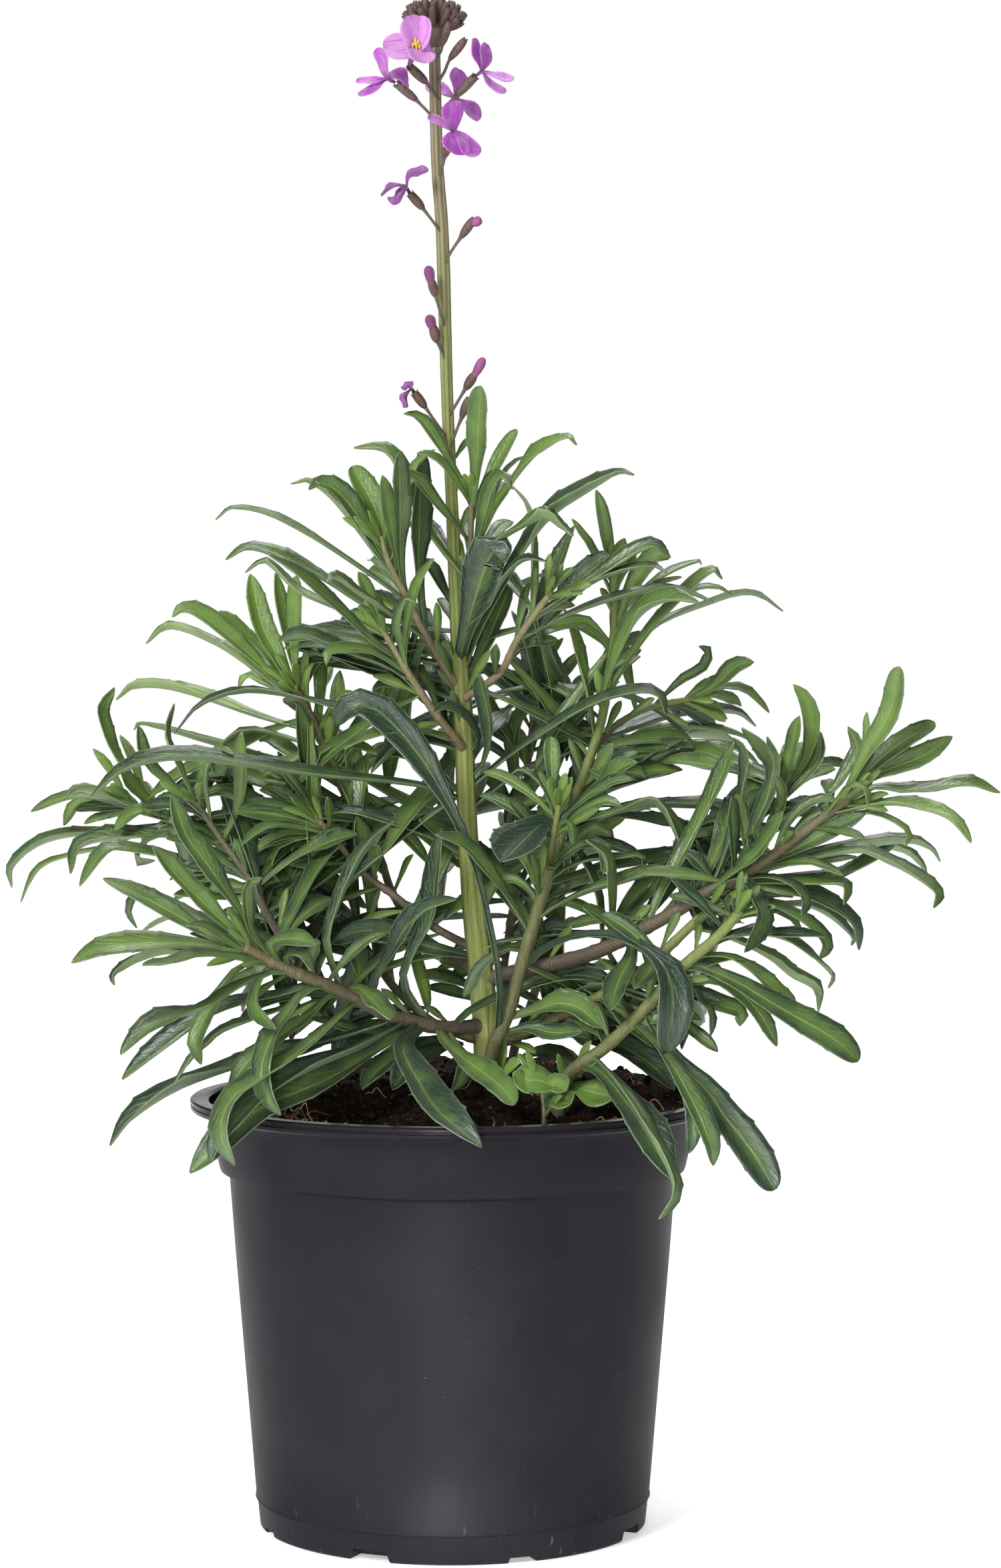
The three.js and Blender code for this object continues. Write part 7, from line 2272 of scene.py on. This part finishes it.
BUD_CUP = SepalCup(
    "closed_bud", 10.0, 8,
    ((0, 0.5), (0.06, 1.1), (0.25, 1.65), (0.5, 1.9), (0.75, 1.75), (0.92, 1.3), (1.0, 0.8), (0.95, 0.4)),
    0.16, 0.6)
OPEN_CUP = SepalCup(
    "open_calyx", 10.0, 16,
    (
        (0, 0.5), (0.04, 0.95), (0.14, 1.4), (0.32, 1.75), (0.55, 1.85), (0.75, 1.75), (0.9, 1.6),
        (1.0, 1.6), (0.9, 1.2)),
    0.12, 1.5)
FURLED_CUP = SepalCup(
    "furled_petals", 10.0, 12,
    ((0, 0.7), (0.2, 1.35), (0.45, 1.9), (0.7, 2.1), (0.87, 1.75), (0.97, 1.0), (1.0, 0.4)), 0.14, 0.3)


@dataclass
class Flowering:
    """The buds and flowers along the main stem, and the dense head of buds on top."""

    sepal: bpy.types.Material
    stalk_skin: bpy.types.Material
    petal_skin: bpy.types.Material
    pollen: bpy.types.Material
    head_at: tuple[float, float, float] = (-6.6, 534.5, 0)
    head_rows: tuple[tuple[float, int, float], ...] = (
        (0, 1, 15.5), (3.4, 6, 15), (6.6, 11, 14.2), (9.4, 15, 12.8), (11.2, 15, 10.2), (10.6, 6, 7.4))
    root_spread: float = 0.42
    root_height: float = 4.5
    stalk_radius: float = 0.62
    petal_width: float = 10.0
    front_petals: tuple[float, float] = (1.22, 0.85)
    other_petals: tuple[float, float] = (1.1, 0.1)
    core_radii: tuple[float, ...] = (2.2, 3.4, 5.4, 6, 5.4, 2)
    anther_count: int = 7
    anther_radius: float = 0.62

    def __post_init__(self) -> None:
        """Model the masters."""
        self.rng = np.random.default_rng(FINE_SEED)
        self.bud = BUD_CUP.build(self.sepal)
        self.cup = OPEN_CUP.build(self.sepal)
        self.furled = FURLED_CUP.build(PetalSkin(
            "furled_mauve_petal", limb="#7c2f6c", pale="#a25a90", vein="#5a1c4e", claw="#6c305c").make())
        self.petal = Blade(
            "mauve_petal", Outline.PETAL, PETAL_STATIONS, 8, thickness=0.25, rib=0.0, root_width=1.2)
        self.petal_master = self.petal.build(self.petal_skin, self.petal_skin)
        fading = PetalSkin(
            "fading_mauve_petal", limb="#7b3a85", pale="#a873ab", vein="#5a2460", claw="#5d3358",
            relief_depth=0.8).make()
        self.faded_master = self.petal.build(fading, fading)

    @staticmethod
    def place(point: Sequence[float]) -> np.ndarray:
        """Return a sheet point's place in space."""
        return SHEET.in_space(np.array([point]))[0]

    def stalk(self, row: BloomRow | BudRow) -> bpy.types.Object:
        """Draw the thin stalk from the main stem to the foot of the calyx.

        Args:
            row: The flower or bud.

        Returns:
            The stalk.
        """
        foot, mouth = (self.place(point) for point in row.calyx)
        inside = foot + unit(mouth - foot) * 0.8
        knots = [self.place(point) for point in row.stalk] + [inside]
        places = smooth_curve(knots, np.linspace(0, 1, 14))
        radii = self.stalk_radius * np.interp(np.linspace(0, 1, 14), (0, 0.2, 0.8, 1), (1.25, 0.9, 0.9, 1.4))
        piece = tube("stalk", places, radii, 8, self.stalk_skin)
        put_tone(piece, 0.4)
        return piece

    def calyx(self, name: str, row: BloomRow | BudRow, is_open: bool) -> None:
        """Args:
            name: The flower's or bud's name.
            row: Its row of the layout.
            is_open: Tells an open flower from a bud.
        """
        foot, mouth = (self.place(point) for point in row.calyx)
        kind, master = (OPEN_CUP, self.cup) if is_open else (BUD_CUP, self.bud)
        cup = kind.stand(master, foot, mouth, 0.92 if is_open else 1.0, 0.25, self.rng.uniform(0, 1.5))
        declare(gather(name + "_sepals", [cup, self.stalk(row)]), "calyx", name + "_calyx")

    def petals(self, name: str, row: BloomRow) -> None:
        """Args:
            name: The flower's name.
            row: Its row of the layout.
        """
        mouth = self.place(row.calyx[1])
        axis = unit(self.place(row.face) - mouth)
        is_spent = name in ("bloom_withered", "bloom_spent")
        widening, paleness = self.front_petals if name == "bloom_front" else self.other_petals
        master = self.faded_master if is_spent else self.petal_master
        members = []
        for shape in row.petals:
            steps = len(shape.points) - 1
            points = [row.calyx[1]] + [
                (a, h, row.face[2] + shape.reach * i / steps) for i, (a, h) in enumerate(shape.points)]
            manner = Manner.of_petal(self.rng)
            if is_spent:
                manner = Manner(0.6, 0.14, 2.2, manner.phase, 0.7, 0.06)
            seen = shape.width * widening
            broadest = min(self.petal_width, self.petal.broadening[0] * seen)
            widest = max(seen / self.petal.seen_most, broadest)
            tone = paleness + self.rng.uniform(-0.08, 0.08)
            members.append(self.petal.lay(master, LaidPath(points), seen, axis, manner, tone, widest))
        declare(gather(name + "_corolla", members), "petals", name + "_petals")

    def head(self) -> None:
        draw = random_stream(LAYOUT_SEED)
        foot = self.place(self.head_at)
        members = []
        for spread, count, height in self.head_rows:
            for i in range(count):
                angle = 2 * math.pi * (i + 0.5 * draw()) / count
                jitter = 0.8 * (draw() - 0.5)
                outward = np.array([math.cos(angle), math.sin(angle), 0])
                tip = foot + outward * (spread + jitter) + UP * (height + jitter)
                root = foot + outward * spread * self.root_spread + UP * self.root_height
                tip += unit(tip - root) * 0.6
                girth = self.rng.uniform(0.75, 0.98)
                tone = self.rng.uniform(-0.1, 0.35)
                members.append(BUD_CUP.stand(self.bud, root, tip, girth, tone, self.rng.uniform(0, 1.5)))
        heights = np.linspace(-2, 9, len(self.core_radii))
        core = tube("head_core", foot + np.outer(heights, UP), np.array(self.core_radii), 12, self.sepal)
        put_tone(core, 0.3)
        declare(gather("flower_head_buds", [*members, core]), "calyx", "flower_head")

    def anthers(self) -> None:
        row = BLOOMS["bloom_front"]
        middle = self.place(row.face) + np.array([0.0, -1.9, 0.3])
        members = []
        for i in range(self.anther_count):
            deselect_all()
            bpy.ops.mesh.primitive_ico_sphere_add(subdivisions=2, radius=self.anther_radius * MM)
            anther = take_new("anther")
            angle, out = GOLDEN_TURN * i, self.anther_radius * math.sqrt(i)
            with Bench(anther) as bench:
                bench.pick(lambda place: True)
                bench.scale(0.7, 0.9, 1.5)
                bench.pick(lambda place: abs(place.x) < 0.1)
                bench.scale(1, 0.75, 1)
                bench.pick(lambda place: True)
                offset = (out * math.cos(angle), 0.3 * math.sin(3 * angle), out * math.sin(angle))
                bench.move(*(middle + offset))
            anther.data.materials.append(self.pollen)
            members.append(anther)
        declare(gather("front_flower_anthers", members), "anthers", "bloom_front_anthers")

    def build(self) -> None:
        """Build all flowers, buds and the head."""
        for name, row in BLOOMS.items():
            self.calyx(name, row, True)
            self.petals(name, row)
        for name, row in BUDS.items():
            self.calyx(name, row, False)
            if row.tip:
                start, end = (self.place(point) for point in row.tip)
                start = self.place(row.calyx[1]) - unit(end - start) * 3
                tip = FURLED_CUP.stand(self.furled, start, end, 0.95, 0.1, 0.4)
                declare(gather(name + "_furled_petals", [tip]), "petals", name + "_tip")
        self.head()
        self.anthers()
        for master in (self.bud, self.cup, self.furled, self.petal_master, self.faded_master):
            bpy.data.objects.remove(master)


# Pot and soil


@dataclass
class NurseryPot:
    """The round nursery pot: turned wall and floor, a wide collar, a beaded lip and a notched foot."""

    skin: bpy.types.Material
    steps: int = 160
    notches: int = 8
    first_notch: float = -114.0
    deep: tuple[float, float] = (4.0, 17.0)
    shallow: tuple[float, float] = (2.0, 12.0)
    notch_reach: float = 60.0
    notch_depth: float = 24.0
    notch_taper: float = 0.78
    profile: tuple[tuple[float, float], ...] = (
        (0, 0), (30, 0), (60, 0), (69.2, 0), (70, 0.7), (71.0, 10.1), (71.7, 10.5), (71.6, 11.0),
        (71.4, 11.4), (73.6, 38), (76.1, 68), (78.7, 99), (80.8, 126.6), (81.2, 128.2), (82, 128.8),
        (83.4, 128.9), (84.1, 129.3), (84.5, 130.4), (86.2, 138), (87.7, 145.6), (88.7, 149.6),
        (89.4, 150.6), (94.1, 150.9), (94.8, 151.5), (94.9, 152.6), (94.3, 152.9), (94.3, 153.3),
        (95, 153.7), (95, 154.6), (94.3, 155.2), (91, 155.2), (89.4, 155.1), (88.3, 154.3), (88, 152.6),
        (84.9, 134), (83.4, 130.9), (82.6, 130.3), (80.2, 130.1), (79.4, 129.6), (79.2, 127), (68.5, 2.5),
        (34, 2.5), (0, 2.5))

    def cutter(self, angle: float, height: float, width: float) -> bpy.types.Object:
        """Model the block that cuts one notch, wider at its foot.

        Args:
            angle: Where round the pot, in degrees.
            height: The notch's height in millimetres.
            width: Its width at the foot.

        Returns:
            The block.
        """
        middle = self.notch_reach + self.notch_depth / 2
        deselect_all()
        bpy.ops.mesh.primitive_cube_add(size=MM)
        block = take_new("notch")
        with Bench(block) as bench:
            bench.pick(lambda place: True)
            bench.scale(self.notch_depth, width, height + 2)
            bench.move(middle, 0, height / 2 - 1)
            bench.pick(lambda place: place.z > 0)
            bench.scale(1, self.notch_taper, 1, (middle, 0, height))
            bench.pick(lambda place: True)
            bpy.ops.transform.rotate(value=-math.radians(angle), orient_axis="Z", center_override=(0, 0, 0))
        return block

    def build(self) -> None:
        pot = spin_profile("nursery_pot", self.profile, self.steps)
        angles = [self.first_notch + 360 / self.notches * i for i in range(self.notches)]
        blocks = [
            self.cutter(angle, *(self.shallow if i % 2 else self.deep)) for i, angle in enumerate(angles)]
        cutters = gather("notches", blocks)
        apply_modifier(pot, "BOOLEAN", operation="DIFFERENCE", object=cutters, solver="EXACT")
        bpy.data.objects.remove(cutters)
        pot.data.materials.clear()
        pot.data.materials.append(self.skin)
        deselect_all()
        pot.select_set(True)
        bpy.context.view_layer.objects.active = pot
        bpy.ops.object.shade_smooth_by_angle(angle=math.radians(35))
        declare(pot, "pot_plastic", "pot")




@dataclass
class Peatland:
    """The soil that fills the pot, with crumbs and dry fibres on it."""

    skin: bpy.types.Material
    fibre: bpy.types.Material
    rise: float = 13.0
    crown: float = 8.0
    crown_at: tuple[float, float] = (13.0, 0.0)
    crown_spread: float = 38.0
    roughness: float = 1.6
    edge: float = 85.6
    steps: int = 132
    half_depth: float = 88.0
    crumbs: int = 520
    rim_crumbs: int = 16
    rim_height: float = 155.4
    rim_radii: tuple[float, float] = (86, 92.5)
    strands: int = 90
    clumps: tuple[tuple[float, float, float, int, float], ...] = (
        (11, -76, 7, 16, 3), (34, -74, 8, 10, 3), (50, -62, 8, 8, 2), (-56, -60, 9, 14, 8),
        (-40, -70, 8, 8, 5))

    def height(self, x: float, y: float) -> float:
        """Return the soil's height at a place, all in millimetres.

        Args:
            x: How far to the right the place is.
            y: How far behind the pot's axis it is.

        Returns:
            The height.
        """
        back = (y + self.half_depth) / (2 * self.half_depth)
        apart = math.hypot(x - self.crown_at[0], y - self.crown_at[1])
        rough = math.sin(x * 0.31 + 1.3) * math.cos(y * 0.27) + 0.6 * math.sin(x * 0.83 - y * 0.61)
        lumps = noise.noise(Vector((x, y, 0)) * 0.16) * 1.6 + noise.noise(Vector((x, y, 9)) * 0.45) * 0.9
        heap = self.crown * math.exp(-((apart / self.crown_spread) ** 2))
        return SOIL_TOP + self.rise * back + heap + self.roughness * rough + lumps

    def ground(self) -> bpy.types.Object:
        """Turn the body of soil and raise its top into lumps.

        Returns:
            The soil.
        """
        radii = np.linspace(self.edge, 2.6, 34)
        profile = [
            (0, 2.9), (66, 2.9), (76.9, 118), (78.4, 130.6), (82.9, 131.5), (84.4, 138),
            *[(r, 200.0) for r in radii],
            (0, 200.0)]
        soil = spin_profile("peat", profile, self.steps)
        points = points_of(soil)
        top = points[:, 2] > 190
        points[top, 2] = [self.height(x, y) for x, y in points[top, :2]]
        put_points(soil, points)
        soil.data.materials.clear()
        soil.data.materials.append(self.skin)
        return soil

    def scatter(self, rng: np.random.Generator) -> list[bpy.types.Object]:
        """Scatter crumbs of peat over the soil, a few of them on the rim at the right.

        Args:
            rng: The source of chance.

        Returns:
            The crumbs.
        """
        deselect_all()
        bpy.ops.mesh.primitive_ico_sphere_add(subdivisions=1, radius=MM)
        master = take_new("crumb")
        with Bench(master) as bench:
            bench.pick(lambda place: place.z > 0.3)
            bench.scale(0.8, 1.15, 0.7)
        master.data.materials.append(self.skin)
        flat = points_of(master)
        crumbs = []
        for i in range(self.crumbs):
            on_rim = i < self.rim_crumbs
            angle = rng.uniform(-0.1, 0.5) if on_rim else rng.uniform(0, 2 * math.pi)
            radius = rng.uniform(*self.rim_radii) if on_rim else self.edge * math.sqrt(rng.uniform(0, 0.99))
            x, y = radius * math.cos(angle), radius * math.sin(angle)
            size = rng.uniform(0.5, 1.2) if on_rim else rng.uniform(0.5, 2.1)
            z = self.rim_height + 0.3 * size if on_rim else self.height(x, y) + 0.2 * size
            crumb = copy_of(master, "crumb")
            jagged = flat * rng.uniform(0.6, 1.3, flat.shape) * size
            put_points(crumb, jagged + (x, y, z))
            crumbs.append(crumb)
        bpy.data.objects.remove(master)
        return crumbs

    def strand(
        self, x: float, y: float, length: float, rng: np.random.Generator, lift: float = 0.0
    ) -> bpy.types.Object:
        """Draw one fibre that lies and kinks over the soil.

        Args:
            x: Where it starts.
            y: Where it starts.
            length: Its length.
            rng: The source of chance.
            lift: How far its middle rises off the soil.

        Returns:
            The fibre.
        """
        bearing = rng.uniform(0, 2 * math.pi)
        places = []
        for i in range(9):
            arch = lift * math.sin(math.pi * i / 8)
            places.append((x, y, self.height(x, y) + arch + rng.uniform(0.2, 1.8)))
            bearing += rng.uniform(-0.7, 0.7)
            x += length / 8 * math.cos(bearing)
            y += length / 8 * math.sin(bearing)
            over = math.hypot(x, y) / (self.edge - 1)
            x, y = (x / over, y / over) if over > 1 else (x, y)
        radius = rng.uniform(0.14, 0.34)
        return tube(
            "strand", smooth_curve(places, np.linspace(0, 1, 17)), np.full(17, radius), 4, self.fibre)

    def build(self) -> None:
        """Build the soil with what lies on it, and declare both."""
        rng = np.random.default_rng(FINE_SEED + SOIL_NUMBER)
        declare(gather("peat_with_crumbs", [self.ground(), *self.scatter(rng)]), "soil", "soil")
        strands = []
        for x, y, spread, count, lift in self.clumps:
            for _ in range(count):
                at = rng.normal(0, spread / 2, 2)
                strands.append(
                    self.strand(x + at[0], y + at[1], rng.uniform(8, 22), rng, rng.uniform(0, lift)))
        for _ in range(self.strands - len(strands)):
            angle, radius = rng.uniform(0, 2 * math.pi), self.edge * math.sqrt(rng.uniform(0, 0.95))
            strands.append(
                self.strand(radius * math.cos(angle), radius * math.sin(angle), rng.uniform(7, 26), rng))
        declare(gather("dry_fibres", strands), "soil")


# Studio


@dataclass
class Studio:
    """A white floor, a white surround, soft lamps and the camera at the photograph's place."""

    lens: float = 88.35
    pitch: float = 2.14
    floor_size: float = 14.0
    dim: float = 0.22
    white: float = 1.02

    def camera(self) -> None:
        """Stand the camera where the plant is seen as it is set out."""
        data = bpy.data.cameras.new("studio_camera")
        data.lens = self.lens
        data.sensor_width = 36
        data.clip_end = 60
        camera = bpy.data.objects.new("studio_camera", data)
        camera.location = tuple(SHEET.eye * MM)
        camera.rotation_euler = (math.radians(90 - self.pitch), 0, 0)
        bpy.context.scene.collection.objects.link(camera)
        bpy.context.scene.camera = camera

    def lamp(
        self, name: str, place: Sequence[float], aim: Sequence[float], size: float, power: float,
        spread: float = 180.0,
    ) -> None:
        """Hang one square soft lamp.

        Args:
            name: Its name.
            place: Where it hangs, in metres.
            aim: What it points at.
            size: The length of its sides.
            power: Its power in watts.
            spread: The angle that its light leaves it in, in degrees.
        """
        data = bpy.data.lights.new(name, "AREA")
        data.size = size
        data.energy = power
        data.spread = math.radians(spread)
        lamp = bpy.data.objects.new(name, data)
        lamp.location = place
        lamp.rotation_euler = (Vector(aim) - Vector(place)).to_track_quat("-Z", "Y").to_euler()
        bpy.context.scene.collection.objects.link(lamp)

    def build(self) -> None:
        """Build the floor, the surround and the lamps."""
        deselect_all()
        bpy.ops.mesh.primitive_plane_add(size=self.floor_size)
        floor = take_new("studio_floor")
        floor.data.materials.append(PaintedFloor().make())
        scene = bpy.context.scene
        scene.world = self.surround()
        scene.view_settings.view_transform = "Standard"
        self.lamp("key_lamp", (-1.1, -1.7, 1.5), (0, 0, 0.28), 0.8, 49)
        self.lamp("front_lamp", (-0.1, -2.0, 0.3), (0, 0, 0.08), 0.4, 8)
        self.lamp("pot_lamp", (-0.12, -1.5, 0.08), (0, 0, 0.04), 0.15, 0.23, spread=13)
        self.lamp("fill_lamp", (1.6, -0.3, 1.4), (0, 0, 0.3), 0.9, 0.3)
        self.lamp("top_lamp", (0.2, 0.7, 1.9), (0, 0, 0.35), 1.0, 22)

    def surround(self) -> bpy.types.World:
        """Make the surround: white behind the plant, as the photograph has it, and dim to the front.

        Returns:
            The surround.
        """
        world = bpy.data.worlds.new("studio_surround")
        world.use_nodes = True
        tree = world.node_tree
        way = add_node(tree, "SeparateXYZ", [add_node(tree, "TexCoord", output="Generated")], 1)
        white = add_node(tree, "MapRange", [way, 0.93, 0.975, self.dim, self.white], **SMOOTH)
        plug(tree, tree.nodes["Background"], {"Color": (1, 1, 1, 1), "Strength": white})
        return world


def main() -> None:
    """Build the whole plant in its pot."""
    logging.basicConfig(level=logging.INFO, format="%(message)s")
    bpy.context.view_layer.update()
    studio = Studio()
    studio.camera()
    studio.build()
    upper = LeafSkin("hairy_leaf_upper_face").make()
    lower = LeafSkin(
        "hairy_leaf_lower_face", old="#5b7454", young="#93a867", rib="#a8b98a", hair="#a9b8a4",
        rib_share=0.5, rib_relief=0.9, roughness=0.6).make()
    bark = StemSkin("young_bark_under_flat_hairs").make()
    tan_bark = StemSkin("tan_bark_under_flat_hairs", foot="#76684f", tip="#7b7a4e", streak="#6a574c").make()
    olive_bark = StemSkin(
        "olive_bark_under_flat_hairs", foot="#56562f", tip="#76823f", streak="#5a4c36").make()
    # The main stem's ridges get painted shade in each groove
    green_bark = StemSkin(
        "ridged_flowering_stem", foot="#808c42", tip="#867b60", streak="#746b49", hair="#96966c",
        turns=(0.6, 0.95), grooved=0.8).make()
    barks = {"main_stem": green_bark, **dict.fromkeys(OLIVE, olive_bark), **dict.fromkeys(TAN, tan_bark)}
    NurseryPot(PotPlastic().make()).build()
    Peatland(Peat().make(), DryFibre().make()).build()
    shop = BladeShop(upper, lower)
    shoots = []
    ridged = {"sides": 40, "ridges": 7, "ridge_height": 0.06, "swelling": 0.02}
    for number, (name, row) in enumerate(LEAFY_STEMS.items()):
        look = ridged if name == "main_stem" else {}
        shoots.append(LeafyStem(name, row, shop, barks.get(name, bark), number, **look))
    thicket = Thicket([path for shoot in shoots for _, path, _ in shoot.laid])
    for shoot in shoots:
        declare(shoot.build(thicket), "main_stem" if shoot.name == "main_stem" else "foliage", shoot.name)
    log.info("leaves by size: %s", shop.tally)
    shop.clear_away()
    weed_leaf = LeafSkin(
        "smooth_weed_leaf", old="#28431b", young="#5d7c2f", rib="#788c44", hair="#5b713b").make()
    weed_shop = BladeShop(weed_leaf, weed_leaf)
    for number, (name, row) in enumerate(WEEDS.items()):
        weed = LeafyStem(
            name, row, weed_shop, bark, WEED_NUMBER + number,
            sides=8, rings=24, tuft_leaves=2, axil_every=60)
        declare(weed.build(), "weed", name)
    weed_shop.clear_away()
    Flowering(SepalSkin().make(), bark, PetalSkin().make(), Pollen().make()).build()


if __name__ == "__main__":
    main()
